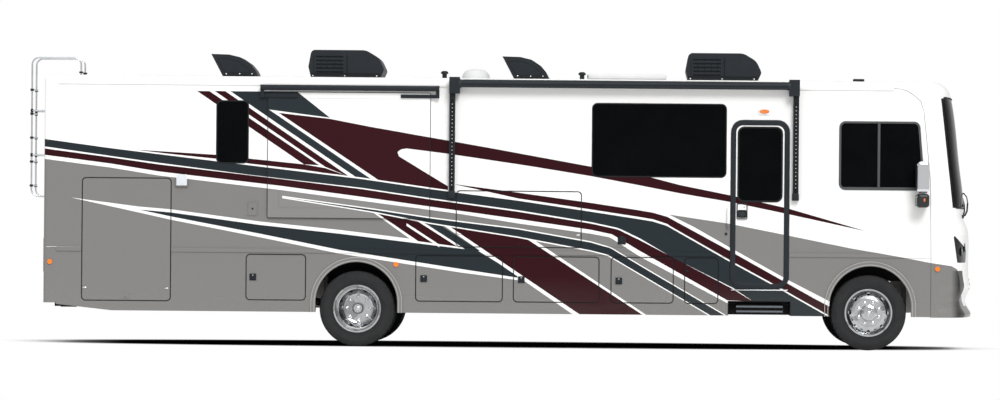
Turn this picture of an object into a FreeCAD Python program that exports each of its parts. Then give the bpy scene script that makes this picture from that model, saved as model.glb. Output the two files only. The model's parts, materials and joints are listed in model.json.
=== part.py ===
import FreeCAD, Part
import math
import os
import re
import Sketcher

# Motorhome with slide-out rooms: sizes in millimetres, station x from the rear wall forward,
# right side at -y, each sub-part set about the vehicle's centre once it is made

# Sizes of the body shell
SHELL = {
    "body_half": 1270, "wall_thick": 35, "skirt_bottom": 427, "panel_joint": 1166,
    "roof_edge": 3269, "roof_top": 3400, "roof_shoulder": 3368, "roof_edge_round": 110,
    "roof_thick": 50, "rear_seam": 163, "seam_bend": 2080, "nose_reach": 11698, "cap_bottom": 421,
    "cap_thick": 40,
    "panel_round": 50, "rear_round": 100, "nose_crown": 205, "tail_bottom": 519,
    "tail_slope_start": 860, "overrun": 60,
}
# Sizes of the running gear
GEAR = {
    "rear_axle_at": 3925, "axle_height": 473, "tyre_radius": 473,
    "tyre_width": 235, "rim_width": 210, "rim_radius": 299,
    "front_track_half": 1085, "rear_outer_half": 1102, "dual_spacing": 292,
    "kingpin_half": 880, "kingpin_radius": 20, "pin_clearance": 0.06, "boss_radius": 42,
    "boss_height": 120, "ear_thick": 30, "ear_gap": 2, "spindle_radius": 34, "spindle_end": 1165,
    "hub_radius": 72, "plate_radius": 185, "plate_thick": 14, "beam_width": 96, "beam_height": 84,
    "beam_web": 14, "axle_tube": 68, "differential": 205, "hand_hole": 22,
    "hand_hole_ring": 236, "lug_radius": 15, "front_lug_ring": 135, "rear_lug_ring": 146,
    "lug_height": 24, "disc_thick": 14, "spring_radius": 112, "spring_half": 430,
    "spring_spread": 330, "rear_spindle_end": 1055, "running_gap": 0.08, "seat_plate": 18,
    "rear_plate_at": 655, "hub_reach": 112, "hub_cap": 18,
}
# Sizes of the chassis
CHASSIS = {
    "rail_half": 430, "rail_flange": 75, "rail_depth": 240, "rail_wall": 8, "rail_start": 180,
    "member_width": 90, "member_low": 70, "member_depth": 120,
    "receiver_tube": 63.5, "receiver_socket": 50.8, "receiver_height": 480, "receiver_mouth": -45,
    "receiver_depth": 260, "receiver_pin_back": 64, "receiver_pin_radius": 8.1,
    "hanger_thick": 10, "hanger_width": 120,
    "engine_start": 320, "engine_length": 1150, "engine_half": 330, "engine_low": 470,
    "engine_high": 1330, "gearbox_length": 680, "gearbox_half": 215, "gearbox_low": 520,
    "gearbox_high": 900, "mount_width": 120, "mount_height": 60, "shaft_radius": 48,
    "shaft_drop": 130, "muffler_radius": 125, "muffler_length": 780, "muffler_start": 1720,
    "muffler_side": 800, "muffler_height": 640, "pipe_radius": 48, "pipe_start": 230,
    "pipe_drop": 190, "pipe_back": 330, "pipe_bend": 80,
    "strap_width": 40, "strap_thick": 6, "tank_start": 8600, "tank_length": 900,
    "tank_low": 470, "tank_left": 1060, "tank_right": 480, "tank_round": 70,
}
# Sizes of the floor, bays and wells
FLOORS = {
    "floor_bottom": 1105, "floor_thick": 50,
    "cover_wall": 20, "cover_room": 40, "bay_floor": 545, "bay_skin": 12, "bay_1_back": 2470,
    "bay_1_front": 3350, "bay_2_back": 4600, "bay_3_back": 5806, "bay_4_back": 7019,
    "bay_5_back": 7943, "bay_5_front": 8500, "notch_gap": 1, "well_room": 585,
    "rear_well_room": 560, "well_side": 650, "rear_well_side": 640, "well_round": 160,
    "well_skin": 6, "closet_back": 425, "closet_front": 1655, "closet_depth": 640,
    "closet_low": 530, "closet_high": 2110, "stair_back": 8640, "stair_front": 9265,
    "stair_sill": 745, "stair_middle": 950, "stair_tread": 300, "stair_skin": 20,
    "media_depth": 380, "media_margin": 25, "media_skin": 15,
}
# Sizes of the doors, hatches and windows
DOORS = {
    "door_thick": 30, "door_gap": 6.5, "seal_gap": 0.3, "seal_lip": 16, "door_round": 50,
    "cargo_low": 573, "cargo_high": 1143,
    "cargo_1_back": 2538, "cargo_1_front": 3283, "cargo_2_back": 4658, "cargo_2_front": 5744,
    "cargo_3_back": 5880, "cargo_3_front": 6950, "cargo_4_back": 7100, "cargo_4_front": 7879,
    "cargo_5_back": 8019, "cargo_5_front": 8438,
    "lift_back": 483, "lift_front": 1595, "lift_low": 551, "lift_high": 2085,
    "media_back": 5158, "media_front": 6724, "media_low": 1256, "media_high": 1959,
    "entry_back": 8586, "entry_front": 9319, "entry_low": 762, "entry_high": 2870,
    "entry_round": 150, "pane_back": 8680, "pane_front": 9224, "pane_low": 1857,
    "pane_high": 2779, "pane_round": 75, "pane_thick": 8, "pane_ledge": 6,
    "bedroom_back": 2150, "bedroom_front": 2559, "bedroom_low": 2274, "bedroom_high": 3065,
    "window_round": 70, "galley_back": 6845, "galley_front": 8533, "galley_low": 2145,
    "galley_high": 3071, "cab_low": 2020, "cab_high": 2857, "mullion_width": 36,
    "engine_door_half": 640, "engine_door_low": 760, "engine_door_high": 1620,
    "louvre_pitch": 74, "louvre_slot": 26, "louvre_margin": 110,
    "latch_size": 84, "latch_inset": 50, "latch_proud": 6, "handle_back": 8666,
    "handle_front": 8795, "handle_low": 1634, "handle_high": 1827, "handle_round": 14,
    "handle_proud": 16,
}
# Sizes of the two slide-out rooms
SLIDES = {
    "slide_wall": 40, "slide_gap": 7, "flange_thick": 22, "slide_round": 24, "slide_recess": 7,
    "right_slide_back": 2934, "right_slide_front": 4692, "right_slide_low": 1722,
    "right_slide_high": 3098, "right_flange_back": 2794, "right_flange_front": 4832,
    "right_flange_low": 1597, "right_flange_high": 3178, "right_slide_depth": 640,
    "left_slide_back": 5000, "left_slide_front": 8800, "left_slide_low": 1290,
    "left_slide_high": 3090, "left_flange": 55, "left_slide_depth": 900,
    "left_window_low": 2060, "left_window_high": 2860, "left_window_1_back": 5400,
    "left_window_1_front": 6500, "left_window_2_back": 7300, "left_window_2_front": 8400,
    "topper_back": 2706, "topper_front": 4939, "topper_radius": 35, "topper_height": 3228,
    "topper_out": 62, "topper_bracket": 44, "topper_bracket_low": 3108, "topper_arm": 376,
    "topper_arm_thick": 18,
}
# Sizes of the fittings outside
FITTINGS = {
    "moulding_height": 50, "moulding_thick": 12, "moulding_low": 1166,
    "gutter_height": 26, "gutter_thick": 14, "arch_inner": 512, "arch_trim": 60,
    "arch_trim_thick": 16, "arch_centre": 545, "rear_arch_at": 3920,
    "awning_back": 5195, "awning_front": 9306, "awning_radius": 48, "awning_height": 3295,
    "awning_out": 92, "arm_width": 72, "arm_depth": 58, "arm_low": 1885, "arm_cap": 3375,
    "arm_back": 5066, "arm_front": 9359, "arm_channel": 34,
    "bracket_width": 130, "bracket_low": 3170, "ladder_out": 200,
    "ladder_rail": 11, "ladder_half": 168, "ladder_side": 820, "ladder_low": 1845,
    "ladder_top": 3590, "ladder_reach": 415, "ladder_bend": 90, "rung_pitch": 301,
    "rung_low": 1990, "rung_count": 5, "tread_depth": 46, "tread_height": 14,
    "foot_radius": 24, "foot_thick": 8, "foot_lift": 0.6,
    "mirror_low": 1980, "mirror_high": 2370, "mirror_out": 32, "mirror_width": 230,
    "mirror_round": 42, "convex_low": 1794,
    "convex_gap": 12, "mirror_arm": 16, "mirror_arm_inset": 62,
    "lamp_low": 1109, "lamp_high": 1459, "lamp_near": 800, "lamp_far": 1195,
    "lens_thick": 36, "screen_low": 1797, "screen_high": 3182, "screen_half": 1125,
    "screen_round": 110, "screen_thick": 12, "screen_post": 13, "grille_half": 520,
    "grille_low": 740, "grille_high": 960, "slat_pitch": 60, "slat_thick": 22,
    "slat_depth": 40, "rib_half": 9, "wiper_thick": 16, "wiper_width": 26,
    "wiper_length": 900, "wiper_low": 1815, "wiper_spread": 560,
    "tail_lamp_side": 1085, "tail_lamp_low": 900, "tail_lamp_high": 1330, "tail_lamp_half": 62,
    "tail_lamp_thick": 14, "marker_radius": 31, "marker_thick": 16, "marker_height": 1030,
    "marker_rear_at": 85, "marker_middle_at": 4412,
    "porch_back": 8925, "porch_front": 9072, "porch_low": 2944, "porch_high": 3014,
    "porch_thick": 22, "grab_back": 8547, "grab_front": 8575, "grab_low": 1538,
    "grab_high": 1777, "grab_out": 58, "grab_foot": 34, "panel_thick": 8, "panel_back": 6822,
    "panel_front": 7290, "panel_low": 1272, "panel_high": 1472, "small_hatch_back": 2550,
    "small_hatch_front": 2676, "small_hatch_low": 1627, "small_hatch_high": 1796,
    "box_cover_back": 1650, "box_cover_front": 1805, "box_cover_low": 1984,
    "box_cover_high": 2145, "box_cover_thick": 30, "sill_low": 740, "sill_thick": 10,
    "sill_height": 16, "wiper_lean": 8,
}
# Sizes of what stands on the roof
ROOFTOP = {
    "cooler_rear_at": 3211, "cooler_front_at": 8024, "cooler_length": 970, "cooler_half": 330,
    "cooler_height": 350, "cooler_round": 60, "cooler_slot": 22, "cooler_slot_deep": 18,
    "fan_rear_at": 1959, "fan_front_at": 5681,
    "fan_length": 620, "fan_half": 215, "fan_opening": 178, "fan_curb": 30, "fan_curb_height": 30, "fan_shift": 55,
    "lid_rise": 287, "lid_gap": 5, "lid_skin": 6, "lid_round": 120, "hinge_radius": 7,
    "hinge_half": 110, "hinge_lug": 14,
    "dome_at": 5336, "dome_radius": 180, "dome_height": 135, "vent_1_at": 4955,
    "vent_2_at": 6705, "vent_radius": 48, "vent_height": 95, "vent_side": 420,
    "tray_start": 6770, "tray_length": 1010, "tray_half": 380, "tray_height": 75,
    "beacon_length": 150, "beacon_half": 60, "beacon_height": 48,
    "roof_seat": 30,
}
# Sizes of the entry step and the cab
INSIDE = {
    "step_back": 8561, "step_front": 9347, "step_low": 430, "step_high": 610,
    "step_depth": 470, "step_skin": 8, "tread_back": 8664, "tread_front": 9252,
    "tread_top": 558, "tread_thick": 36, "tread_drop": 60, "tread_deep": 250,
    "arm_pivot_in": 165, "arm_pivot_height": 575, "arm_length": 200, "arm_thick": 8,
    "arm_half": 20, "pivot_radius": 9, "arm_side_gap": 10, "step_face_in": 8,
    "step_arm_rest": 12, "frame_thick": 8,
    "dash_top": 1745, "dash_half": 1190, "dash_round": 60,
    "dash_shelf": 1480, "dash_clear": 12,
    "seat_side": 610, "seat_length": 520, "seat_half": 265,
    "seat_pedestal": 230, "pedestal_half": 170, "cushion_thick": 130, "back_rise": 720,
    "back_thick": 130, "column_radius": 34, "column_tilt": 32,
    "column_length": 330, "wheel_height": 1905, "wheel_ring": 215,
    "wheel_grip": 15, "wheel_spoke": 14, "wheel_hub": 50, "wheel_hub_thick": 40,
    "headrest_half": 140, "headrest_rise": 170,
}
# How far the front's stations lie behind the nose or behind one another
SETBACKS = {
    "nose_depth": 607, "roof_setback": 1078, "floor_setback": 448, "rail_setback": 618,
    "front_overhang": 1372, "arch_shift": 15, "cab_setback": 121, "cab_length": 1021,
    "mullion_setback": 535, "mirror_setback": 37, "mirror_depth": 157, "mount_inset": 24,
    "marker_ahead": 89, "beacon_setback": 440, "dash_reach": 688, "knee_reach": 200,
    "seat_setback": 1518, "wheel_reach": 175,
}
# Stations of the front, worked out from the nose
STATIONS = {
    "front_seam": "nose_reach - nose_depth", "roof_front": "nose_reach - roof_setback",
    "floor_front": "nose_reach - floor_setback", "rail_end": "nose_reach - rail_setback",
    "front_axle_at": "nose_reach - front_overhang", "front_arch_at": "front_axle_at + arch_shift",
    "cab_front": "front_seam - cab_setback", "cab_back": "cab_front - cab_length",
    "mullion": "cab_front - mullion_setback", "mirror_front": "front_seam - mirror_setback",
    "mirror_back": "mirror_front - mirror_depth", "mirror_mount_at": "mirror_front - mount_inset",
    "mirror_near": "body_half + mirror_out", "mirror_far": "mirror_near + mirror_width",
    "marker_front_at": "front_seam + marker_ahead", "beacon_start": "roof_front - beacon_setback",
    "dash_back": "nose_reach - dash_reach", "dash_knee": "dash_back + knee_reach",
    "seat_at": "nose_reach - seat_setback", "wheel_at": "dash_back - wheel_reach",
}
SIZES = {**SHELL, **GEAR, **CHASSIS, **FLOORS, **DOORS, **SLIDES, **FITTINGS, **ROOFTOP, **INSIDE,
         **SETBACKS, **STATIONS}

# The origin stands midway between the ladder and the nose
CENTRE = "(nose_reach - ladder_out - ladder_rail) / 2"

document = FreeCAD.newDocument("Motorhome")
sheet = document.addObject("Spreadsheet::Sheet", "Sizes")
for row, (alias, amount) in enumerate(SIZES.items(), start=1):
    sheet.set(f"A{row}", alias)
    sheet.set(f"B{row}", f"={amount}")
    sheet.setAlias(f"B{row}", alias)
document.recompute()

WORD = re.compile(r"[A-Za-z_]\w*")
AXES = {"X": FreeCAD.Vector(1, 0, 0), "Y": FreeCAD.Vector(0, 1, 0), "Z": FreeCAD.Vector(0, 0, 1)}
parts = {}


def bound(text):
    """Return the sum with every named size read from the sheet."""
    return WORD.sub(lambda word: "Sizes." + word.group() if word.group() in SIZES else word.group(),
                    str(text))


def number(text):
    """Return what a sum of named sizes comes to."""
    return float(sheet.evalExpression(bound(text)))


def point(x, y, z):
    """Return a point from three sums."""
    return FreeCAD.Vector(number(x), number(y), number(z))


def bind(thing, **sums):
    """Tie an object's properties to sums of named sizes."""
    for name, text in sums.items():
        thing.setExpression(name, bound(text))
    return thing


def place(thing, x, y, z):
    """Tie an object's position to three sums."""
    for axis, text in zip("xyz", (x, y, z)):
        thing.setExpression(f"Placement.Base.{axis}", bound(text))
    return thing


def block(name, x, y, z):
    """Make a box between pairs of sums along the three axes."""
    made = document.addObject("Part::Box", name)
    bind(made, Length=f"({x[1]}) - ({x[0]})", Width=f"({y[1]}) - ({y[0]})",
         Height=f"({z[1]}) - ({z[0]})")
    return place(made, x[0], y[0], z[0])


def rod(name, start, axis, length, radius):
    """Make a cylinder from a start point along one axis."""
    made = document.addObject("Part::Cylinder", name)
    made.Placement = FreeCAD.Placement(FreeCAD.Vector(), FreeCAD.Rotation(AXES["Z"], AXES[axis]))
    bind(made, Radius=radius, Height=length)
    return place(made, *start)


def joined(name, pieces):
    """Fuse pieces into one."""
    made = document.addObject("Part::MultiFuse", name)
    made.Shapes = pieces
    made.Refine = True
    return made


def grouped(name, pieces):
    """Keep pieces that stand apart together."""
    made = document.addObject("Part::Compound", name)
    made.Links = pieces
    return made


def cut(name, base, tools):
    """Take tools away from a base."""
    made = document.addObject("Part::Cut", name)
    made.Base = base
    made.Tool = tools[0] if len(tools) == 1 else joined(name + "Tools", tools)
    made.Refine = True
    return made


def mirrored(name, source):
    """Repeat a piece on the other side of the vehicle."""
    made = document.addObject("Part::Mirroring", name)
    made.Source = source
    made.Normal = AXES["Y"]
    return made


def shaped(name, shape):
    """Hold a shape that no ready feature gives."""
    made = document.addObject("Part::Feature", name)
    made.Shape = Part.Compound(shape.Solids)
    return made


def part(label, thing):
    """Register a finished sub-part and set it about the vehicle's centre."""
    thing.Label = label
    thing.setExpression("Placement.Base.x", bound(f"-{CENTRE}"))
    parts[label] = thing
    return thing


def origin_plane(body, role):
    """Return one of a body's own origin planes."""
    return next(item for item in body.Origin.OriginFeatures if item.Role == role)


def dimension(sketch, kind, *where, text, name):
    """Add one dimension to a sketch and tie it to a sum of named sizes."""
    index = sketch.addConstraint(Sketcher.Constraint(kind, *where, number(text)))
    sketch.renameConstraint(index, name)
    sketch.setExpression(f"Constraints.{name}", bound(text))


def rounded_sketch(sketch, across, upward, radius):
    """Draw a rectangle with rounded corners, tied to its sides and radius."""
    left, right = (number(text) for text in across)
    low, high = (number(text) for text in upward)
    bend = number(radius)
    corners = [(right - bend, low + bend), (right - bend, high - bend),
               (left + bend, high - bend), (left + bend, low + bend)]
    ends = [((left + bend, low), (right - bend, low)), ((right, low + bend), (right, high - bend)),
            ((right - bend, high), (left + bend, high)), ((left, high - bend), (left, low + bend))]
    for side in range(4):
        sketch.addGeometry(Part.LineSegment(*[FreeCAD.Vector(*end, 0) for end in ends[side]]), False)
        circle = Part.Circle(FreeCAD.Vector(*corners[side], 0), AXES["Z"], bend)
        start = math.radians(90 * side - 90)
        sketch.addGeometry(Part.ArcOfCircle(circle, start, start + math.pi / 2), False)
    for side in range(4):
        line, arc, after = 2 * side, 2 * side + 1, (2 * side + 2) % 8
        sketch.addConstraint(Sketcher.Constraint("Tangent", line, 2, arc, 1))
        sketch.addConstraint(Sketcher.Constraint("Tangent", arc, 2, after, 1))
        sketch.addConstraint(Sketcher.Constraint("Vertical" if side % 2 else "Horizontal", line))
        if side:
            sketch.addConstraint(Sketcher.Constraint("Equal", 1, arc))
    dimension(sketch, "Radius", 1, text=radius, name="corner")
    dimension(sketch, "DistanceX", -1, 1, 6, 1, text=across[0], name="left")
    dimension(sketch, "DistanceX", -1, 1, 2, 1, text=across[1], name="right")
    dimension(sketch, "DistanceY", -1, 1, 0, 1, text=upward[0], name="low")
    dimension(sketch, "DistanceY", -1, 1, 4, 1, text=upward[1], name="high")


def outline_sketch(sketch, corners):
    """Draw a closed outline of straight sides, each corner tied to two sums."""
    spots = [FreeCAD.Vector(number(x), number(y), 0) for x, y in corners]
    count = len(spots)
    for index, spot in enumerate(spots):
        sketch.addGeometry(Part.LineSegment(spot, spots[(index + 1) % count]), False)
    for index in range(count):
        sketch.addConstraint(Sketcher.Constraint("Coincident", index, 2, (index + 1) % count, 1))
    for index, (x, y) in enumerate(corners):
        dimension(sketch, "DistanceX", -1, 1, index, 1, text=x, name=f"across{index}")
        dimension(sketch, "DistanceY", -1, 1, index, 1, text=y, name=f"upward{index}")


def plate(name, across, upward, radius, depth):
    """Make a rounded upright plate in the length and height, filling a span of y."""
    body = document.addObject("PartDesign::Body", name)
    sketch = body.newObject("Sketcher::SketchObject", name + "Outline")
    sketch.AttachmentSupport = [(origin_plane(body, "XZ_Plane"), "")]
    sketch.MapMode = "FlatFace"
    sketch.setExpression("AttachmentOffset.Base.z", bound(f"-({depth[1]})"))
    rounded_sketch(sketch, across, upward, radius)
    pad = body.newObject("PartDesign::Pad", name + "Pad")
    pad.Profile = sketch
    bind(pad, Length=f"({depth[1]}) - ({depth[0]})")
    sketch.Visibility = False
    return body


def outline_solid(corners, radius, plane, span):
    """Extrude a closed outline with rounded corners across the plane it is drawn in."""
    spots = [FreeCAD.Vector(*pair) for pair in
             [{"XZ": (a, 0, b), "YZ": (0, a, b), "XY": (a, b, 0)}[plane] for a, b in
              [(number(first), number(second)) for first, second in corners]]]
    bends = [number(text) for text in (radius if isinstance(radius, list) else [radius] * len(spots))]
    edges = []
    last = None
    first = None
    for index, spot in enumerate(spots):
        back = (spots[index - 1] - spot).normalize()
        ahead = (spots[(index + 1) % len(spots)] - spot).normalize()
        half = back.getAngle(ahead) / 2
        if bends[index] > 0:
            reach = bends[index] / math.tan(half)
            middle = (back + ahead).normalize() * (bends[index] / math.sin(half) - bends[index])
            start, end = spot + back * reach, spot + ahead * reach
            bend = [Part.Arc(start, spot + middle, end).toShape()]
        else:
            start, end, bend = spot, spot, []
        if last is None:
            first = start
        else:
            edges.append(Part.LineSegment(last, start).toShape())
        edges += bend
        last = end
    edges.append(Part.LineSegment(last, first).toShape())
    face = Part.Face(Part.Wire(edges))
    across = {"XZ": AXES["Y"], "YZ": AXES["X"], "XY": AXES["Z"]}[plane]
    low, high = number(span[0]), number(span[1])
    face.translate(across * low)
    return face.extrude(across * (high - low))


def body_section(inset, lining, low, span):
    """Extrude the cross-section of the body: upright sides, rounded edges and a crowned roof."""
    half, edge = number(f"body_half - {inset}"), number("roof_edge")
    bend = number("roof_edge_round")
    shoulder, crown = number(f"roof_shoulder - {lining}"), number(f"roof_top - {lining}")
    start, end = number(span[0]), number(span[1])
    ease = math.sqrt(0.5)

    def spot(y, z):
        return FreeCAD.Vector(start, y, z)

    knee = (half - bend * (1 - ease), edge + (shoulder - edge) * ease)
    base = number(low)
    edges = [Part.LineSegment(spot(-half, base), spot(half, base)),
             Part.Arc(spot(half, edge), spot(*knee), spot(half - bend, shoulder)),
             Part.Arc(spot(half - bend, shoulder), spot(0, crown), spot(bend - half, shoulder)),
             Part.Arc(spot(bend - half, shoulder), spot(-knee[0], knee[1]), spot(-half, edge))]
    if base < edge:
        edges.insert(1, Part.LineSegment(spot(half, base), spot(half, edge)))
        edges.append(Part.LineSegment(spot(-half, edge), spot(-half, base)))
    face = Part.Face(Part.Wire([edge.toShape() for edge in edges]))
    return face.extrude(FreeCAD.Vector(end - start, 0, 0))


def spline(points):
    """Return a curve through the points."""
    curve = Part.BSplineCurve()
    curve.interpolate(points)
    return curve


# The nose at the centreline: share of the way from seam to chin, share of the way up to the roof
NOSE_SHARES = [(0.985, 0.0), (1.0, 0.012), (0.939, 0.035), (0.892, 0.079), (0.939, 0.101),
               (0.984, 0.135), (0.969, 0.155), (0.94, 0.238), (0.947, 0.284), (0.939, 0.346),
               (0.901, 0.383), (0.845, 0.409), (0.827, 0.462), (0.75, 0.622), (0.66, 0.79),
               (0.558, 0.927), (0.49, 0.966), (0.35, 0.989), (0.1, 1.0), (-0.25, 1.006),
               (-0.8, 1.012)]
# Half of the front in plan: share of the half width, share of the crown it falls back by
CROWN_SHARES = [(0.0, 0.0), (0.3, 0.1), (0.58, 0.37), (0.8, 0.76), (0.9, 1.12), (0.96, 1.56),
                (0.992, 2.1), (1.012, 2.9)]


def nose_layer(front, back):
    """Make a layer of the nose, whose side profile is moved along its bowed plan line."""
    seam, reach = number("front_seam"), number("nose_reach - front_seam")
    low, rise = number("cap_bottom"), number("roof_top - cap_bottom")
    profile = spline([FreeCAD.Vector(seam + ahead * reach - front, 0, low + up * rise)
                      for ahead, up in NOSE_SHARES])
    half, crown = number("body_half"), number("nose_crown")
    side = [FreeCAD.Vector(-back * crown, out * half, 0) for out, back in CROWN_SHARES]
    plan = spline([FreeCAD.Vector(spot.x, -spot.y, 0) for spot in reversed(side[1:])] + side)
    poles = [[one + other for other in plan.getPoles()] for one in profile.getPoles()]
    surface = Part.BSplineSurface()
    surface.buildFromPolesMultsKnots(
        poles, profile.getMultiplicities(), plan.getMultiplicities(), profile.getKnots(),
        plan.getKnots(), False, False, profile.Degree, plan.Degree)
    return surface.toShape().extrude(FreeCAD.Vector(front - back, 0, 0))


def nose_solid(front):
    """Make all of the nose that lies behind a setback."""
    return nose_layer(front, number("nose_reach - roof_front") * 2)


def ahead_of_seam():
    """Make the space ahead of the line where walls and roof meet the front cap."""
    seam, bend = number("front_seam"), number("seam_bend")
    top, rear = number("roof_edge"), number("roof_front")
    fall, rise = rear - seam, top - bend
    shares = [(0.0, 0.0), (0.078, 0.336), (0.238, 0.817), (0.361, 0.922), (0.493, 0.969), (1.0, 1.0)]
    curve = Part.BSplineCurve()
    curve.interpolate([FreeCAD.Vector(seam + back * fall, 0, bend + up * rise) for back, up in shares],
                      InitialTangent=AXES["Z"], FinalTangent=-AXES["X"])
    far = number("nose_reach + overrun")
    low, high = number("cap_bottom - overrun"), number("roof_top + overrun")
    corners = [(rear, top), (rear, high), (far, high), (far, low), (seam, low), (seam, bend)]
    spots = [FreeCAD.Vector(x, 0, z) for x, z in corners]
    edges = [curve.toShape()] + [Part.makeLine(a, b) for a, b in zip(spots, spots[1:])]
    face = Part.Face(Part.Wire(edges))
    width = number("body_half + overrun")
    face.translate(FreeCAD.Vector(0, -width, 0))
    return face.extrude(FreeCAD.Vector(0, 2 * width, 0))


NOSE = nose_solid(0)
AHEAD = ahead_of_seam()
LONG = ("rear_seam", "nose_reach + overrun")
THROUGH = ("-body_half - overrun", "-body_half + wall_thick + overrun")
IN_WALL = ("-body_half", "-body_half + wall_thick")

# Each doorway: its length span, its height span and its corner radius
DOORWAYS = {f"cargo_door_{bay}": ((f"cargo_{bay}_back", f"cargo_{bay}_front"),
                                  ("cargo_low", "cargo_high"), "door_round") for bay in range(1, 6)}
DOORWAYS["rear_side_door"] = (("lift_back", "lift_front"), ("lift_low", "lift_high"), "door_round")
DOORWAYS["entertainment_hatch"] = (("media_back", "media_front"), ("media_low", "media_high"),
                                   "door_round")
DOORWAYS["entry_door"] = (("entry_back", "entry_front"), ("entry_low", "entry_high"), "entry_round")


def grown(span, by):
    """Widen a span by a sum at both ends."""
    return f"{span[0]} - ({by})", f"{span[1]} + ({by})"


def doorway(name):
    """Cut the recess that a door closes into and the opening inside its seal lip."""
    across, upward, radius = DOORWAYS[name]
    recess = plate(name + "_recess", grown(across, "door_gap"), grown(upward, "door_gap"),
                   f"{radius} + door_gap", (THROUGH[0], "-body_half + door_thick + seal_gap"))
    opening = plate(name + "_opening", grown(across, "-seal_lip"), grown(upward, "-seal_lip"),
                    f"{radius} - seal_lip", THROUGH)
    return [recess, opening]


def arch_cutter(name, at):
    """Cut a wheel opening: a round top over straight sides."""
    top = rod(name + "Top", (at, THROUGH[0], "arch_centre"), "Y",
              f"({THROUGH[1]}) - ({THROUGH[0]})", "arch_inner")
    legs = block(name + "Legs", (f"{at} - arch_inner", f"{at} + arch_inner"), THROUGH,
                 ("skirt_bottom - overrun", "arch_centre"))
    return joined(name, [top, legs])


CAB_WINDOW = [("cab_back", "cab_low"), ("cab_front + mullion_width", "cab_low"),
              ("cab_front - mullion_width", "cab_high"), ("cab_back", "cab_high")]
WINDOWS = {
    "bedroom": outline_solid([("bedroom_back", "bedroom_low"), ("bedroom_front", "bedroom_low"),
                              ("bedroom_front", "bedroom_high"), ("bedroom_back", "bedroom_high")],
                             "window_round", "XZ", THROUGH),
    "galley": outline_solid([("galley_back", "galley_low"), ("galley_front", "galley_low"),
                             ("galley_front", "galley_high"), ("galley_back", "galley_high")],
                            "window_round", "XZ", THROUGH),
    "cab": outline_solid(CAB_WINDOW, "window_round", "XZ", THROUGH),
}


def window_cutters(side, names):
    """Hold the openings of the named windows for one side."""
    return [shaped(f"{side}{name}Window", WINDOWS[name]) for name in names]


doorways = {name: doorway(name) for name in DOORWAYS}
seam_cutter = shaped("SeamCutter", AHEAD)
arches = [arch_cutter("FrontArch", "front_arch_at"), arch_cutter("RearArch", "rear_arch_at")]
tail_cutter = shaped("TailCutter", outline_solid(
    [("0", "tail_bottom"), ("0", "skirt_bottom - overrun"),
     ("tail_slope_start", "skirt_bottom - overrun"), ("tail_slope_start", "skirt_bottom")],
    "0", "XZ", THROUGH))

right_slide_hole = block("RightSlideHole", grown(("right_slide_back", "right_slide_front"), "slide_gap"),
                         THROUGH, grown(("right_slide_low", "right_slide_high"), "slide_gap"))
left_slide_hole = block("LeftSlideHole", grown(("left_slide_back", "left_slide_front"), "slide_gap"),
                        THROUGH, grown(("left_slide_low", "left_slide_high"), "slide_gap"))
step_hole = block("StepHole", ("step_back", "step_front"), THROUGH,
                  ("skirt_bottom - overrun", "step_high"))
UPPER = ("panel_joint", "roof_edge")
LOWER = ("skirt_bottom", "panel_joint")
part("right_wall", cut(
    "RightWall", block("RightWallSheet", LONG, IN_WALL, UPPER),
    doorways["rear_side_door"] + doorways["entertainment_hatch"] + doorways["entry_door"]
    + window_cutters("Right", WINDOWS) + [right_slide_hole, seam_cutter]))
part("right_skirt", cut(
    "RightSkirt", block("RightSkirtSheet", ("rear_seam", "front_seam"), IN_WALL, LOWER),
    [tool for name, tools in doorways.items() if name != "entertainment_hatch" for tool in tools]
    + arches + [tail_cutter, step_hole]))
part("left_wall", mirrored("LeftWall", cut(
    "LeftWallFlat", block("LeftWallSheet", LONG, IN_WALL, UPPER),
    window_cutters("Left", ["bedroom", "cab"]) + [left_slide_hole, seam_cutter])))
part("left_skirt", mirrored("LeftSkirt", cut(
    "LeftSkirtFlat", block("LeftSkirtSheet", ("rear_seam", "front_seam"), IN_WALL, LOWER),
    doorways["cargo_door_2"] + doorways["cargo_door_3"] + arches + [tail_cutter])))

# Roof with an opening under each fan
fan_holes = [block(f"{name}FanHole", (f"{at} + fan_length / 2 + fan_shift - fan_opening",
                                     f"{at} + fan_length / 2 + fan_shift + fan_opening"),
                   ("-fan_opening", "fan_opening"), ("roof_edge - overrun", "roof_top + overrun"))
             for name, at in (("Rear", "fan_rear_at"), ("Front", "fan_front_at"))]
roof_shell = body_section("0", "0", "roof_edge", ("rear_seam", "roof_front")).cut(
    body_section("roof_thick", "roof_thick", "roof_edge - overrun", ("0", "nose_reach")))
part("roof", cut("Roof", shaped("RoofShell", roof_shell), fan_holes))


# Front cap
FRONT_SPAN = ("roof_front - overrun", "nose_reach + overrun")
nose_body = NOSE.common(body_section("0", "0", "cap_bottom", FRONT_SPAN)).common(AHEAD)
nose_room = nose_solid(number("cap_thick")).common(
    body_section("wall_thick", "roof_thick", "cap_bottom - overrun", ("roof_front - overrun * 2",
                                                                     "nose_reach + overrun")))
screen_solid = outline_solid([("screen_post", "screen_low"), ("screen_half", "screen_low"),
                              ("screen_half", "screen_high"), ("screen_post", "screen_high")],
                             ["pane_ledge", "screen_round", "screen_round", "pane_ledge"], "YZ",
                             ("front_seam", "nose_reach + overrun"))
lamp_solid = outline_solid([("lamp_near", "lamp_low"), ("lamp_far", "lamp_low"),
                            ("lamp_far", "lamp_high"), ("lamp_near", "lamp_high")], "door_round",
                           "YZ", ("front_seam", "nose_reach + overrun"))
grille_solid = outline_solid([("-grille_half", "grille_low"), ("grille_half", "grille_low"),
                              ("grille_half", "grille_high"), ("-grille_half", "grille_high")],
                             "door_round", "YZ", ("front_seam", "nose_reach + overrun"))


def both_sides(shape):
    """Return a shape and its copy across the centreline."""
    return [shape, shape.mirror(FreeCAD.Vector(), AXES["Y"])]


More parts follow.
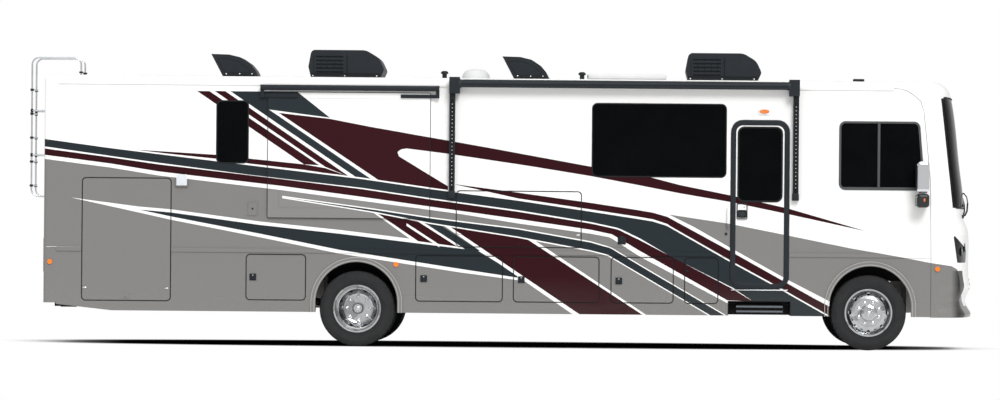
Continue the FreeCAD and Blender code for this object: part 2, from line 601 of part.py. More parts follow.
front_openings = both_sides(screen_solid) + both_sides(lamp_solid) + [grille_solid]
part("front_cap", shaped("FrontCap", nose_body.cut([nose_room] + front_openings)))
screen_layer = nose_layer(0, number("screen_thick"))
part("windshield", shaped("Windshield", Part.Compound(
    [screen_layer.common(pane).Solids[0] for pane in both_sides(screen_solid)])))
lens_layer = nose_layer(0, number("lens_thick"))
headlamps = [shaped("Headlamps", Part.Compound(
    [lens_layer.common(lens).Solids[0] for lens in both_sides(lamp_solid)]))]

# Grille of bowed slats that follow the nose, on upright ribs
slat_layer = nose_layer(0, number("slat_depth"))
rib_layer = nose_layer(number("slat_depth / 2"), number("slat_depth"))
slat_count = int(number("(grille_high - grille_low) / slat_pitch"))
bars = []
for index in range(slat_count):
    level = f"grille_low + slat_pitch * ({index} + 0.5)"
    bars.append(slat_layer.common(Part.makeBox(
        number("nose_reach - front_seam + overrun"), number("grille_half * 2 + overrun"),
        number("slat_thick"), point("front_seam", "-grille_half - overrun / 2",
                                    f"{level} - slat_thick / 2"))).common(grille_solid))
for share in (-0.5, 0, 0.5):
    bars.append(rib_layer.common(Part.makeBox(
        number("nose_reach - front_seam + overrun"), number("rib_half * 2"),
        number("grille_high - grille_low"), point("front_seam", f"grille_half * {share} - rib_half",
                                                  "grille_low"))))
part("front_grille", shaped("FrontGrille", bars[0].multiFuse(bars[1:])))


# Rear cap: flat back with rounded corners and a rounded roof edge
def rear_block(inset, side_inset, span):
    """Return the closed form of the rear cap, drawn in by an inset at the back and at the sides."""
    plan = outline_solid([(inset, f"{side_inset} - body_half"), (inset, f"body_half - {side_inset}"),
                          ("rear_seam + overrun", f"body_half - {side_inset}"),
                          ("rear_seam + overrun", f"{side_inset} - body_half")],
                         ["panel_round", "panel_round", "0", "0"], "XY", span)
    side = outline_solid([(inset, span[0]), (inset, f"roof_top - {inset}"),
                          ("rear_seam + overrun", f"roof_top - {inset}"),
                          ("rear_seam + overrun", span[0])], ["0", "rear_round", "0", "0"], "XZ",
                         ("-body_half - overrun", "body_half + overrun"))
    return plan.common(side)


rear_solid = rear_block("0", "0", ("tail_bottom", "roof_top + overrun")).common(
    body_section("0", "0", "tail_bottom", ("-overrun", "rear_seam")))
rear_room = rear_block("cap_thick", "wall_thick", ("tail_bottom - overrun", "roof_top + overrun")).common(
    body_section("wall_thick", "roof_thick", "tail_bottom - overrun", ("-overrun", "rear_seam + overrun")))
REAR_DOOR = [("-engine_door_half", "engine_door_low"), ("engine_door_half", "engine_door_low"),
             ("engine_door_half", "engine_door_high"), ("-engine_door_half", "engine_door_high")]


def rear_door_outline(by, radius, span):
    """Return the engine door's outline grown by a sum, as a solid along x."""
    return outline_solid([(f"-engine_door_half - ({by})", f"engine_door_low - ({by})"),
                          (f"engine_door_half + ({by})", f"engine_door_low - ({by})"),
                          (f"engine_door_half + ({by})", f"engine_door_high + ({by})"),
                          (f"-engine_door_half - ({by})", f"engine_door_high + ({by})")],
                         radius, "YZ", span)


rear_recess = rear_door_outline("door_gap", "door_round + door_gap",
                                ("-overrun", "door_thick + seal_gap"))
rear_opening = rear_door_outline("-seal_lip", "door_round - seal_lip", ("-overrun", "cap_thick + overrun"))
part("rear_cap", shaped("RearCap", rear_solid.cut([rear_room, rear_recess, rear_opening])))
louvre_count = int(number("(engine_door_high - engine_door_low - louvre_margin * 2) / louvre_pitch")) + 1
slots = [Part.makeBox(number("door_thick + overrun * 2"),
                      number("(engine_door_half - louvre_margin) * 2"), number("louvre_slot"),
                      point("-overrun", "louvre_margin - engine_door_half",
                            f"engine_door_low + louvre_margin + louvre_pitch * {index}"))
         for index in range(louvre_count)]
part("engine_door", shaped("EngineDoor", rear_door_outline(
    "0", "door_round", ("0", "door_thick")).cut(slots)))


def bent_tube(corners, radius, bend, y):
    """Sweep a round tube along straight runs joined by arcs, at one y."""
    spots = [point(x, y, z) for x, z in corners]
    edges, last = [], spots[0]
    for before, corner, after in zip(spots, spots[1:], spots[2:]):
        back, ahead = (before - corner).normalize(), (after - corner).normalize()
        half = back.getAngle(ahead) / 2
        reach = number(bend) / math.tan(half)
        middle = (back + ahead).normalize() * (number(bend) / math.sin(half) - number(bend))
        edges.append(Part.makeLine(last, corner + back * reach))
        edges.append(Part.Arc(corner + back * reach, corner + middle, corner + ahead * reach).toShape())
        last = corner + ahead * reach
    edges.append(Part.makeLine(last, spots[-1]))
    ring = Part.Wire(Part.makeCircle(number(radius), spots[0], spots[1] - spots[0]))
    return Part.Wire(edges).makePipeShell([ring], True, True)


# Wheels and tyres, drawn from the inboard rim edge outward and set on their axles afterwards
BARREL_SHARES = [(0.0, 0.93), (0.0, 1.0), (0.055, 1.0), (0.055, 0.955), (0.27, 0.948),
                 (0.35, 0.885), (0.65, 0.885), (0.73, 0.948), (0.945, 0.955), (0.945, 1.0),
                 (1.0, 1.0), (1.0, 0.93), (0.76, 0.918), (0.7, 0.86)]
DISC_FACE_SHARES = [(0.86, 0.845), (1.0, 0.8), (1.1, 0.72), (1.165, 0.64), (1.19, 0.6)]
DISC_BACK_SHARES = [(1.12, 0.56), (1.09, 0.62), (1.03, 0.68), (0.93, 0.76), (0.8, 0.8),
                    (0.66, 0.815), (0.62, 0.855), (0.38, 0.855), (0.3, 0.918)]
DOME_SHARES = [(1.19, 0.35), (1.24, 0.345), (1.36, 0.31), (1.4, 0.24), (1.41, 0.0)]
TYRE_SHARES = [(0.79, -0.075), (0.79, 0.01), (0.93, 0.2), (1.0, 0.42), (0.98, 0.62),
               (0.9, 0.83), (0.8, 0.95), (0.66, 0.99), (0.3, 1.0)]


def wheel_points(shares):
    """Turn shares of the rim's width and radius into sums of named sizes."""
    return [(f"rim_width * {across}", f"rim_radius * {up}") for across, up in shares]


def spun_body(name, corners):
    """Spin a closed half outline about the wheel's own axis."""
    body = document.addObject("PartDesign::Body", name)
    sketch = body.newObject("Sketcher::SketchObject", name + "Half")
    sketch.AttachmentSupport = [(origin_plane(body, "YZ_Plane"), "")]
    sketch.MapMode = "FlatFace"
    outline_sketch(sketch, corners)
    spun = body.newObject("PartDesign::Revolution", name + "Spun")
    spun.Profile = sketch
    spun.ReferenceAxis = (sketch, ["H_Axis"])
    spun.Angle = 360
    sketch.Visibility = False
    return body


def ring_of(body, name, kind, level, ring, turn, radius, depth, reverse):
    """Repeat a round hole or nut about the wheel's axis."""
    sketch = body.newObject("Sketcher::SketchObject", name + "Circle")
    sketch.AttachmentSupport = [(origin_plane(body, "XZ_Plane"), "")]
    sketch.MapMode = "FlatFace"
    sketch.setExpression("AttachmentOffset.Base.z", bound(f"-({level})"))
    x, z = f"{ring} * {math.sin(turn)}", f"{ring} * {math.cos(turn)}"
    sketch.addGeometry(Part.Circle(FreeCAD.Vector(number(x), number(z), 0), AXES["Z"],
                                   number(radius)), False)
    dimension(sketch, "Radius", 0, text=radius, name="size")
    dimension(sketch, "DistanceX", -1, 1, 0, 3, text=x, name="across")
    dimension(sketch, "DistanceY", -1, 1, 0, 3, text=z, name="upward")
    feature = body.newObject(f"PartDesign::{kind}", name)
    feature.Profile = sketch
    feature.Reversed = reverse
    bind(feature, Length=depth)
    pattern = body.newObject("PartDesign::PolarPattern", name + "Ring")
    pattern.Originals = [feature]
    pattern.Axis = (origin_plane(body, "Y_Axis"), [""])
    pattern.Angle = 360
    pattern.Occurrences = WHEEL_STUDS
    body.Tip = pattern
    sketch.Visibility = False
    return pattern


WHEEL_STUDS = 8
HALF_STEP = math.pi / WHEEL_STUDS


def front_wheel(name):
    """Make a steered wheel: bowed disc outboard, hand holes, nuts and a hub dome."""
    bore = "spindle_radius + running_gap"
    body = spun_body(name, wheel_points(BARREL_SHARES + DISC_FACE_SHARES + DOME_SHARES) + [
        ("rim_width", "0"), ("rim_width", bore), ("0", bore), ("0", "hub_radius"),
        ("rim_width * 1.12", "hub_radius")] + wheel_points(DISC_BACK_SHARES))
    ring_of(body, name + "HandHole", "Pocket", "rim_width * 0.8", "hand_hole_ring", 0, "hand_hole",
            "rim_width", False)
    ring_of(body, name + "Nut", "Pad", "rim_width * 1.19", "front_lug_ring", HALF_STEP, "lug_radius",
            "lug_height", True)
    return body


def dual_rim(name):
    """Make one rim of a pair, open at the middle for the hub."""
    body = spun_body(name, wheel_points(BARREL_SHARES + DISC_FACE_SHARES) + [
        ("rim_width * 1.19", "hub_radius"), ("rim_width * 1.12", "hub_radius")]
        + wheel_points(DISC_BACK_SHARES))
    ring_of(body, name + "HandHole", "Pocket", "rim_width * 0.8", "hand_hole_ring", HALF_STEP,
            "hand_hole", "rim_width", False)
    return body


def dual_wheels(name):
    """Make a pair of rims face to face on one hub, with nuts on the outer one."""
    inner = dual_rim(name + "Inner")
    outer = document.addObject("Part::Mirroring", name + "Outer")
    outer.Source = dual_rim(name + "OuterPlain")
    outer.Normal = AXES["Y"]
    place(outer, "0", "rim_width + dual_spacing", "0")
    bore = "spindle_radius + running_gap"
    seat = "(rim_width + dual_spacing) / 2"
    hub = spun_body(name + "Hub", [
        ("0", bore), ("0", "hub_radius"), (f"{seat} + hub_reach", "hub_radius"),
        (f"{seat} + hub_reach + hub_cap", "hub_radius - hub_cap"),
        (f"{seat} + hub_reach + hub_cap", "0"), (f"{seat} + hub_reach", "0"),
        (f"{seat} + hub_reach", bore)])
    nuts = [place(rod(f"{name}Nut{index}", ("0", "0", "0"), "Y", "lug_height", "lug_radius"),
                  f"rear_lug_ring * {math.sin(2 * HALF_STEP * index)}",
                  f"{seat} + disc_thick", f"rear_lug_ring * {math.cos(2 * HALF_STEP * index)}")
            for index in range(WHEEL_STUDS)]
    return joined(name, [inner, outer, hub] + nuts)


def tyre_shape(shift):
    """Spin a tyre's outline about its wheel's axis, shifted along the axle."""
    middle, half = number("rim_width / 2") + number(shift), number("tyre_width / 2")
    rim, rise = number("rim_radius"), number("tyre_radius - rim_radius")
    side = [(out * half, rim + up * rise) for out, up in TYRE_SHARES]
    spots = [FreeCAD.Vector(0, middle - out, up) for out, up in side]
    spots += [FreeCAD.Vector(0, middle + out, up) for out, up in reversed(side)]
    face = Part.Face(Part.makePolygon(spots + spots[:1]))
    return face.revolve(FreeCAD.Vector(), AXES["Y"], 360)


def set_on_axle(label, thing, side, at, inboard):
    """Register a wheel or tyre on the left or right end of an axle."""
    turn = FreeCAD.Rotation(AXES["Z"], 180 if side == "right" else 0)
    thing.Placement = FreeCAD.Placement(FreeCAD.Vector(), turn)
    sign = "-" if side == "right" else ""
    part(label, thing)
    place(thing, f"{at} - {CENTRE}", f"{sign}({inboard})", "axle_height")


FRONT_INBOARD = "front_track_half - rim_width / 2"
REAR_INBOARD = "rear_outer_half - dual_spacing - rim_width / 2"
for side in ("right", "left"):
    set_on_axle(f"front_tyre_{side}", shaped(f"FrontTyre{side}", tyre_shape("0")), side,
                "front_axle_at", FRONT_INBOARD)
    set_on_axle(f"front_wheel_{side}", front_wheel(f"FrontWheel{side}"), side, "front_axle_at",
                FRONT_INBOARD)
    set_on_axle(f"rear_tyres_{side}", shaped(f"RearTyres{side}", Part.Compound(
        [tyre_shape("0"), tyre_shape("dual_spacing")])), side, "rear_axle_at", REAR_INBOARD)
    set_on_axle(f"rear_wheels_{side}", dual_wheels(f"RearWheels{side}"), side, "rear_axle_at",
                REAR_INBOARD)


# Steering knuckles about their kingpins
def around(at, half):
    """Return a span to both sides of a place."""
    return f"{at} - ({half})", f"{at} + ({half})"


EAR_BASE = "boss_height / 2 + ear_gap"
UPRIGHT = "kingpin_half + boss_radius + ear_gap"


def knuckle(name):
    """Make the right knuckle: two ears on a kingpin, brake plate, steering arm and spindle."""
    ears = [block(f"{name}Ear{word}", around("front_axle_at", "boss_radius"),
                  (f"-({UPRIGHT} + ear_thick)", "-(kingpin_half - ear_thick)"), span)
            for word, span in (("Top", (f"axle_height + {EAR_BASE}",
                                        f"axle_height + {EAR_BASE} + ear_thick")),
                               ("Low", (f"axle_height - ({EAR_BASE} + ear_thick)",
                                        f"axle_height - ({EAR_BASE})")))]
    pin = rod(name + "Kingpin", ("front_axle_at", "-kingpin_half",
                                 f"axle_height - ({EAR_BASE} + ear_thick)"), "Z",
              f"({EAR_BASE} + ear_thick) * 2", "kingpin_radius")
    upright = block(name + "Upright", around("front_axle_at", "boss_radius"),
                    (f"-({UPRIGHT} + ear_thick)", f"-({UPRIGHT})"),
                    around("axle_height", f"{EAR_BASE} + ear_thick"))
    arm = block(name + "Arm", ("front_axle_at - plate_radius", "front_axle_at - boss_radius"),
                (f"-({UPRIGHT} + ear_thick)", f"-({UPRIGHT})"),
                ("axle_height - ear_thick", "axle_height"))
    disc = rod(name + "BrakePlate", ("front_axle_at", f"-({UPRIGHT} + ear_thick + plate_thick)",
                                     "axle_height"), "Y", "plate_thick", "plate_radius")
    spindle = rod(name + "Spindle", ("front_axle_at", "-spindle_end", "axle_height"), "Y",
                  f"spindle_end - ({UPRIGHT})", "spindle_radius")
    return joined(name, ears + [pin, upright, arm, disc, spindle])


part("knuckle_right", knuckle("KnuckleRight"))
part("knuckle_left", mirrored("KnuckleLeft", knuckle("KnuckleLeftPlain")))

# Front axle: an I-beam between two bored bosses, with spring seats
beam_end = "kingpin_half - boss_radius / 2"
beam = block("Beam", around("front_axle_at", "beam_width / 2"), (f"-({beam_end})", beam_end),
             around("axle_height", "beam_height / 2"))
beam_pockets = [block(f"BeamPocket{word}", span, (f"-({beam_end} - beam_width)", f"{beam_end} - beam_width"),
                      around("axle_height", "beam_height / 2 - beam_web"))
                for word, span in (("Back", ("front_axle_at - beam_width", "front_axle_at - beam_web / 2")),
                                   ("Front", ("front_axle_at + beam_web / 2", "front_axle_at + beam_width")))]
bosses = [rod(f"Boss{word}", ("front_axle_at", f"{sign}kingpin_half", "axle_height - boss_height / 2"),
              "Z", "boss_height", "boss_radius") for word, sign in (("Right", "-"), ("Left", ""))]
bores = [rod(f"Bore{word}", ("front_axle_at", f"{sign}kingpin_half", "axle_height - boss_height"),
             "Z", "boss_height * 2", "kingpin_radius + pin_clearance")
         for word, sign in (("Right", "-"), ("Left", ""))]
seat_top = "axle_height + beam_height / 2 + seat_plate"
seats = [block(f"SpringSeat{word}", around("front_axle_at", "spring_radius"),
               around(f"{sign}spring_half", "spring_radius"),
               ("axle_height + beam_height / 2", seat_top)) for word, sign in (("Right", "-"), ("Left", ""))]
front_axle = cut("FrontAxle", joined("FrontAxleSolid", [cut("BeamCut", beam, beam_pockets)] + bosses
                                     + seats), bores)

# Rear axle: housing, tubes, brake plates and the beams that carry its springs
housing = document.addObject("Part::Sphere", "Differential")
bind(housing, Radius="differential")
place(housing, "rear_axle_at", "0", "axle_height")
tube = rod("AxleTube", ("rear_axle_at", "-rear_plate_at", "axle_height"), "Y", "rear_plate_at * 2",
           "axle_tube")
spindles = rod("RearSpindles", ("rear_axle_at", "-rear_spindle_end", "axle_height"), "Y",
               "rear_spindle_end * 2", "spindle_radius")
rear_plates = [rod(f"RearPlate{word}", ("rear_axle_at", start, "axle_height"), "Y", "plate_thick",
                   "plate_radius") for word, start in (("Right", "-rear_plate_at"),
                                                       ("Left", "rear_plate_at - plate_thick"))]
carriers = [block(f"Carrier{word}", around("rear_axle_at", "spring_spread + spring_radius"),
                  around(f"{sign}spring_half", "beam_width / 2"), ("axle_height", seat_top))
            for word, sign in (("Right", "-"), ("Left", ""))]
rear_axle = joined("RearAxle", [housing, tube, spindles] + rear_plates + carriers)
part("axles", grouped("Axles", [front_axle, rear_axle]))

# Air springs: rolled bellows between the axles and the rails
BELLOWS_SHARES = [(0.62, 0.0), (0.86, 0.06), (1.0, 0.22), (0.88, 0.42), (0.78, 0.5), (0.88, 0.58),
                  (1.0, 0.78), (0.86, 0.94), (0.62, 1.0)]


def bellows(at, side):
    """Make one air spring with its two rolls."""
    low, high = number(seat_top), number("floor_bottom - rail_depth")
    radius = number("spring_radius")
    spots = [FreeCAD.Vector(out * radius, 0, low + up * (high - low)) for out, up in BELLOWS_SHARES]
    foot, top = FreeCAD.Vector(0, 0, low), FreeCAD.Vector(0, 0, high)
    solid = Part.Face(Part.makePolygon([foot] + spots + [top, foot])).revolve(FreeCAD.Vector(), AXES["Z"],
                                                                              360)
    solid.translate(point(at, side, "0"))
    return solid


part("air_springs", shaped("AirSprings", Part.Compound(
    [bellows(at, f"{sign}spring_half") for sign in ("-", "")
     for at in ("front_axle_at", "rear_axle_at - spring_spread", "rear_axle_at + spring_spread")])))

# Chassis frame: two channel rails, box members and the hitch receiver
RAIL_LOW = "floor_bottom - rail_depth"
MEMBER_SHARES = [0.0, 0.19, 0.27, 0.41, 0.55, 0.69, 0.83, 1.0]
rail_span = ("rail_start", "rail_end")
rail = block("Rail", rail_span, around("-rail_half", "rail_flange / 2"), (RAIL_LOW, "floor_bottom"))
rail_room = block("RailRoom", ("rail_start - overrun", "rail_end + overrun"),
                  ("-rail_half - rail_flange / 2 + rail_wall", "-rail_half + rail_flange"),
                  (f"{RAIL_LOW} + rail_wall", "floor_bottom - rail_wall"))
right_rail = cut("RightRail", rail, [rail_room])
left_rail = mirrored("LeftRail", right_rail)
member_y = "rail_half + rail_flange / 2 - rail_wall"
members = [block(f"Member{index}", (
    f"rail_start + (rail_end - rail_start - member_width) * {share}",
    f"rail_start + (rail_end - rail_start - member_width) * {share} + member_width"),
    (f"-({member_y})", member_y), (f"{RAIL_LOW} + member_low", f"{RAIL_LOW} + member_low + member_depth"))
    for index, share in enumerate(MEMBER_SHARES)]
receiver = block("Receiver", ("receiver_mouth", "receiver_mouth + receiver_depth"),
                 around("0", "receiver_tube / 2"), around("receiver_height", "receiver_tube / 2"))
socket = block("Socket", ("receiver_mouth - overrun", "receiver_mouth + receiver_depth + overrun"),
               around("0", "receiver_socket / 2"), around("receiver_height", "receiver_socket / 2"))
pin_hole = rod("ReceiverPin", ("receiver_mouth + receiver_pin_back", "-receiver_tube", "receiver_height"),
               "Y", "receiver_tube * 2", "receiver_pin_radius")
hitch_bar = block("HitchBar", ("receiver_mouth + receiver_depth - hanger_width",
                               "receiver_mouth + receiver_depth"),
                  ("-rail_half - hanger_thick / 2", "rail_half + hanger_thick / 2"),
                  around("receiver_height", "receiver_tube / 2"))
hangers = [block(f"Hanger{word}", ("rail_start", "rail_start + hanger_width"),
                 around(f"{sign}rail_half", "hanger_thick / 2"),
                 ("receiver_height - receiver_tube / 2", RAIL_LOW))
           for word, sign in (("Right", "-"), ("Left", ""))]
hitch = cut("Hitch", joined("HitchSolid", [receiver, hitch_bar] + hangers), [socket, pin_hole])
part("chassis_rails", grouped("ChassisRails", [right_rail, left_rail]))

# Engine with its gearbox and mounts, propeller shaft and exhaust
engine = block("Engine", ("engine_start", "engine_start + engine_length"), around("0", "engine_half"),
               ("engine_low", "engine_high"))
gearbox = block("Gearbox", ("engine_start + engine_length", "engine_start + engine_length + gearbox_length"),
                around("0", "gearbox_half"), ("gearbox_low", "gearbox_high"))
rail_inside = "rail_half - rail_flange / 2"
mounts = [block(f"Mount{word}{index}", (f"engine_start + (engine_length - mount_width) * {share}",
                                        f"engine_start + (engine_length - mount_width) * {share} + mount_width"),
                span, (f"{RAIL_LOW} + rail_wall", f"{RAIL_LOW} + rail_wall + mount_height"))
          for index, share in enumerate((0.2, 0.8))
          for word, span in (("Right", (f"-({rail_inside})", "-engine_half")),
                             ("Left", ("engine_half", rail_inside)))]
part("engine_block", joined("EngineBlock", [engine, gearbox] + mounts))

shaft_start = point("engine_start + engine_length + gearbox_length", "0", "gearbox_low + shaft_drop")
shaft_end = point("rear_axle_at", "0", "axle_height")
shaft = Part.makeCylinder(number("shaft_radius"), shaft_start.distanceToPoint(shaft_end), shaft_start,
                          shaft_end - shaft_start)
gearbox_end = Part.makeBox(number("gearbox_length"), number("gearbox_half * 2"),
                           number("gearbox_high - gearbox_low"),
                           point("engine_start + engine_length", "-gearbox_half", "gearbox_low"))
shaft = shaft.cut([gearbox_end, Part.makeSphere(number("differential"), shaft_end)])
muffler = rod("Muffler", ("muffler_start", "muffler_side", "muffler_height"), "X", "muffler_length",
              "muffler_radius")
tail_pipe = shaped("TailPipe", bent_tube(
    [("pipe_start", "muffler_height - pipe_drop"), ("pipe_start", "muffler_height"),
     ("muffler_start + pipe_radius", "muffler_height")], "pipe_radius", "pipe_bend", "muffler_side"))
cross_pipe = rod("CrossPipe", ("muffler_start - pipe_back", "engine_half", "muffler_height"), "Y",
                 "muffler_side - engine_half", "pipe_radius * 0.9")
straps = [block(f"Strap{index}", (f"muffler_start + (muffler_length - strap_width) * {share}",
                                  f"muffler_start + (muffler_length - strap_width) * {share} + strap_width"),
                around("muffler_side", "strap_thick / 2"),
                ("muffler_height + muffler_radius - strap_thick", "floor_bottom"))
          for index, share in enumerate((0.1, 0.9))]
part("driveline", grouped("Driveline", [shaped("PropellerShaft", shaft), joined(
    "Exhaust", [muffler, tail_pipe, cross_pipe] + straps)]))

# Fuel tank with rounded long edges, hung against the rails
fuel_tank = shaped("FuelTank", outline_solid(
    [("tank_start", "tank_low"), ("tank_start + tank_length", "tank_low"),
     ("tank_start + tank_length", RAIL_LOW), ("tank_start", RAIL_LOW)],
    ["tank_round", "tank_round", "tank_round", "tank_round"], "XZ", ("-tank_right", "tank_left")))
part("chassis_members", grouped("ChassisMembers", members + [hitch, fuel_tank]))

# Main floor with the stair well and the raised engine cover
FLOOR = ("floor_bottom", "floor_bottom + floor_thick")
INNER = "body_half - wall_thick"
floor_slab = block("FloorSlab", ("cap_thick + panel_round", "floor_front"), (f"-({INNER})", INNER), FLOOR)
cover_out = block("CoverOut", ("cap_thick", "engine_start + engine_length + cover_room + cover_wall"),
                  around("0", "engine_half + cover_room + cover_wall"),
                  ("floor_bottom", "engine_high + cover_room + cover_wall"))
cover_in = block("CoverIn", ("engine_start - cover_room", "engine_start + engine_length + cover_room"),
                 around("0", "engine_half + cover_room"),
                 ("floor_bottom - overrun", "engine_high + cover_room"))
cover_back = block("CoverBack", ("cap_thick - overrun", "engine_start + engine_length + cover_room"),
                   around("0", "engine_half + cover_room"),
                   ("floor_bottom - overrun", "engine_high + cover_room"))
stair_cut = block("StairCut", ("stair_back", "stair_front"),
                  (f"-({INNER}) - overrun", f"-({INNER}) + stair_tread * 2 + stair_skin"),
                  ("floor_bottom - overrun", "floor_bottom + floor_thick + overrun"))
closet_cut = block("ClosetCut", ("closet_back", "closet_front"),
                   (f"-({INNER}) - overrun", f"-({INNER}) + closet_depth"),
                   ("floor_bottom - overrun", "floor_bottom + floor_thick + overrun"))
stair_out = block("StairOut", ("stair_back", "stair_front"),
                  (f"-({INNER})", f"-({INNER}) + stair_tread * 2 + stair_skin"),
                  ("stair_sill - stair_skin", "floor_bottom + floor_thick"))
stair_low = block("StairLow", ("stair_back + stair_skin", "stair_front - stair_skin"),
                  (f"-({INNER}) - overrun", f"-({INNER}) + stair_tread"),
                  ("stair_sill", "floor_bottom + floor_thick + overrun"))
stair_up = block("StairUp", ("stair_back + stair_skin", "stair_front - stair_skin"),
                 (f"-({INNER}) + stair_tread - stair_skin", f"-({INNER}) + stair_tread * 2"),
                 ("stair_middle", "floor_bottom + floor_thick + overrun"))
stair_under = block("StairUnder", ("stair_back + stair_skin", "stair_front - stair_skin"),
                    (f"-({INNER}) + stair_tread + stair_skin", f"-({INNER}) + stair_tread * 2"),
                    ("stair_sill - stair_skin - overrun", "stair_middle - stair_skin"))
part("main_floor", cut("MainFloor", joined("FloorSolid", [floor_slab, cover_out]),
                       [cover_in, cover_back, stair_cut, closet_cut]))
part("entry_stairs", cut("StairWell", stair_out, [stair_low, stair_up, stair_under]))

# Compartments: bays with trays and partitions, wheel wells, the rear closet and the media cabinet
WALL_IN = f"-({INNER})"


def shell(name, x, y, z, skin):
    """Make an open box whose mouth is at the right wall."""
    outside = block(name + "Out", x, y, z)
    inside = block(name + "In", (f"{x[0]} + {skin}", f"{x[1]} - {skin}"),
                   (f"{y[0]} - overrun", f"{y[1]} - {skin}"),
                   (f"{z[0]} + {skin}", f"{z[1]} - {skin}"))
    return cut(name, outside, [inside])


def wheel_well(name, at, room, depth):
    """Make the arched liner over a wheel, its front and back panels running down."""
    top = "floor_bottom"
    outside = outline_solid([(f"{at} - {room} - well_skin", "skirt_bottom"),
                             (f"{at} + {room} + well_skin", "skirt_bottom"),
                             (f"{at} + {room} + well_skin", top), (f"{at} - {room} - well_skin", top)],
                            ["0", "0", "well_round + well_skin", "well_round + well_skin"], "XZ",
                            (WALL_IN, f"-({depth})"))
    inside = outline_solid([(f"{at} - {room}", "skirt_bottom - overrun"),
                            (f"{at} + {room}", "skirt_bottom - overrun"),
                            (f"{at} + {room}", f"{top} - well_skin"),
                            (f"{at} - {room}", f"{top} - well_skin")],
                           ["0", "0", "well_round", "well_round"], "XZ",
                           (f"{WALL_IN} - overrun", f"-({depth}) + overrun"))
    return outside.cut(inside)


rail_notches = [block(f"RailNotch{word}", ("bay_2_back - overrun", "bay_5_front + overrun"),
                      around(f"{sign}rail_half", "rail_flange / 2 + notch_gap"),
                      (f"{RAIL_LOW} - notch_gap", "floor_bottom + overrun"))
                for word, sign in (("Right", "-"), ("Left", ""))]
partitions = [block(f"Partition{index}", (at, f"{at} + bay_skin"), (f"-({INNER})", INNER),
                    ("bay_floor", "floor_bottom"))
              for index, at in enumerate(("bay_2_back", "bay_3_back", "bay_4_back", "bay_5_back",
                                          "bay_5_front - bay_skin"))]
tray = block("Tray", ("bay_2_back", "bay_5_front"), (f"-({INNER})", INNER),
             ("bay_floor", "bay_floor + bay_skin"))
bays = cut("Bays", joined("BaySolid", [tray] + partitions), rail_notches)
side_bay = shell("SideBay", ("bay_1_back", "bay_1_front"), (WALL_IN, "-(rail_half + rail_flange)"),
                 ("bay_floor", "floor_bottom"), "bay_skin")
closet = shell("Closet", ("closet_back", "closet_front"), (WALL_IN, f"{WALL_IN} + closet_depth"),
               ("closet_low", "closet_high"), "bay_skin")
cabinet = shell("MediaCabinet", ("media_back - media_margin", "media_front + media_margin"),
                (WALL_IN, f"{WALL_IN} + media_depth"),
                ("media_low - media_margin", "media_high + media_margin"),
                "media_skin")
wells = [well for at, room, depth in (("front_arch_at", "well_room", "well_side"),
                                      ("rear_arch_at", "rear_well_room", "rear_well_side"))
         for well in both_sides(wheel_well("Well", at, room, depth))]
part("side_compartment", side_bay)
part("compartments", grouped("Compartments", [bays, closet, cabinet,
                                              shaped("WheelWells", Part.Compound(wells))]))


# Doors and hatches of the right side, each closing into its recess
FACE = "-body_half"
DOOR_DEPTH = (FACE, f"{FACE} + door_thick")


def door_leaf(name, doorway_name):
    """Make the plain leaf of a door."""
    across, upward, radius = DOORWAYS[doorway_name]
    return plate(name, across, upward, radius, DOOR_DEPTH)


def latched_leaf(name, doorway_name):
    """Make a cargo door with its square latch near the rear edge."""
    across, upward, _ = DOORWAYS[doorway_name]
    middle = f"({upward[0]} + {upward[1]}) / 2"
    latch = block(name + "Latch", (f"{across[0]} + latch_inset", f"{across[0]} + latch_inset + latch_size"),
                  (f"{FACE} - latch_proud", FACE), around(middle, "latch_size / 2"))
    return joined(name, [door_leaf(name + "Leaf", doorway_name), latch])


def low_latched_leaf(name, doorway_name):
    """Make a lift-up door with its latch at the middle of the bottom edge."""
    across, upward, _ = DOORWAYS[doorway_name]
    middle = f"({across[0]} + {across[1]}) / 2"
    latch = block(name + "Latch", around(middle, "latch_size / 2"), (f"{FACE} - latch_proud", FACE),
                  (f"{upward[0]} + latch_inset / 2", f"{upward[0]} + latch_inset / 2 + latch_size"))
    return joined(name, [door_leaf(name + "Leaf", doorway_name), latch])


for bay in range(1, 6):
    part(f"cargo_door_{bay}", latched_leaf(f"CargoDoor{bay}", f"cargo_door_{bay}"))
for bay in (2, 3):
    part(f"left_cargo_door_{bay}", mirrored(f"LeftCargoDoor{bay}", latched_leaf(
        f"LeftCargoDoor{bay}Flat", f"cargo_door_{bay}")))
part("rear_side_door", low_latched_leaf("RearSideDoor", "rear_side_door"))
part("entertainment_hatch", low_latched_leaf("EntertainmentHatch", "entertainment_hatch"))

pane_across, pane_upward = ("pane_back", "pane_front"), ("pane_low", "pane_high")
pane_hole = plate("PaneHole", pane_across, pane_upward, "pane_round", THROUGH)
handle = plate("EntryHandle", ("handle_back", "handle_front"), ("handle_low", "handle_high"),
               "handle_round", (f"{FACE} - handle_proud", FACE))
part("entry_door", joined("EntryDoor", [cut("EntryLeafCut", door_leaf("EntryLeaf", "entry_door"),
                                            [pane_hole]), handle]))
part("entry_door_glass", plate("EntryDoorGlass", pane_across, pane_upward, "pane_round",
                               (FACE, f"{FACE} + pane_thick")))

# Fixed side glass, set flush in the walls
GLASS = (FACE, f"{FACE} + pane_thick")


def pane_solid(corners):
    """Make a pane that fills a window opening."""
    return outline_solid(corners, "window_round", "XZ", GLASS)


def square(back, front, low, high):
    """Return the corners of an upright rectangle."""
    return [(back, low), (front, low), (front, high), (back, high)]


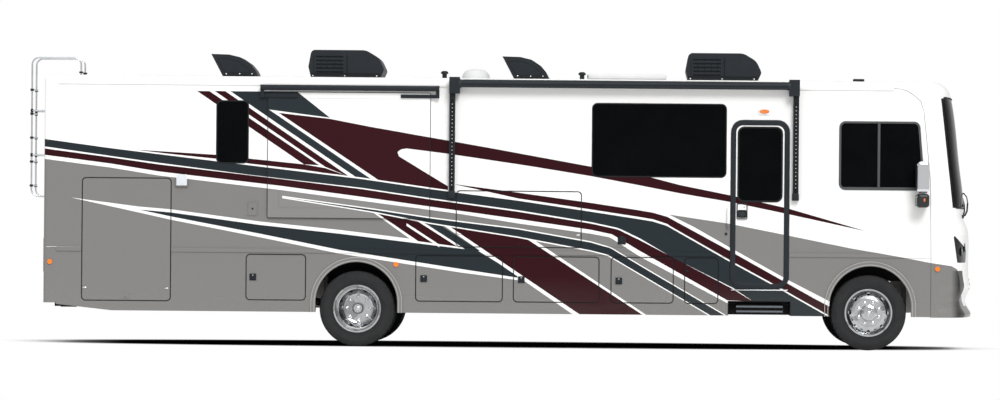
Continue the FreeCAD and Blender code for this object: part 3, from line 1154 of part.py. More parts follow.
def cab_panes():
    """Split the cab glass at its upright bar."""
    whole = pane_solid(CAB_WINDOW)
    bar = outline_solid(square("mullion - mullion_width / 2", "mullion + mullion_width / 2",
                               "cab_low - overrun",
                               "cab_high + overrun"), "0", "XZ",
                               (f"{FACE} - overrun", f"{FACE} + wall_thick"))
    return whole.cut(bar).Solids


bedroom_pane = pane_solid(square("bedroom_back", "bedroom_front", "bedroom_low", "bedroom_high"))
galley_pane = pane_solid(square("galley_back", "galley_front", "galley_low", "galley_high"))
panes = [galley_pane] + [copy for pane in [bedroom_pane] + cab_panes() for copy in both_sides(pane)]
part("side_windows", shaped("SideWindows", Part.Compound(panes)))


# Slide-out rooms: a flanged box that closes against the wall
def slide_box(name, across, upward, depth, flange_across, flange_upward):
    """Make a slide-out room, open towards the cabin, behind an outer flange."""
    outer = f"{FACE} - seal_gap - flange_thick"
    flange = plate(name + "Flange", flange_across, flange_upward, "slide_round",
                   (outer, f"{FACE} - seal_gap"))
    box_out = block(name + "Out", across, (f"{outer} + flange_thick / 2", f"{FACE} + {depth}"), upward)
    box_in = block(name + "In", grown(across, "-slide_wall"),
                   (f"{FACE} + slide_wall", f"{FACE} + {depth} + overrun"),
                   grown(upward, "-slide_wall"))
    field = block(name + "Field", across, (f"{outer} - overrun", f"{outer} + slide_recess"), upward)
    return cut(name, joined(name + "Solid", [flange, box_out]), [box_in, field])


room = slide_box("RightRoom", ("right_slide_back", "right_slide_front"),
                 ("right_slide_low", "right_slide_high"),
                 "right_slide_depth", ("right_flange_back", "right_flange_front"),
                 ("right_flange_low", "right_flange_high"))
FLANGE_FACE = f"{FACE} - seal_gap - flange_thick"
TUBE_Y = "-(body_half + topper_out)"
topper = [rod("TopperTube", ("topper_back", TUBE_Y, "topper_height"), "X", "topper_front - topper_back",
              "topper_radius")]
for word, plate_span, arm_span in (
        ("Back", ("topper_back", "topper_back + topper_bracket"),
         ("topper_back", "right_flange_back + topper_arm")),
        ("Front", ("topper_front - topper_bracket", "topper_front"),
         ("right_flange_front - topper_arm", "topper_front"))):
    topper.append(block(f"Topper{word}Plate", plate_span, (TUBE_Y, FLANGE_FACE),
                        ("topper_bracket_low", "topper_height")))
    topper.append(block(f"Topper{word}Arm", arm_span, (f"{FLANGE_FACE} - topper_arm_thick", FLANGE_FACE),
                        ("topper_bracket_low", "topper_bracket_low + topper_bracket")))
part("slide_right", joined("SlideRight", [room] + topper))

left_across, left_upward = ("left_slide_back", "left_slide_front"), ("left_slide_low", "left_slide_high")
left_room = slide_box("LeftRoomPlain", left_across, left_upward, "left_slide_depth",
                      grown(left_across, "left_flange"), grown(left_upward, "left_flange"))
left_spans = [("left_window_1_back", "left_window_1_front"), ("left_window_2_back", "left_window_2_front")]
room_upward = ("left_window_low", "left_window_high")
room_holes = [plate(f"LeftRoomHole{index}", span, room_upward, "window_round",
                    (f"{FACE} - flange_thick - overrun", f"{FACE} + slide_wall + overrun"))
              for index, span in enumerate(left_spans)]
part("slide_left", mirrored("SlideLeft", cut("LeftRoomCut", left_room, room_holes)))
ROOM_GLASS = (f"{FLANGE_FACE} + slide_recess", f"{FLANGE_FACE} + slide_recess + pane_thick")
part("slide_left_windows", mirrored("SlideLeftWindows", grouped("LeftRoomPanes", [
    plate(f"LeftRoomPane{index}", span, room_upward, "window_round", ROOM_GLASS)
    for index, span in enumerate(left_spans)])))

# Patio awning: roller between two brackets, with folded arms down the wall
STAND = "-(body_half + gutter_thick)"
awning = [rod("AwningTube", ("awning_back", "-(body_half + awning_out)", "awning_height"), "X",
              "awning_front - awning_back", "awning_radius")]
for word, arm_at, bracket in (("Back", "arm_back", ("awning_back - bracket_width", "awning_back")),
                              ("Front", "arm_front", ("awning_front", "awning_front + bracket_width"))):
    arm = block(f"Arm{word}", (arm_at, f"{arm_at} + arm_width"), (f"{STAND} - arm_depth", STAND),
                ("arm_low", "arm_cap"))
    groove = block(f"ArmGroove{word}", around(f"{arm_at} + arm_width / 2", "arm_channel / 2"),
                   (f"{STAND} - arm_depth - overrun", f"{STAND} - arm_depth / 2"),
                   ("arm_low + arm_width", "bracket_low - arm_width"))
    foot = block(f"ArmFoot{word}", (arm_at, f"{arm_at} + arm_width"), (STAND, FACE),
                 ("arm_low", "arm_low + arm_width * 2"))
    head = block(f"ArmHead{word}", bracket, ("-(body_half + awning_out + awning_radius)", STAND),
                 ("bracket_low", "arm_cap"))
    awning += [cut(f"ArmCut{word}", arm, [groove]), foot, head]
part("patio_awning", joined("PatioAwning", awning))

# Trim on the walls
GUTTER_DEPTH = (STAND, FACE)
BELT_DEPTH = ("-(body_half + moulding_thick)", FACE)
BELT = ("moulding_low", "moulding_low + moulding_height")


def arch_trim(name, at):
    """Make the raised lip round a wheel opening."""
    outside, depth = "arch_inner + arch_trim", "arch_trim_thick"
    start = f"{FACE} - arch_trim_thick"
    ring = rod(name + "Ring", (at, start, "arch_centre"), "Y", depth, outside)
    legs = block(name + "Legs", around(at, outside), (start, FACE), ("skirt_bottom", "arch_centre"))
    low = block(name + "Low", around(at, f"{outside} + overrun"), (f"{start} - overrun", f"{FACE} + overrun"),
                ("skirt_bottom - arch_inner * 2", "skirt_bottom"))
    hole = rod(name + "Hole", (at, f"{start} - overrun", "arch_centre"), "Y", f"{depth} + overrun * 2",
               "arch_inner")
    gap = block(name + "Gap", around(at, "arch_inner"), (f"{start} - overrun", f"{FACE} + overrun"),
                ("skirt_bottom - overrun", "arch_centre"))
    return cut(name, joined(name + "Solid", [ring, legs]), [low, hole, gap])


def common_trim(word):
    """Make the trim that both sides share."""
    return [block(f"{word}Gutter", ("rear_seam", "roof_front"), GUTTER_DEPTH,
                  around("roof_edge", "gutter_height / 2")),
            arch_trim(f"{word}FrontTrim", "front_arch_at"), arch_trim(f"{word}RearTrim", "rear_arch_at")]


def on_wall(name, across, upward, proud):
    """Make a plate that stands on the right wall."""
    return block(name, across, (f"{FACE} - {proud}", FACE), upward)


grab_bar = joined("GrabBar", [
    block("GrabRail", ("grab_back", "grab_front"), (f"{FACE} - grab_out", f"{FACE} - grab_out / 2"),
          ("grab_low", "grab_high")),
    on_wall("GrabFootLow", ("grab_back", "grab_front"), ("grab_low", "grab_low + grab_foot"), "grab_out"),
    on_wall("GrabFootHigh", ("grab_back", "grab_front"), ("grab_high - grab_foot", "grab_high"), "grab_out")])
belt = [on_wall(f"Belt{index}", span, BELT, "moulding_thick") for index, span in enumerate((
    ("rear_seam", "lift_back - door_gap"), ("lift_front + door_gap", "entry_back - door_gap"),
    ("entry_front + door_gap", "front_seam")))]
fittings = [
    on_wall("ServicePanel", ("panel_back", "panel_front"), ("panel_low", "panel_high"), "panel_thick"),
    on_wall("SmallHatch", ("small_hatch_back", "small_hatch_front"), ("small_hatch_low", "small_hatch_high"),
            "panel_thick"),
    on_wall("BoxCover", ("box_cover_back", "box_cover_front"), ("box_cover_low", "box_cover_high"),
            "box_cover_thick"),
    on_wall("Sill", ("entry_back", "entry_front"), ("sill_low", "sill_low + sill_height"), "sill_thick"),
    on_wall("PorchLight", ("porch_back", "porch_front"), ("porch_low", "porch_high"), "porch_thick")]
left_belt = block("LeftBeltFlat", ("rear_seam", "front_seam"), BELT_DEPTH, BELT)
side_trim = common_trim("Right") + belt + fittings + [
    grab_bar, mirrored("LeftTrim", grouped("LeftTrimFlat", common_trim("Left") + [left_belt]))]


# Lamps at the rear and along the sides
def marker(name, at, side):
    """Make a round side marker lamp."""
    start = f"{FACE} - marker_thick" if side == "right" else "body_half"
    return rod(name, (at, start, "marker_height"), "Y", "marker_thick", "marker_radius")


tail_lamps = [block(f"TailLamp{word}", ("-tail_lamp_thick", "0"),
                    around(f"{sign}tail_lamp_side", "tail_lamp_half"),
                    ("tail_lamp_low", "tail_lamp_high")) for word, sign in (("Right", "-"), ("Left", ""))]
markers = [marker(f"Marker{index}{side}", at, side) for side in ("right", "left")
           for index, at in enumerate(("marker_rear_at", "marker_middle_at", "marker_front_at"))]
part("lamps", grouped("Lamps", headlamps + tail_lamps + markers))


def soft_box(x, y, z, radius):
    """Make a box with all its edges rounded."""
    low, high = point(x[0], y[0], z[0]), point(x[1], y[1], z[1])
    size = high - low
    made = Part.makeBox(size.x, size.y, size.z, low)
    return made.makeFillet(number(radius), made.Edges)


# Mirrors: a tall head over a small wide-angle head, on two arms
head = soft_box(("mirror_back", "mirror_front"), ("-mirror_far", "-mirror_near"),
                ("mirror_low", "mirror_high"),
                "mirror_round")
low_head = soft_box(("mirror_back", "mirror_front"), ("-mirror_far", "-mirror_near"),
                    ("convex_low", "mirror_low - convex_gap"), "mirror_round")
arm_reach = number("mirror_far - body_half - mirror_round")
mirror_arms = [Part.makeCylinder(number("mirror_arm"), arm_reach, point("mirror_mount_at", FACE, height),
                                 -AXES["Y"])
               for height in ("mirror_high - mirror_arm_inset", "convex_low + mirror_arm_inset")]
post = Part.makeCylinder(number("mirror_arm"), number("mirror_round * 2 + convex_gap"),
                         point("(mirror_back + mirror_front) / 2", "-(mirror_far + mirror_near) / 2",
                               "mirror_low - convex_gap - mirror_round"), AXES["Z"])
mirror = head.multiFuse([low_head, post] + mirror_arms)
part("mirrors", shaped("Mirrors", Part.Compound(both_sides(mirror))))

# Ladder at the rear corner, hooped over the roof
ROOF_BOW = "((roof_top - roof_shoulder) / (body_half - roof_edge_round) ^ 2)"


def roof_height(y):
    """Return the height of the crowned roof at a distance from the centreline."""
    return f"roof_top - {ROOF_BOW} * ({y}) ^ 2"


ladder_ys = ["-(ladder_side - ladder_half)", "-(ladder_side + ladder_half)"]
ladder_pieces = []
for y in ladder_ys:
    ladder_pieces.append(bent_tube(
        [("0", "ladder_low"), ("-ladder_out", "ladder_low"), ("-ladder_out", "ladder_top"),
         ("ladder_reach", "ladder_top"), ("ladder_reach", f"{roof_height(y)} + foot_lift")],
        "ladder_rail", "ladder_bend", y))
    for height in ("rung_low + rung_pitch * 1.25", "rung_low + rung_pitch * 3.1"):
        ladder_pieces.append(Part.makeCylinder(number("ladder_rail"), number("ladder_out"),
                                               point("-ladder_out", y, height), AXES["X"]))
    for height in ("ladder_low", "rung_low + rung_pitch * 1.25", "rung_low + rung_pitch * 3.1"):
        ladder_pieces.append(Part.makeCylinder(number("foot_radius"), number("foot_thick"),
                                               point("-foot_thick", y, height), AXES["X"]))
for step in range(SIZES["rung_count"]):
    low = point("-ladder_out - tread_depth / 2", ladder_ys[1],
                f"rung_low + rung_pitch * {step} - tread_height")
    ladder_pieces.append(Part.makeBox(number("tread_depth"), number("ladder_half * 2"),
                                      number("tread_height"), low))
part("ladder", shaped("Ladder", ladder_pieces[0].multiFuse(ladder_pieces[1:])))

# Roof coolers: louvred box behind, falling away in front
COOLER_SHARES = [(0.035, 0.0), (0.0, 0.38), (0.04, 1.0), (0.76, 1.0), (0.93, 0.72), (1.0, 0.3), (0.95, 0.0)]
LOUVRE_SHARES = [0.16, 0.3, 0.44, 0.58, 0.72]


def cooler(at):
    """Make one roof cooler with louvre slots in its sides."""
    body = outline_solid([(f"{at} + cooler_length * {along}", f"roof_top + cooler_height * {up}")
                          for along, up in COOLER_SHARES],
                         ["0", "cooler_round", "cooler_round", "cooler_round * 3", "cooler_round * 3",
                          "cooler_round", "0"], "XZ", around("0", "cooler_half"))
    cuts = [Part.makeBox(number("cooler_length * 0.36"), number("cooler_slot_deep"), number("cooler_slot"),
                         point(f"{at} + cooler_length * 0.1", y, f"roof_top + cooler_height * {up}"))
            for up in LOUVRE_SHARES for y in ("-cooler_half", "cooler_half - cooler_slot_deep")]
    return body.cut(cuts)


part("air_conditioners", shaped("AirConditioners", Part.Compound(
    [cooler("cooler_rear_at"), cooler("cooler_front_at")])))


# Roof vents, dome, tray and beacon
def spun_solid(shares, radius, height, x, y, z):
    """Spin a smooth half outline, given as shares of radius and height, about an upright line."""
    curve = spline([FreeCAD.Vector(out * number(radius), 0, up * number(height)) for out, up in shares])
    start, end, foot = curve.StartPoint, curve.EndPoint, FreeCAD.Vector()
    edges = [curve.toShape(), Part.makeLine(end, foot), Part.makeLine(foot, start)]
    solid = Part.Face(Part.Wire(edges)).revolve(foot, AXES["Z"], 360)
    solid.translate(point(x, y, z))
    return solid


LID_BASE = "roof_top + lid_gap"
HINGE_HEIGHT = f"{LID_BASE} + hinge_radius"


def curb(name, at):
    """Make the upstand round a fan opening, with two lugs ahead of it for the hood's hinge."""
    middle, top = f"{at} + fan_length / 2 + fan_shift", "roof_top + fan_curb_height"
    outside = block(name + "Out", around(middle, "fan_opening + fan_curb"),
                    around("0", "fan_opening + fan_curb"), ("roof_top", top))
    inside = block(name + "In", around(middle, "fan_opening"), around("0", "fan_opening"),
                   ("roof_top - overrun", f"{top} + overrun"))
    lugs = [block(f"{name}Lug{word}", (f"{at} + fan_length - hinge_radius", f"{at} + fan_length"),
                  (start, f"{start} + hinge_lug - seal_gap"), ("roof_top", f"{HINGE_HEIGHT} + hinge_radius"))
            for word, start in (("Right", "-(hinge_half + hinge_lug)"), ("Left", "hinge_half + seal_gap"))]
    return joined(name, [cut(name + "Ring", outside, [inside])] + lugs)


MUSHROOM_SHARES = [(0.62, 0.0), (0.62, 0.55), (1.0, 0.62), (0.94, 0.86), (0.5, 0.98), (0.0, 1.0)]


def mushroom(x):
    """Make a plumbing vent with its cap."""
    spots = [FreeCAD.Vector(out * number("vent_radius"), 0, up * number("vent_height")) for out,
             up in MUSHROOM_SHARES]
    face = Part.Face(Part.makePolygon([FreeCAD.Vector()] + spots + [FreeCAD.Vector()]))
    solid = face.revolve(FreeCAD.Vector(), AXES["Z"], 360)
    solid.translate(point(x, "-vent_side", f"{roof_height('vent_side')} + foot_lift"))
    return solid


DOME_OUTLINE_SHARES = [(1.0, 0.0), (0.97, 0.34), (0.8, 0.72), (0.45, 0.95), (0.0, 1.0)]
dome = spun_solid(DOME_OUTLINE_SHARES, "dome_radius", "dome_height", "dome_at", "0", "roof_top")
tray = soft_box(("tray_start", "tray_start + tray_length"), around("0", "tray_half"),
                ("roof_top", "roof_top + tray_height"), "roof_seat")
beacon = soft_box(("beacon_start", "beacon_start + beacon_length"), around("0", "beacon_half"),
                  ("roof_top", "roof_top + beacon_height"), "hinge_radius")
part("roof_vents", grouped("RoofVents", [curb("RearCurb", "fan_rear_at"), curb("FrontCurb", "fan_front_at"),
                                         shaped("RoofItems", Part.Compound(
                                             [dome, tray, beacon, mushroom("vent_1_at"),
                                              mushroom("vent_2_at")]))]))

LID_SHARES = [(0.25, 0.0), (0.0, 1.0), (0.38, 0.98), (0.62, 0.86), (0.82, 0.58), (0.93, 0.3), (1.0, 0.0)]


def fan_lid(at):
    """Make a hollow fan hood, open behind and below, hinged at its front foot."""
    def hood(skin, low, side):
        corners = [(f"{at} + (fan_length - hinge_radius * 2) * {along} + {skin} * {1 - 2 * along}",
                    f"{LID_BASE} + (lid_rise - {skin}) * {up} + {low if up == 0 else 0}")
                   for along, up in LID_SHARES]
        return outline_solid(corners, ["0", "0"] + ["lid_round"] * 4 + ["0"], "XZ", around("0", side))

    barrel = Part.makeCylinder(number("hinge_radius"), number("hinge_half * 2"),
                               point(f"{at} + fan_length - hinge_radius", "-hinge_half", HINGE_HEIGHT),
                               AXES["Y"])
    leaf = Part.makeBox(number("hinge_radius * 2"), number("hinge_half * 2"), number("lid_skin"),
                        point(f"{at} + fan_length - hinge_radius * 3", "-hinge_half", LID_BASE))
    shell_of_hood = hood("0", "0", "fan_half").cut(hood("lid_skin", "-overrun", "fan_half - lid_skin"))
    return shell_of_hood.multiFuse([barrel, leaf])


part("fan_lid_rear", shaped("FanLidRear", fan_lid("fan_rear_at")))
part("fan_lid_front", shaped("FanLidFront", fan_lid("fan_front_at")))

# Wipers are raised trim on the screen: a pivot at the foot and a blade swept to one side
wiper_layer = nose_layer(-number("wiper_thick"), 0)
wipers = []
for sign in (-1, 1):
    stem = Part.makeBox(number("nose_reach - front_seam + overrun"), number("wiper_length"),
                        number("wiper_width"),
                        point("front_seam", "0", "wiper_low"))
    stem.rotate(point("front_seam", "0", "wiper_low"), AXES["X"], SIZES["wiper_lean"])
    stem.translate(FreeCAD.Vector(0, number("wiper_spread") * (sign - 1) / 2 + number("screen_post * 2"), 0))
    wipers.append(wiper_layer.common(stem).Solids[0])
part("body_trim", grouped("BodyTrim", side_trim + [shaped("Wipers", Part.Compound(wipers))]))

# Entry step: a housing under the door, two swinging arms and a pair of level treads
STEP_FACE = f"{FACE} + step_face_in"
step_out = block("StepOut", ("step_back", "step_front"), (STEP_FACE, f"{STEP_FACE} + step_depth"),
                 ("step_low", "step_high"))
step_in = block("StepIn", ("step_back + step_skin", "step_front - step_skin"),
                (f"{STEP_FACE} - overrun", f"{STEP_FACE} + step_depth - step_skin"),
                ("step_low - overrun", "step_high - step_skin"))
part("step_housing", cut("StepHousing", step_out, [step_in]))

REST = math.radians(SIZES["step_arm_rest"])
PIVOT_Y, PIVOT_Z = f"({FACE} + arm_pivot_in)", "arm_pivot_height"
PIN_Y = f"({PIVOT_Y} + arm_length * {math.cos(REST)})"
PIN_Z = f"({PIVOT_Z} - arm_length * {math.sin(REST)})"
ARM_SIDES = {"Back": ("tread_back - arm_side_gap - arm_thick", "tread_back - arm_side_gap"),
             "Front": ("tread_front + arm_side_gap", "tread_front + arm_side_gap + arm_thick")}


def step_arm(word):
    """Make one arm plate with round ends, from the housing pivot to the tread pin."""
    start, end = number(ARM_SIDES[word][0]), number(ARM_SIDES[word][1])
    pivot = FreeCAD.Vector(start, number(PIVOT_Y), number(PIVOT_Z))
    pin = FreeCAD.Vector(start, number(PIN_Y), number(PIN_Z))
    thick, half = AXES["X"] * (end - start), number("arm_half")
    side = (pin - pivot).normalize().cross(AXES["X"]) * half
    bar = Part.Face(Part.makePolygon([pivot + side, pin + side, pin - side, pivot - side,
                                      pivot + side])).extrude(thick)
    ends = [Part.makeCylinder(half, thick.Length, spot, AXES["X"]) for spot in (pivot, pin)]
    return bar.multiFuse(ends)


torque_tube = Part.makeCylinder(
    number("pivot_radius"), number("step_front - step_back - (step_skin + seal_gap) * 2"),
    point("step_back + step_skin + seal_gap", PIVOT_Y, PIVOT_Z), AXES["X"])
tread_pins = [Part.makeCylinder(number("pivot_radius"), number("arm_side_gap + frame_thick"),
                                point(start, PIN_Y, PIN_Z), AXES["X"])
              for start in ("tread_back - arm_side_gap", "tread_front - frame_thick")]
part("step_arms", shaped("StepArms", torque_tube.multiFuse(
    [step_arm("Back"), step_arm("Front")] + tread_pins)))
treads = [block(f"StepTread{index}", ("tread_back", "tread_front"), (STEP_FACE, f"{STEP_FACE} + tread_deep"),
                (f"tread_top - tread_drop * {index} - tread_thick", f"tread_top - tread_drop * {index}"))
          for index in range(2)]
frames = [block(f"StepFrame{word}", span, (f"{STEP_FACE} + tread_thick", f"{PIN_Y} + arm_half"),
                ("tread_top - tread_drop - tread_thick", "tread_top")) for word, span in
          (("Back", ("tread_back", "tread_back + frame_thick")),
           ("Front", ("tread_front - frame_thick", "tread_front")))]
pin_holes = rod("StepPinHole", ("tread_back - overrun", PIN_Y, PIN_Z), "X",
                "tread_front - tread_back + overrun * 2",
                "pivot_radius + running_gap")
part("step_treads", cut("StepTreads", joined("StepTreadSolid", treads + frames), [pin_holes]))

# Cab: dashboard that follows the nose, steering column, seat bases
DASH = [("dash_back", "dash_shelf"), ("dash_knee", "dash_shelf - dash_round"), ("dash_knee", FLOOR[1]),
        ("nose_reach", FLOOR[1]), ("nose_reach", "dash_top"), ("dash_back", "dash_top")]
dash = outline_solid(DASH, ["dash_round / 2", "dash_round", "0", "0", "0", "dash_round"], "XZ",
                     around("0", "dash_half"))
dash = dash.common(nose_solid(number("cap_thick + dash_clear")))
TILT = math.radians(SIZES["column_tilt"])
AXIS = FreeCAD.Vector(-math.sin(TILT), 0, math.cos(TILT))
wheel_centre = point("wheel_at", "seat_side", "wheel_height")
column_top = wheel_centre - AXIS * number("wheel_hub_thick / 2 + seal_gap")
column = Part.makeCylinder(number("column_radius"), number("column_length"), column_top, -AXIS)
seat_bases = [Part.makeBox(number("pedestal_half * 2"), number("pedestal_half * 2"), number("seat_pedestal"),
                           point("seat_at + seat_length / 2 - pedestal_half",
                                 f"{sign}seat_side - pedestal_half", FLOOR[1]))
              for sign in ("-", "")]
part("cab_interior", shaped("CabInterior", Part.Compound([dash.fuse(column)] + seat_bases)))

SEAT_BASE = f"{FLOOR[1]} + seat_pedestal + seal_gap"
GRIP_SHARES = [0.125, 0.375, 0.625, 0.875, 1.125, 1.375, 1.625, 1.875]


def seat(sign):
    """Make the plain forms of one seat's cushion, back and headrest."""
    across = around(f"{sign}seat_side", "seat_half")
    top = f"{SEAT_BASE} + back_rise"
    return [soft_box(("seat_at + back_thick + seal_gap", "seat_at + seat_length"), across,
                     (SEAT_BASE, f"{SEAT_BASE} + cushion_thick"), "roof_seat"),
            soft_box(("seat_at", "seat_at + back_thick"), across, (SEAT_BASE, top), "roof_seat"),
            soft_box(("seat_at", "seat_at + back_thick"), around(f"{sign}seat_side", "headrest_half"),
                     (f"{top} + seal_gap", f"{top} + headrest_rise"), "roof_seat")]


part("seat_cushions", shaped("SeatCushions", Part.Compound(seat("-") + seat(""))))

grip = [FreeCAD.Vector(number("wheel_ring") + number("wheel_grip") * math.cos(turn), 0,
                       number("wheel_grip") * math.sin(turn))
        for turn in (math.pi * share for share in GRIP_SHARES)]
ring = Part.Face(Part.makePolygon(grip + grip[:1])).revolve(FreeCAD.Vector(), AXES["Z"], 360)
hub = Part.makeCylinder(number("wheel_hub"), number("wheel_hub_thick"),
                        FreeCAD.Vector(0, 0, -number("wheel_hub_thick / 2")))
spokes = [Part.makeCylinder(number("wheel_spoke"), number("wheel_ring"), FreeCAD.Vector(),
                            FreeCAD.Vector(math.cos(turn), math.sin(turn), 0))
          for turn in (math.pi * share for share in (0.5, 1.0, 1.5))]
steering = ring.multiFuse([hub] + spokes)
steering.rotate(FreeCAD.Vector(), AXES["Y"], -SIZES["column_tilt"])
steering.translate(wheel_centre)
part("steering_wheel", shaped("SteeringWheel", steering))

# Check every object, then write one file for each sub-part
document.recompute()
for item in document.Objects:
    if {"Invalid", "Error"} & set(item.State):
        raise RuntimeError(f"{item.Name} did not build: {item.State}")
for label, thing in parts.items():
    if thing.Shape.isNull() or not thing.Shape.isValid():
        raise RuntimeError(f"{label} has no valid shape")
os.makedirs("parts", exist_ok=True)
for label, thing in parts.items():
    thing.Shape.exportStep(f"parts/{label}.step")
    print(label, len(thing.Shape.Solids), "solids")
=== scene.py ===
"""Looks of a motorhome: painted shell, glass, wheels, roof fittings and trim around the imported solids."""

import json
import logging
import math
from dataclasses import dataclass
from enum import Enum
from typing import Iterable, Optional, Sequence, Union

import bmesh
import bpy
from mathutils import Matrix, Vector

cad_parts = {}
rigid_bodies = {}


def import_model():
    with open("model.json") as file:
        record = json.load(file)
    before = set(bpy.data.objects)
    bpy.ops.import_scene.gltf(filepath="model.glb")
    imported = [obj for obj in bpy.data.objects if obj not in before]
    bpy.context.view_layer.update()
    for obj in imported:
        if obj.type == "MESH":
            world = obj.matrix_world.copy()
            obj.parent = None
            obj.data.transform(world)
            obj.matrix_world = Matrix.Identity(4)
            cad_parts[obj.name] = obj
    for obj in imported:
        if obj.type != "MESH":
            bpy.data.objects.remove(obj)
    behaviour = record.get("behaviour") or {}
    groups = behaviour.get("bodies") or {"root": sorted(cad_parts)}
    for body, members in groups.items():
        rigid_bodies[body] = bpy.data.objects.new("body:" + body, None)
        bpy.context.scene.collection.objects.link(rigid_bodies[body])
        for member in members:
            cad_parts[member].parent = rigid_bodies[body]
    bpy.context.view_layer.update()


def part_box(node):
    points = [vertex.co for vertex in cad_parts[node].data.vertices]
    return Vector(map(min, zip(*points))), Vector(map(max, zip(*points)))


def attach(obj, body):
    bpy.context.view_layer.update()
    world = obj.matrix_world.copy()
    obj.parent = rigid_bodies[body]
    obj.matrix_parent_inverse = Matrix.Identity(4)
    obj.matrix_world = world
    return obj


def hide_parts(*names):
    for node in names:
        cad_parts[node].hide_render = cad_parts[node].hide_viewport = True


log = logging.getLogger("motorhome")
Colour = tuple[float, float, float]
Span = tuple[float, float]
Spans = tuple[float, float, float, float]
Mark = tuple[float, float, str]
Outline = Sequence[tuple[float, float]]
AXLE_HEIGHT = 0.473


class Side(Enum):
    """A side of the vehicle, as the sign of y there."""

    RIGHT = -1
    LEFT = 1


class Socket:
    """One output of a shader node, usable in Python sums."""

    def __init__(self, graph: "Graph", link: bpy.types.NodeSocket) -> None:
        """Hold an output.

        Args:
            graph: the material that it belongs to.
            link: the node's output.
        """
        self.graph = graph
        self.link = link

    def _math(self, operation: str, *values: "Value") -> "Socket":
        """Add one Math node.

        Args:
            operation: the node's operation.
            values: its inputs, in order.

        Returns:
            The node's output.
        """
        return self.graph.make("ShaderNodeMath", {"operation": operation}, dict(enumerate(values)))

    def __add__(self, other: "Value") -> "Socket":
        """Add."""
        return self._math("ADD", self, other)

    def __sub__(self, other: "Value") -> "Socket":
        """Subtract."""
        return self._math("SUBTRACT", self, other)

    def __rsub__(self, other: "Value") -> "Socket":
        """Subtract this from a number."""
        return self._math("SUBTRACT", other, self)

    def __mul__(self, other: "Value") -> "Socket":
        """Multiply."""
        return self._math("MULTIPLY", self, other)

    def __truediv__(self, other: "Value") -> "Socket":
        """Divide."""
        return self._math("DIVIDE", self, other)

    def __gt__(self, other: "Value") -> "Socket":
        """Give 1 where this is greater."""
        return self._math("GREATER_THAN", self, other)

    def __lt__(self, other: "Value") -> "Socket":
        """Give 1 where this is less."""
        return self._math("LESS_THAN", self, other)

    def __and__(self, other: "Value") -> "Socket":
        """Give the lesser of two masks."""
        return self._math("MINIMUM", self, other)

    def __or__(self, other: "Value") -> "Socket":
        """Give the greater of two masks."""
        return self._math("MAXIMUM", self, other)

    def __abs__(self) -> "Socket":
        """Give the size without the sign."""
        return self._math("ABSOLUTE", self)

    def power(self, other: "Value") -> "Socket":
        """Raise to a power."""
        return self._math("POWER", self, other)

    def wave(self, pitch: float) -> "Socket":
        """Give a sine wave of that pitch along this value."""
        return self._math("SINE", self * (2 * math.pi / pitch))

    __radd__ = __add__
    __rmul__ = __mul__


Value = Union[Socket, float, Colour]


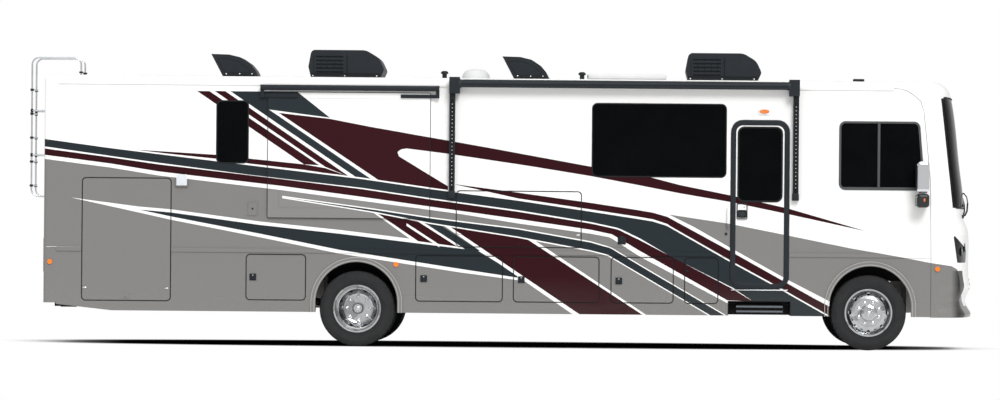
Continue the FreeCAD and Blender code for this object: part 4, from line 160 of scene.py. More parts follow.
class Graph:
    """The node tree of one material."""

    def __init__(self, name: str) -> None:
        """Start an empty material.

        Args:
            name: the material's name.
        """
        self.material = bpy.data.materials.new(name)
        self.material.use_nodes = True
        self.tree = self.material.node_tree
        self.tree.nodes.clear()

    def make(self, kind: str, settings: Optional[dict] = None, inputs: Optional[dict] = None,
             output: Union[int, str] = 0) -> Socket:
        """Add a node, set it up, and feed its sockets.

        Args:
            kind: the node's type.
            settings: its settings, with "stops" for a ramp and "points" for a curve.
            inputs: values or links by socket name or index.
            output: which output to return.

        Returns:
            That output.
        """
        node = self.tree.nodes.new(kind)
        for key, value in (settings or {}).items():
            if key == "stops":
                for index, (place, colour) in enumerate(value):
                    stops = node.color_ramp.elements
                    stop = stops[index] if index < 2 else stops.new(place)
                    stop.position, stop.color = place, (*colour, 1.0)
            elif key == "points":
                self._set_curve(node, value)
            else:
                setattr(node, key, value)
        for key, value in (inputs or {}).items():
            self.feed(node.inputs[key], value)
        return Socket(self, node.outputs[output])

    @staticmethod
    def _set_curve(node: bpy.types.Node, points: Outline) -> None:
        """Give a Float Curve node straight runs between points.

        Args:
            node: the node.
            points: its points, from 0 to 1 along.
        """
        curve = node.mapping.curves[0]
        node.mapping.use_clip = False
        for place, level in points[1:-1]:
            curve.points.new(place, level)
        ends = list(curve.points)
        ends[0].location, ends[-1].location = points[0], points[-1]
        for spot in curve.points:
            spot.handle_type = "VECTOR"
        node.mapping.update()

    def feed(self, socket: bpy.types.NodeSocket, value: Value) -> None:
        """Link or set one input.

        Args:
            socket: the input.
            value: what goes there.
        """
        if isinstance(value, Socket):
            self.tree.links.new(value.link, socket)
        elif isinstance(value, (tuple, list)):
            socket.default_value = (*value, 1.0) if len(socket.default_value) == 4 else value
        else:
            socket.default_value = value

    def place(self) -> tuple[Socket, Socket, Socket]:
        """Return the three object coordinates, in metres."""
        spot = self.make("ShaderNodeTexCoord", output="Object")
        node = self.tree.nodes.new("ShaderNodeSeparateXYZ")
        self.tree.links.new(spot.link, node.inputs[0])
        return Socket(self, node.outputs[0]), Socket(self, node.outputs[1]), Socket(self, node.outputs[2])

    def noise(self, scale: float, detail: float = 3.0, stretch: Colour = (1.0, 1.0, 1.0)) -> Socket:
        """Return a noise from 0 to 1.

        Args:
            scale: its cells in a metre.
            detail: its finer octaves.
            stretch: a scale for each axis.

        Returns:
            The noise's value.
        """
        spot = self.make("ShaderNodeTexCoord", output="Object")
        moved = self.make("ShaderNodeVectorMath", {"operation": "MULTIPLY"}, {0: spot, 1: stretch})
        return self.make("ShaderNodeTexNoise", {"noise_dimensions": "3D"},
                         {"Vector": moved, "Scale": scale, "Detail": detail, "Roughness": 0.55})

    def mix(self, mask: Value, low: Value, high: Value) -> Socket:
        """Blend two colours.

        Args:
            mask: 0 for the first, 1 for the second.
            low: the first colour.
            high: the second colour.

        Returns:
            The blended colour.
        """
        node = self.tree.nodes.new("ShaderNodeMix")
        node.data_type = "RGBA"
        for index, value in ((0, mask), (6, low), (7, high)):
            self.feed(node.inputs[index], value)
        return Socket(self, node.outputs[2])

    def finish(self, base: Value, rough: Value, metal: Value = 0.0, bump: Optional[Socket] = None,
               depth: float = 0.001, **fixed: float) -> bpy.types.Material:
        """Close the material with one Principled shader.

        Args:
            base: its colour.
            rough: its roughness.
            metal: its metallic share.
            bump: a height that varies over the surface.
            depth: the height's real depth, in metres.
            fixed: other sockets, by name with _ for a space, the same all over.

        Returns:
            The material.
        """
        inputs = {"Base Color": base, "Roughness": rough, "Metallic": metal}
        inputs.update({key.replace("_", " "): value for key, value in fixed.items()})
        if bump is not None:
            inputs["Normal"] = self.make("ShaderNodeBump", {},
                                         {"Height": bump, "Distance": depth, "Strength": 1.0})
        shader = self.make("ShaderNodeBsdfPrincipled", {}, inputs)
        self.make_output(shader)
        return self.material

    def make_output(self, shader: Socket) -> None:
        """Join a shader to the material's output."""
        node = self.tree.nodes.new("ShaderNodeOutputMaterial")
        self.tree.links.new(shader.link, node.inputs["Surface"])


class Paint(Enum):
    """The shell's paints, as linear colours."""

    WHITE = (0.83, 0.83, 0.82)
    GREY = (0.214, 0.210, 0.203)
    MAROON = (0.030, 0.0034, 0.0062)
    SLATE = (0.0195, 0.0265, 0.0315)
    LINER = (0.52, 0.51, 0.49)


@dataclass(frozen=True)
class PhotoScale:
    """How a pixel of the photograph's 1000 by 400 frame lies on the right wall."""

    rear_wall: float = 43.4
    ground: float = 347.8
    metres: float = 0.0125
    rake: float = 0.0085
    middle: float = 500.0
    rear_station: float = -5.7435

    def along(self, pixel: float) -> float:
        """Return x in metres for a pixel column."""
        return (pixel - self.rear_wall) * self.metres + self.rear_station

    def height(self, column: float, row: float) -> float:
        """Return z in metres for a pixel, with the vehicle set level."""
        return (self.ground - (row - self.rake * (column - self.middle))) * self.metres


SCALE = PhotoScale()
Line = tuple[tuple[float, float], ...]


@dataclass(frozen=True)
class Band:
    """One painted band between an upper and a lower edge, in the photograph's pixels."""

    paint: Paint
    upper: Line
    lower: Line
    edge: float = 0.0

    def edges(self) -> tuple[float, float]:
        """Return the first and last pixel columns."""
        return self.upper[0][0], self.upper[-1][0]

    def raised(self, line: Line, by: float) -> Line:
        """Return an edge moved by some pixels up or down."""
        return tuple((column, row + by) for column, row in line)


def stripe(start: tuple[float, float], end: tuple[float, float], width: float) -> Band:
    """Make a straight white line.

    Args:
        start: its first pixel.
        end: its last pixel.
        width: its height in pixels.

    Returns:
        The band.
    """
    half = width / 2
    low = tuple((column, row + half) for column, row in (start, end))
    high = tuple((column, row - half) for column, row in (start, end))
    return Band(Paint.WHITE, high, low)


UNDER = 330.0
SWEEP_TOP: Line = ((43.4, 138.9), (110, 148.2), (158, 154.2), (250, 165.5), (362, 179.2), (430, 189.2),
                   (518, 200.8),
                   (591, 211.8), (640, 219.4), (653, 221.6), (667, 226), (729.7, 261.7), (770.6, 283.8),
                   (828, 316.3))
SWEEP_LOW: Line = ((43.4, 146.4), (110, 156), (158, 162.8), (250, 175), (362, 188), (430, 198.2),
                   (518, 210.3),
                   (591, 222.2), (618, 228), (640, 238.5), (671.5, 257), (733.7, 288.2), (753.2, 301.2),
                   (753.4, UNDER),
                   (828, UNDER))
PINSTRIPE_TOP: Line = ((43.4, 148.4), (110, 157.4), (158, 164.4), (280, 179), (362, 189.2), (430, 199.5),
                       (518, 211.8), (591, 223.6), (618, 229.6), (640, 240.3), (731, 287.8), (753, 301.2))
PINSTRIPE_LOW: Line = ((43.4, 154.8), (110, 163.6), (158, 171.5), (280, 185.9), (362, 197), (430, 206.7),
                       (518, 219.1), (591, 229.9), (612, 234.4), (640, 251), (728, 300.5), (753, 301.4))
WAIST: Line = ((43.4, 158.8), (110, 167.6), (158, 175.5), (280, 190), (460, 214), (518, 223.5), (591, 233.8),
               (610, 237.4), (640, 256.6), (728, 303.2), (753, 316))
FRONT_GREY: Line = ((668.8, 214.6), (730, 223.9), (788, 235.6), (850, 248.3), (900, 257), (930.5, 263),
                    (952, 266.2),
                    (958.5, 269.5), (961, 278), (962, 291), (967, 306.7), (990, 308))


def under(line: Line) -> Line:
    """Return a level line far below a given one."""
    return ((line[0][0], UNDER), (line[-1][0], UNDER))


BANDS = (
    Band(Paint.GREY, WAIST, under(WAIST)),
    Band(Paint.GREY, FRONT_GREY, under(FRONT_GREY)),
    Band(Paint.WHITE, ((71.1, 197.6), (138.6, 206.6), (171, 209.4), (260, 221.6), (340, 230), (460, 245),
                       (481, 247.5),
                       (523.9, 276)),
         ((71.1, 197.6), (138.6, 212.5), (171, 219.8), (260, 237.3), (340, 253.7), (460, 272.4),
          (523.9, 281))),
    Band(Paint.SLATE, ((138.6, 209.6), (171, 212.5), (260, 225), (340, 233.8), (460, 248.6), (478, 250.6),
                       (518, 275)),
         ((138.6, 209.6), (171, 216.6), (260, 233.8), (340, 250), (460, 268.9), (518, 277.8))),
    Band(Paint.WHITE, ((371, 211), (417, 218.5), (461, 246.5)), ((371, 211), (415, 242.5), (461, 247.5))),
    Band(Paint.MAROON, ((376, 212.6), (417, 221), (457, 246.4)),
         ((376, 212.6), (418.5, 241.4), (457, 246.6))),
    stripe((406.5, 224.6), (439.5, 246), 2.6),
    Band(Paint.SLATE, ((423.8, 222), (440.6, 225.2), (480, 250.6)),
         ((423.8, 222), (465.9, 249.8), (480, 251))),
    Band(Paint.WHITE, ((441, 223.7), (530, 237.4), (650, 317)), ((441, 223.7), (575, 315.5), (650, UNDER))),
    Band(Paint.MAROON, ((448.3, 225.7), (526.8, 238.9), (643.4, 315)),
         ((448.3, 225.7), (581.1, 315), (643.4, UNDER))),
    Band(Paint.SLATE, ((282.1, 197.1), (375, 210), (430, 218.4), (518, 229.4), (591, 242.6), (611, 248.4),
                       (640, 265.7),
                       (726, 316)),
         ((282.1, 197.1), (375, 212), (430, 222.8), (518, 236.7), (591, 250.4), (607.5, 254.6), (640, 273.7),
          (712, 316), (726, UNDER)), edge=1.2),
    Band(Paint.WHITE, ((668.8, 214.6), (693.6, 226.9), (730, 247.6), (789, 280.4), (829.5, 301.2),
                       (840, 307)),
         ((668.8, 218), (693.6, 232.2), (730, 251.4), (789, 285.1), (829.5, 306.2), (840, 312))),
    Band(Paint.WHITE, PINSTRIPE_TOP, ((43.4, 158.8), (110, 167.6), (158, 175.5), (280, 190), (460, 214),
                                      (518, 223.5),
                                      (591, 233.8), (610, 237.4), (640, 256.6), (728, 303.2), (753, 303.4))),
    Band(Paint.MAROON, ((129.6, 149.4), (215, 154.8), (250, 158.8), (303.4, 164.4), (325, 168.2),
                        (348.9, 176.6)),
         ((129.6, 149.8), (215, 158.8), (250, 163.8), (303.4, 170), (348.9, 176.8))),
    Band(Paint.MAROON, ((454.5, 184.3), (518, 192.7), (591, 203), (640, 210.5), (653, 212.8),
                        (667, 216.8), (730, 251),
                        (829, 306.6), (840, 312.8)),
         ((454.5, 184.5), (518, 198.6), (591, 209.6), (640, 217.2), (653, 219.4), (667, 224),
          (730, 259.8), (829, 315),
          (840, 321))),
    Band(Paint.MAROON, ((195.8, 91), (208.3, 91.2), (318.6, 165.2)),
         ((195.8, 91), (303.4, 164.4), (318.6, 165.4))),
    Band(Paint.MAROON, ((213.4, 91), (224.2, 91.2), (348.9, 176.6)),
         ((213.4, 91), (325, 167.1), (348.9, 176.8))),
    Band(Paint.SLATE, ((229.3, 91.3), (296.2, 91.8), (328.9, 117.6)),
         ((229.3, 91.3), (250, 104.6), (268.3, 109.7),
                                                                      (328.9, 117.8))),
    Band(Paint.SLATE, ((229.3, 91.3), (250, 98), (268.3, 109.7), (371.2, 179.5)),
         ((229.3, 91.3), (356, 177.5),
                                                                                (371.2, 179.6))),
    Band(Paint.MAROON, ((277.9, 113), (328.9, 118.9), (369.6, 126.9), (397, 131.7)),
         ((277.9, 113), (378.3, 180.3),
                                                                                  (397, 183.4))),
    Band(Paint.MAROON, ((397, 131.7), (419, 135.7), (448.5, 140.8), (500, 150), (525.7, 154.8), (591, 166.8),
                        (650, 177.4), (680, 185.2), (731, 195.6), (788, 208.6), (863.4, 230.5)),
         ((397, 152.4), (400, 149.6), (406, 148.6), (448.5, 154), (525.7, 165.6), (591, 176.3), (640, 185.6),
          (680, 193.5), (730, 202.1), (788, 214.3), (863.4, 230.8))),
    Band(Paint.MAROON, ((397, 152.4), (398.5, 156.4), (447.7, 186.4)),
         ((397, 183.4), (447, 190), (447.7, 190))),
    Band(Paint.SLATE, SWEEP_TOP, SWEEP_LOW, edge=1.5),
    Band(Paint.MAROON, PINSTRIPE_TOP, PINSTRIPE_LOW),
)


@dataclass(frozen=True)
class ShellPaint:
    """Gloss paint of the shell: white over grey, with swept bands of maroon and slate."""

    bands: tuple[Band, ...] = BANDS
    tallest: float = 4.0
    dust_height: float = 0.9
    lining: float = 1.2385
    roughness: float = 0.2

    def edge_height(self, graph: Graph, along: Socket, line: Line) -> Socket:
        """Return an edge's height over its stretch.

        Args:
            graph: the material.
            along: the way along the band, from 0 to 1.
            line: the edge.

        Returns:
            The height as a share of the tallest.
        """
        first, last = line[0][0], line[-1][0]
        points = [((column - first) / (last - first),
                   SCALE.height(column, row) / self.tallest) for column, row in line]
        return graph.make("ShaderNodeFloatCurve", {"points": points}, {"Factor": 1.0, "Value": along})

    def mask(self, graph: Graph, x: Socket, level: Socket, band: Band, by: float) -> Socket:
        """Return 1 inside a band.

        Args:
            graph: the material.
            x: the place along the vehicle.
            level: the height as a share of the tallest.
            band: the band.
            by: how far its edges are moved out, in pixels.

        Returns:
            The mask.
        """
        first, last = band.edges()
        start, end = SCALE.along(first), SCALE.along(last)
        along = (x - start) * (1 / (end - start))
        top = self.edge_height(graph, along, band.raised(band.upper, -by))
        low = self.edge_height(graph, along, band.raised(band.lower, by))
        return (level < top) & (level > low) & (along > 0.0) & (along < 1.0)

    def colour(self, graph: Graph) -> Socket:
        """Return the livery's colour at each point."""
        x, _, z = graph.place()
        level = z * (1 / self.tallest)
        shade: Value = Paint.WHITE.value
        for band in self.bands:
            if band.edge:
                shade = graph.mix(self.mask(graph, x, level, band, band.edge), shade, Paint.WHITE.value)
            shade = graph.mix(self.mask(graph, x, level, band, 0.0), shade, band.paint.value)
        return shade

    def nose(self, graph: Graph, shade: Socket) -> Socket:
        """Add the black border of the windshield, and painted shade that darkens the lower nose's corners
        towards the front, where they curve away.

        Args:
            graph: the material.
            shade: the livery's colour.

        Returns:
            The colour.
        """
        x, y, z = graph.place()
        top, foot = SCALE.height(940, 98), SCALE.height(953, 208)
        first, last = SCALE.along(953.4), SCALE.along(940.8)
        border = (z < top) & (z > foot) & (x > (z - foot) * ((last - first) / (top - foot)) + first)
        shade = graph.mix(border, shade, (0.008, 0.008, 0.009))
        # painted shade: the lower nose's outer corners turn darker towards the front, where they curve away
        ramp = graph.make("ShaderNodeMapRange", {"clamp": True}, {"Value": x, "From Min": SCALE.along(952),
                                                                 "From Max": SCALE.along(960)})
        lower = (z < SCALE.height(955, 271)) & (abs(y) > 1.0)
        return graph.mix(ramp * lower * 0.9, shade, (0.006, 0.006, 0.007))

    def material(self, name: str, lined: bool) -> bpy.types.Material:
        """Make the paint.

        Args:
            name: the material's name.
            lined: whether what lies inside the wall's face is bare liner.

        Returns:
            The material.
        """
        graph = Graph(name)
        shade = self.colour(graph)
        _, y, z = graph.place()
        dark = graph.make("ShaderNodeRGBToBW", {}, {"Color": shade}) < 0.5
        haze = graph.noise(2.2, 4.0, (0.5, 1.0, 1.6))
        if lined:
            shade = graph.mix(abs(y) < self.lining, shade, Paint.LINER.value)
        else:
            # the caps get the windshield's black border and the painted shade at the nose's corners
            shade = self.nose(graph, shade)
        dust = graph.make("ShaderNodeMapRange", {"clamp": True}, {"Value": z, "From Min": self.dust_height,
                                                                 "From Max": 0.4, "To Min": 0.0,
                                                                 "To Max": 0.12})
        shade = graph.mix(dust * haze, shade, (0.30, 0.28, 0.25))
        rough = self.roughness + haze * 0.05 + dust * 0.7
        return graph.finish(shade, rough, dark * 0.25, graph.noise(5.0, 1.0), 0.0004, Coat_Weight=0.1,
                            Coat_Roughness=0.06, Specular_IOR_Level=0.1)


@dataclass(frozen=True)
class Plain:
    """A moulded or painted finish of one colour with fine texture."""

    name: str
    colour: Colour
    roughness: float
    metal: float = 0.0
    grain: float = 900.0
    depth: float = 0.00006
    coat: float = 0.0
    shine: float = 0.14

    def material(self) -> bpy.types.Material:
        """Make the finish: slight colour drift, fine bump, uneven gloss."""
        graph = Graph(self.name)
        drift = graph.noise(6.0, 4.0)
        grain = graph.noise(self.grain, 2.0)
        shade = graph.mix(drift, tuple(part * 0.82 for part in self.colour),
                          tuple(min(part * 1.14, 0.9) for part in self.colour))
        return graph.finish(shade, self.roughness + drift * 0.08, self.metal, grain, self.depth,
                            Coat_Weight=self.coat,
                            Specular_IOR_Level=self.shine)


def about_axle(graph: Graph, centre_x: float, height: float) -> Socket:
    """Return the distance from an axle that runs across the vehicle.

    Args:
        graph: the material.
        centre_x: the axle's place along the vehicle.
        height: its height.

    Returns:
        The distance.
    """
    x, _, z = graph.place()
    away, up = x - centre_x, z - height
    return (away * away + up * up).power(0.5)


@dataclass(frozen=True)
class Tyre:
    """Tyre rubber, with rings moulded in the side walls and dust on the tread."""

    centre_x: float
    name: str = "tyre_rubber"
    axle: float = AXLE_HEIGHT

    def material(self) -> bpy.types.Material:
        """Make the rubber about one axle."""
        graph = Graph(self.name)
        radius = about_axle(graph, self.centre_x, self.axle)
        rings = radius.wave(0.011)
        side = (radius < 0.452) & (radius > 0.325)
        dust = graph.noise(9.0, 5.0)
        shade = graph.mix(dust, (0.018, 0.019, 0.021), (0.036, 0.036, 0.036))
        shade = graph.mix((radius < 0.345) * 0.4, shade, (0.02, 0.02, 0.021))
        return graph.finish(shade, 0.74 + dust * 0.16, 0.0,
                            rings * side * 0.4 + graph.noise(260.0, 2.0) * 0.3, 0.0009,
                            Specular_IOR_Level=0.12)


@dataclass(frozen=True)
class PolishedAlloy:
    """Machine polished aluminium, turned about one axle."""

    centre_x: float
    name: str = "wheel_alloy"
    axle: float = AXLE_HEIGHT

    def material(self) -> bpy.types.Material:
        """Make the metal with faint turning marks."""
        graph = Graph(self.name)
        radius = about_axle(graph, self.centre_x, self.axle)
        marks = radius.wave(0.0021) * 0.5 + graph.noise(320.0, 2.0)
        film = graph.noise(11.0, 5.0)
        bands = graph.noise(3.4, 2.0)
        shade = graph.mix(film, (0.40, 0.41, 0.42), (0.66, 0.67, 0.68))
        shade = graph.mix((bands > 0.56) * 0.5, shade, (0.16, 0.165, 0.17))
        return graph.finish(shade, 0.13 + film * 0.12, 1.0, marks, 0.00003)


@dataclass(frozen=True)
class TintedGlass:
    """Dark tinted glass."""

    name: str = "glass_dark"
    share_clear: float = 0.06

    def material(self) -> bpy.types.Material:
        """Make the glass: a gloss sheet that lets a little of the inside show."""
        graph = Graph(self.name)
        smear = graph.noise(3.0, 4.0)
        shade = graph.mix(smear, (0.0015, 0.0017, 0.002), (0.004, 0.0045, 0.005))
        return graph.finish(shade, 0.03 + smear * 0.03, 0.0, None, Alpha=1 - self.share_clear,
                            Specular_IOR_Level=0.02)


@dataclass(frozen=True)
class Lens:
    """A coloured lamp lens with moulded prisms."""

    name: str
    colour: Colour
    prism: float = 0.012

    def material(self) -> bpy.types.Material:
        """Make the lens with a grid of small prisms."""
        graph = Graph(self.name)
        x, y, z = graph.place()
        grid = (x + y).wave(self.prism) + z.wave(self.prism)
        glow = graph.noise(60.0, 2.0)
        shade = graph.mix(glow, tuple(part * 0.7 for part in self.colour), self.colour)
        return graph.finish(shade, 0.12 + glow * 0.06, 0.0, grid, 0.0006, Coat_Weight=0.7)


@dataclass(frozen=True)
class Woven:
    """Woven seat cloth that follows the piece's own place."""

    name: str
    colour: Colour
    thread: float = 0.0032

    def material(self) -> bpy.types.Material:
        """Make the cloth with crossed threads."""
        graph = Graph(self.name)
        x, y, z = graph.place()
        weave = (x + z).wave(self.thread) + y.wave(self.thread)
        worn = graph.noise(14.0, 4.0)
        shade = graph.mix(worn, tuple(part * 0.75 for part in self.colour), self.colour)
        return graph.finish(shade, 0.82 + worn * 0.1, 0.0, weave, 0.0008, Sheen_Weight=0.3)


@dataclass(frozen=True)
class Boards:
    """Sealed floor boards laid along the vehicle."""

    name: str = "floor_wood"
    width: float = 0.12

    def material(self) -> bpy.types.Material:
        """Make the boards: long grain and dark joints."""
        graph = Graph(self.name)
        _, y, _ = graph.place()
        joint = abs(y.wave(self.width * 2)) < 0.05
        grain = graph.noise(30.0, 5.0, (0.06, 1.0, 1.0))
        shade = graph.mix(grain, (0.12, 0.075, 0.045), (0.30, 0.20, 0.13))
        shade = graph.mix(joint, shade, (0.02, 0.015, 0.01))
        return graph.finish(shade, 0.45 + grain * 0.2, 0.0, 1.0 - joint, 0.001)


class Finishes:
    """Every finish of the vehicle, made once."""

    def __init__(self) -> None:
        """Make the materials."""
        self.paint = ShellPaint().material("shell_paint", lined=True)
        self.cap_paint = ShellPaint().material("cap_paint", lined=False)
        self.black = Plain("trim_black", (0.018, 0.022, 0.026), roughness=0.38).material()
        self.gasket = Plain("gasket_rubber", (0.012, 0.013, 0.014), roughness=0.6).material()
        self.smoke = Plain("lid_smoke", (0.024, 0.030, 0.035), roughness=0.24, coat=0.12).material()
        self.white = Plain("fitting_white", (0.78, 0.78, 0.77), roughness=0.34).material()
        self.steel = Plain("frame_black", (0.022, 0.022, 0.024), roughness=0.55, metal=0.2, grain=500.0,
                           depth=0.0002).material()
        self.iron = Plain("cast_black", (0.03, 0.03, 0.03), roughness=0.7, metal=0.3, grain=240.0,
                          depth=0.0005).material()
        self.bright = Plain("bright_chrome", (0.84, 0.85, 0.86), roughness=0.06, metal=1.0, grain=60.0,
                            depth=0.00002).material()
        self.satin = Plain("satin_aluminium", (0.70, 0.71, 0.72), roughness=0.3, metal=1.0, grain=700.0,
                           depth=0.00003).material()
        self.tube = Plain("ladder_tube", (0.66, 0.68, 0.70), roughness=0.22, metal=1.0, grain=400.0,
                          depth=0.00003).material()
        self.rubber = Plain("spring_rubber", (0.02, 0.02, 0.02), roughness=0.75, metal=0.0, grain=300.0,
                            depth=0.0002).material()
        self.liner = Plain("bay_liner", (0.10, 0.10, 0.10), roughness=0.8, metal=0.0, grain=160.0,
                           depth=0.0006).material()
        self.dash = Plain("dash_grain", (0.045, 0.043, 0.042), roughness=0.6, metal=0.0, grain=500.0,
                          depth=0.0002).material()
        self.glass = TintedGlass().material()
        self.amber = Lens("lens_amber", (0.86, 0.21, 0.015)).material()
        self.clear = Lens("lens_clear", (0.30, 0.32, 0.34), prism=0.03).material()
        self.cloth = Woven("seat_cloth", (0.16, 0.145, 0.13)).material()
        self.boards = Boards().material()


class Workshop:
    """Modelling steps shared by every piece."""

    @staticmethod
    def clear() -> None:
        """Leave edit mode and deselect everything."""
        if bpy.context.object is not None and bpy.context.object.mode != "OBJECT":
            bpy.ops.object.mode_set(mode="OBJECT")
        bpy.ops.object.select_all(action="DESELECT")

    @staticmethod
    def select(thing: bpy.types.Object) -> None:
        """Select one object alone and make it active."""
        Workshop.clear()
        thing.select_set(True)
        bpy.context.view_layer.objects.active = thing

    @staticmethod
    def settle(thing: bpy.types.Object, name: str) -> bpy.types.Object:
        """Name a piece and put its place into its mesh.

        Args:
            thing: the piece.
            name: its name.

        Returns:
            The piece.
        """
        Workshop.select(thing)
        bpy.ops.object.transform_apply(location=True, rotation=True, scale=True)
        thing.name = name
        thing.data.name = name
        return thing

    @staticmethod
    def modify(thing: bpy.types.Object, kind: str, **settings: object) -> None:
        """Add a modifier and apply it.

        Args:
            thing: the piece.
            kind: the modifier's type.
            settings: its settings.
        """
        Workshop.select(thing)
        modifier = thing.modifiers.new(kind.title(), kind)
        for key, value in settings.items():
            setattr(modifier, key, value)
        bpy.ops.object.modifier_apply(modifier=modifier.name)

    @staticmethod
    def soften(thing: bpy.types.Object, width: float, segments: int = 2, angle: float = 0.6) -> None:
        """Round a piece's edges and shade it smooth.

        Args:
            thing: the piece.
            width: the round's width in metres.
            segments: its steps.
            angle: the least turn of an edge that is rounded.
        """
        if width > 0:
            Workshop.modify(thing, "BEVEL", width=width, segments=segments, limit_method="ANGLE",
                            angle_limit=angle)
        Workshop.select(thing)
        bpy.ops.object.shade_smooth_by_angle(angle=math.radians(35))

    @staticmethod
    def box(name: str, x: Span, y: Span, z: Span, round_by: float = 0.0,
            segments: int = 2) -> bpy.types.Object:
        """Model a box with rounded edges.

        Args:
            name: its name.
            x: its span along the vehicle.
            y: its span across.
            z: its span upward.
            round_by: the width of its rounds.
            segments: the steps of a round.

        Returns:
            The piece.
        """
        Workshop.clear()
        centre = [(low + high) / 2 for low, high in (x, y, z)]
        bpy.ops.mesh.primitive_cube_add(size=1, location=centre,
                                        scale=[high - low for low, high in (x, y, z)])
        thing = Workshop.settle(bpy.context.object, name)
        Workshop.soften(thing, round_by, segments)
        return thing

    @staticmethod
    def sheet(outline: Outline, plane: str, at: float) -> bpy.types.Object:
        """Lay a flat face and select all of it in edit mode.

        Args:
            outline: its corners in the plane.
            plane: the outline's plane.
            at: its place along the third axis.

        Returns:
            The face's object.
        """
        Workshop.clear()
        bpy.ops.mesh.primitive_circle_add(vertices=len(outline), radius=1, fill_type="NGON")
        thing = bpy.context.object
        for vertex, (first, second) in zip(thing.data.vertices, outline):
            vertex.co = Workshop.spot(plane, first, second, at)
        bpy.ops.object.mode_set(mode="EDIT")
        bpy.ops.mesh.select_all(action="SELECT")
        return thing

    @staticmethod
    def thicken(thing: bpy.types.Object, name: str, by: Vector) -> None:
        """Extrude what is selected, turn the faces outward and leave edit mode.

        Args:
            thing: the piece.
            name: its name.
            by: how far and which way it is extruded.
        """
        bpy.ops.mesh.extrude_region_move(TRANSFORM_OT_translate={"value": by})
        bpy.ops.mesh.select_all(action="SELECT")
        bpy.ops.mesh.normals_make_consistent(inside=False)
        bpy.ops.object.mode_set(mode="OBJECT")
        Workshop.settle(thing, name)

    @staticmethod
    def row(thing: bpy.types.Object, count: int, step: tuple[float, float, float]) -> None:
        """Repeat a piece at even steps.

        Args:
            thing: the piece.
            count: how many there are.
            step: the way from one to the next.
        """
        Workshop.modify(thing, "ARRAY", count=count, use_relative_offset=False, use_constant_offset=True,
                        constant_offset_displace=step)

    @staticmethod
    def prism(name: str, outline: Outline, span: Span, plane: str = "XZ",
              round_by: float = 0.0, segments: int = 2) -> bpy.types.Object:
        """Extrude a flat outline.

        Args:
            name: its name.
            outline: its corners in the plane.
            span: where it starts and ends along the third axis.
            plane: the outline's plane, "XZ", "YZ" or "XY".
            round_by: the width of its rounds.
            segments: the steps of a round.

        Returns:
            The piece.
        """
        thing = Workshop.sheet(outline, plane, span[0])
        Workshop.thicken(thing, name, Workshop.spot(plane, 0.0, 0.0, span[1] - span[0]))
        Workshop.soften(thing, round_by, segments)
        return thing

    @staticmethod
    def frame(name: str, outline: Outline, width: float, span: Span, plane: str = "XZ",
              round_by: float = 0.0) -> bpy.types.Object:
        """Model a flat ring of even width inside an outline.

        Args:
            name: its name.
            outline: its outer corners in the plane.
            width: how wide the ring is.
            span: where it starts and ends along the third axis.
            plane: the outline's plane.
            round_by: the width of its rounds.

        Returns:
            The piece.
        """
        thing = Workshop.sheet(outline, plane, span[0])
        bpy.ops.mesh.inset(thickness=width, depth=0)
        bpy.ops.mesh.delete(type="FACE")
        bpy.ops.mesh.select_all(action="SELECT")
        Workshop.thicken(thing, name, Workshop.spot(plane, 0.0, 0.0, span[1] - span[0]))
        Workshop.soften(thing, round_by)
        return thing

    @staticmethod
    def spot(plane: str, first: float, second: float, third: float) -> Vector:
        """Return a point from its places in a plane and off it."""
        order = {"XZ": (first, third, second), "YZ": (third, first, second), "XY": (first, second, third)}
        return Vector(order[plane])

    @staticmethod
    def rod(name: str, start: Vector, end: Vector, radius: float, sides: int = 20,
            far_radius: Optional[float] = None, round_by: float = 0.0) -> bpy.types.Object:
        """Model a round bar or a cone between two points.

        Args:
            name: its name.
            start: the centre of its first end.
            end: the centre of its far end.
            radius: its radius.
            sides: its faces around.
            far_radius: its radius at the far end, where that differs.
            round_by: the width of its end rounds.

        Returns:
            The piece.
        """
        Workshop.clear()
        along = Vector(end) - Vector(start)
        far = radius if far_radius is None else far_radius
        bpy.ops.mesh.primitive_cone_add(vertices=sides, radius1=radius, radius2=far, depth=along.length,
                                        location=Vector(start) + along / 2,
                                        rotation=along.to_track_quat("Z", "Y").to_euler())
        thing = Workshop.settle(bpy.context.object, name)
        Workshop.soften(thing, round_by, 2, 0.9)
        return thing

    @staticmethod
    def spun(name: str, outline: Outline, centre: Vector, axis: Vector, steps: int = 64,
             closed: bool = False) -> bpy.types.Object:
        """Spin an outline of (along the axis, radius) about an axis.

        Args:
            name: its name.
            outline: its points.
            centre: a point on the axis, where the way along is 0.
            axis: the axis.
            steps: the steps of a turn.
            closed: whether the last point joins the first.

        Returns:
            The piece.
        """
        Workshop.clear()
        axis = Vector(axis).normalized()
        side = axis.orthogonal().normalized()
        bpy.ops.mesh.primitive_circle_add(vertices=len(outline), radius=1, fill_type="NOTHING")
        thing = bpy.context.object
        for vertex, (along, out) in zip(thing.data.vertices, outline):
            vertex.co = Vector(centre) + axis * along + side * out
        if not closed:
            mesh = bmesh.new()
            mesh.from_mesh(thing.data)
            mesh.edges.ensure_lookup_table()
            last = len(outline) - 1
            spare = [edge for edge in mesh.edges if {edge.verts[0].index, edge.verts[1].index} == {0, last}]
            bmesh.ops.delete(mesh, geom=spare, context="EDGES_FACES")
            mesh.to_mesh(thing.data)
            mesh.free()
        bpy.ops.object.mode_set(mode="EDIT")
        bpy.ops.mesh.select_all(action="SELECT")
        bpy.ops.mesh.spin(steps=steps, angle=2 * math.pi, center=centre, axis=axis)
        bpy.ops.mesh.select_all(action="SELECT")
        bpy.ops.mesh.remove_doubles(threshold=0.00005)
        bpy.ops.mesh.normals_make_consistent(inside=False)
        bpy.ops.object.mode_set(mode="OBJECT")
        Workshop.settle(thing, name)
        Workshop.soften(thing, 0.0)
        return thing

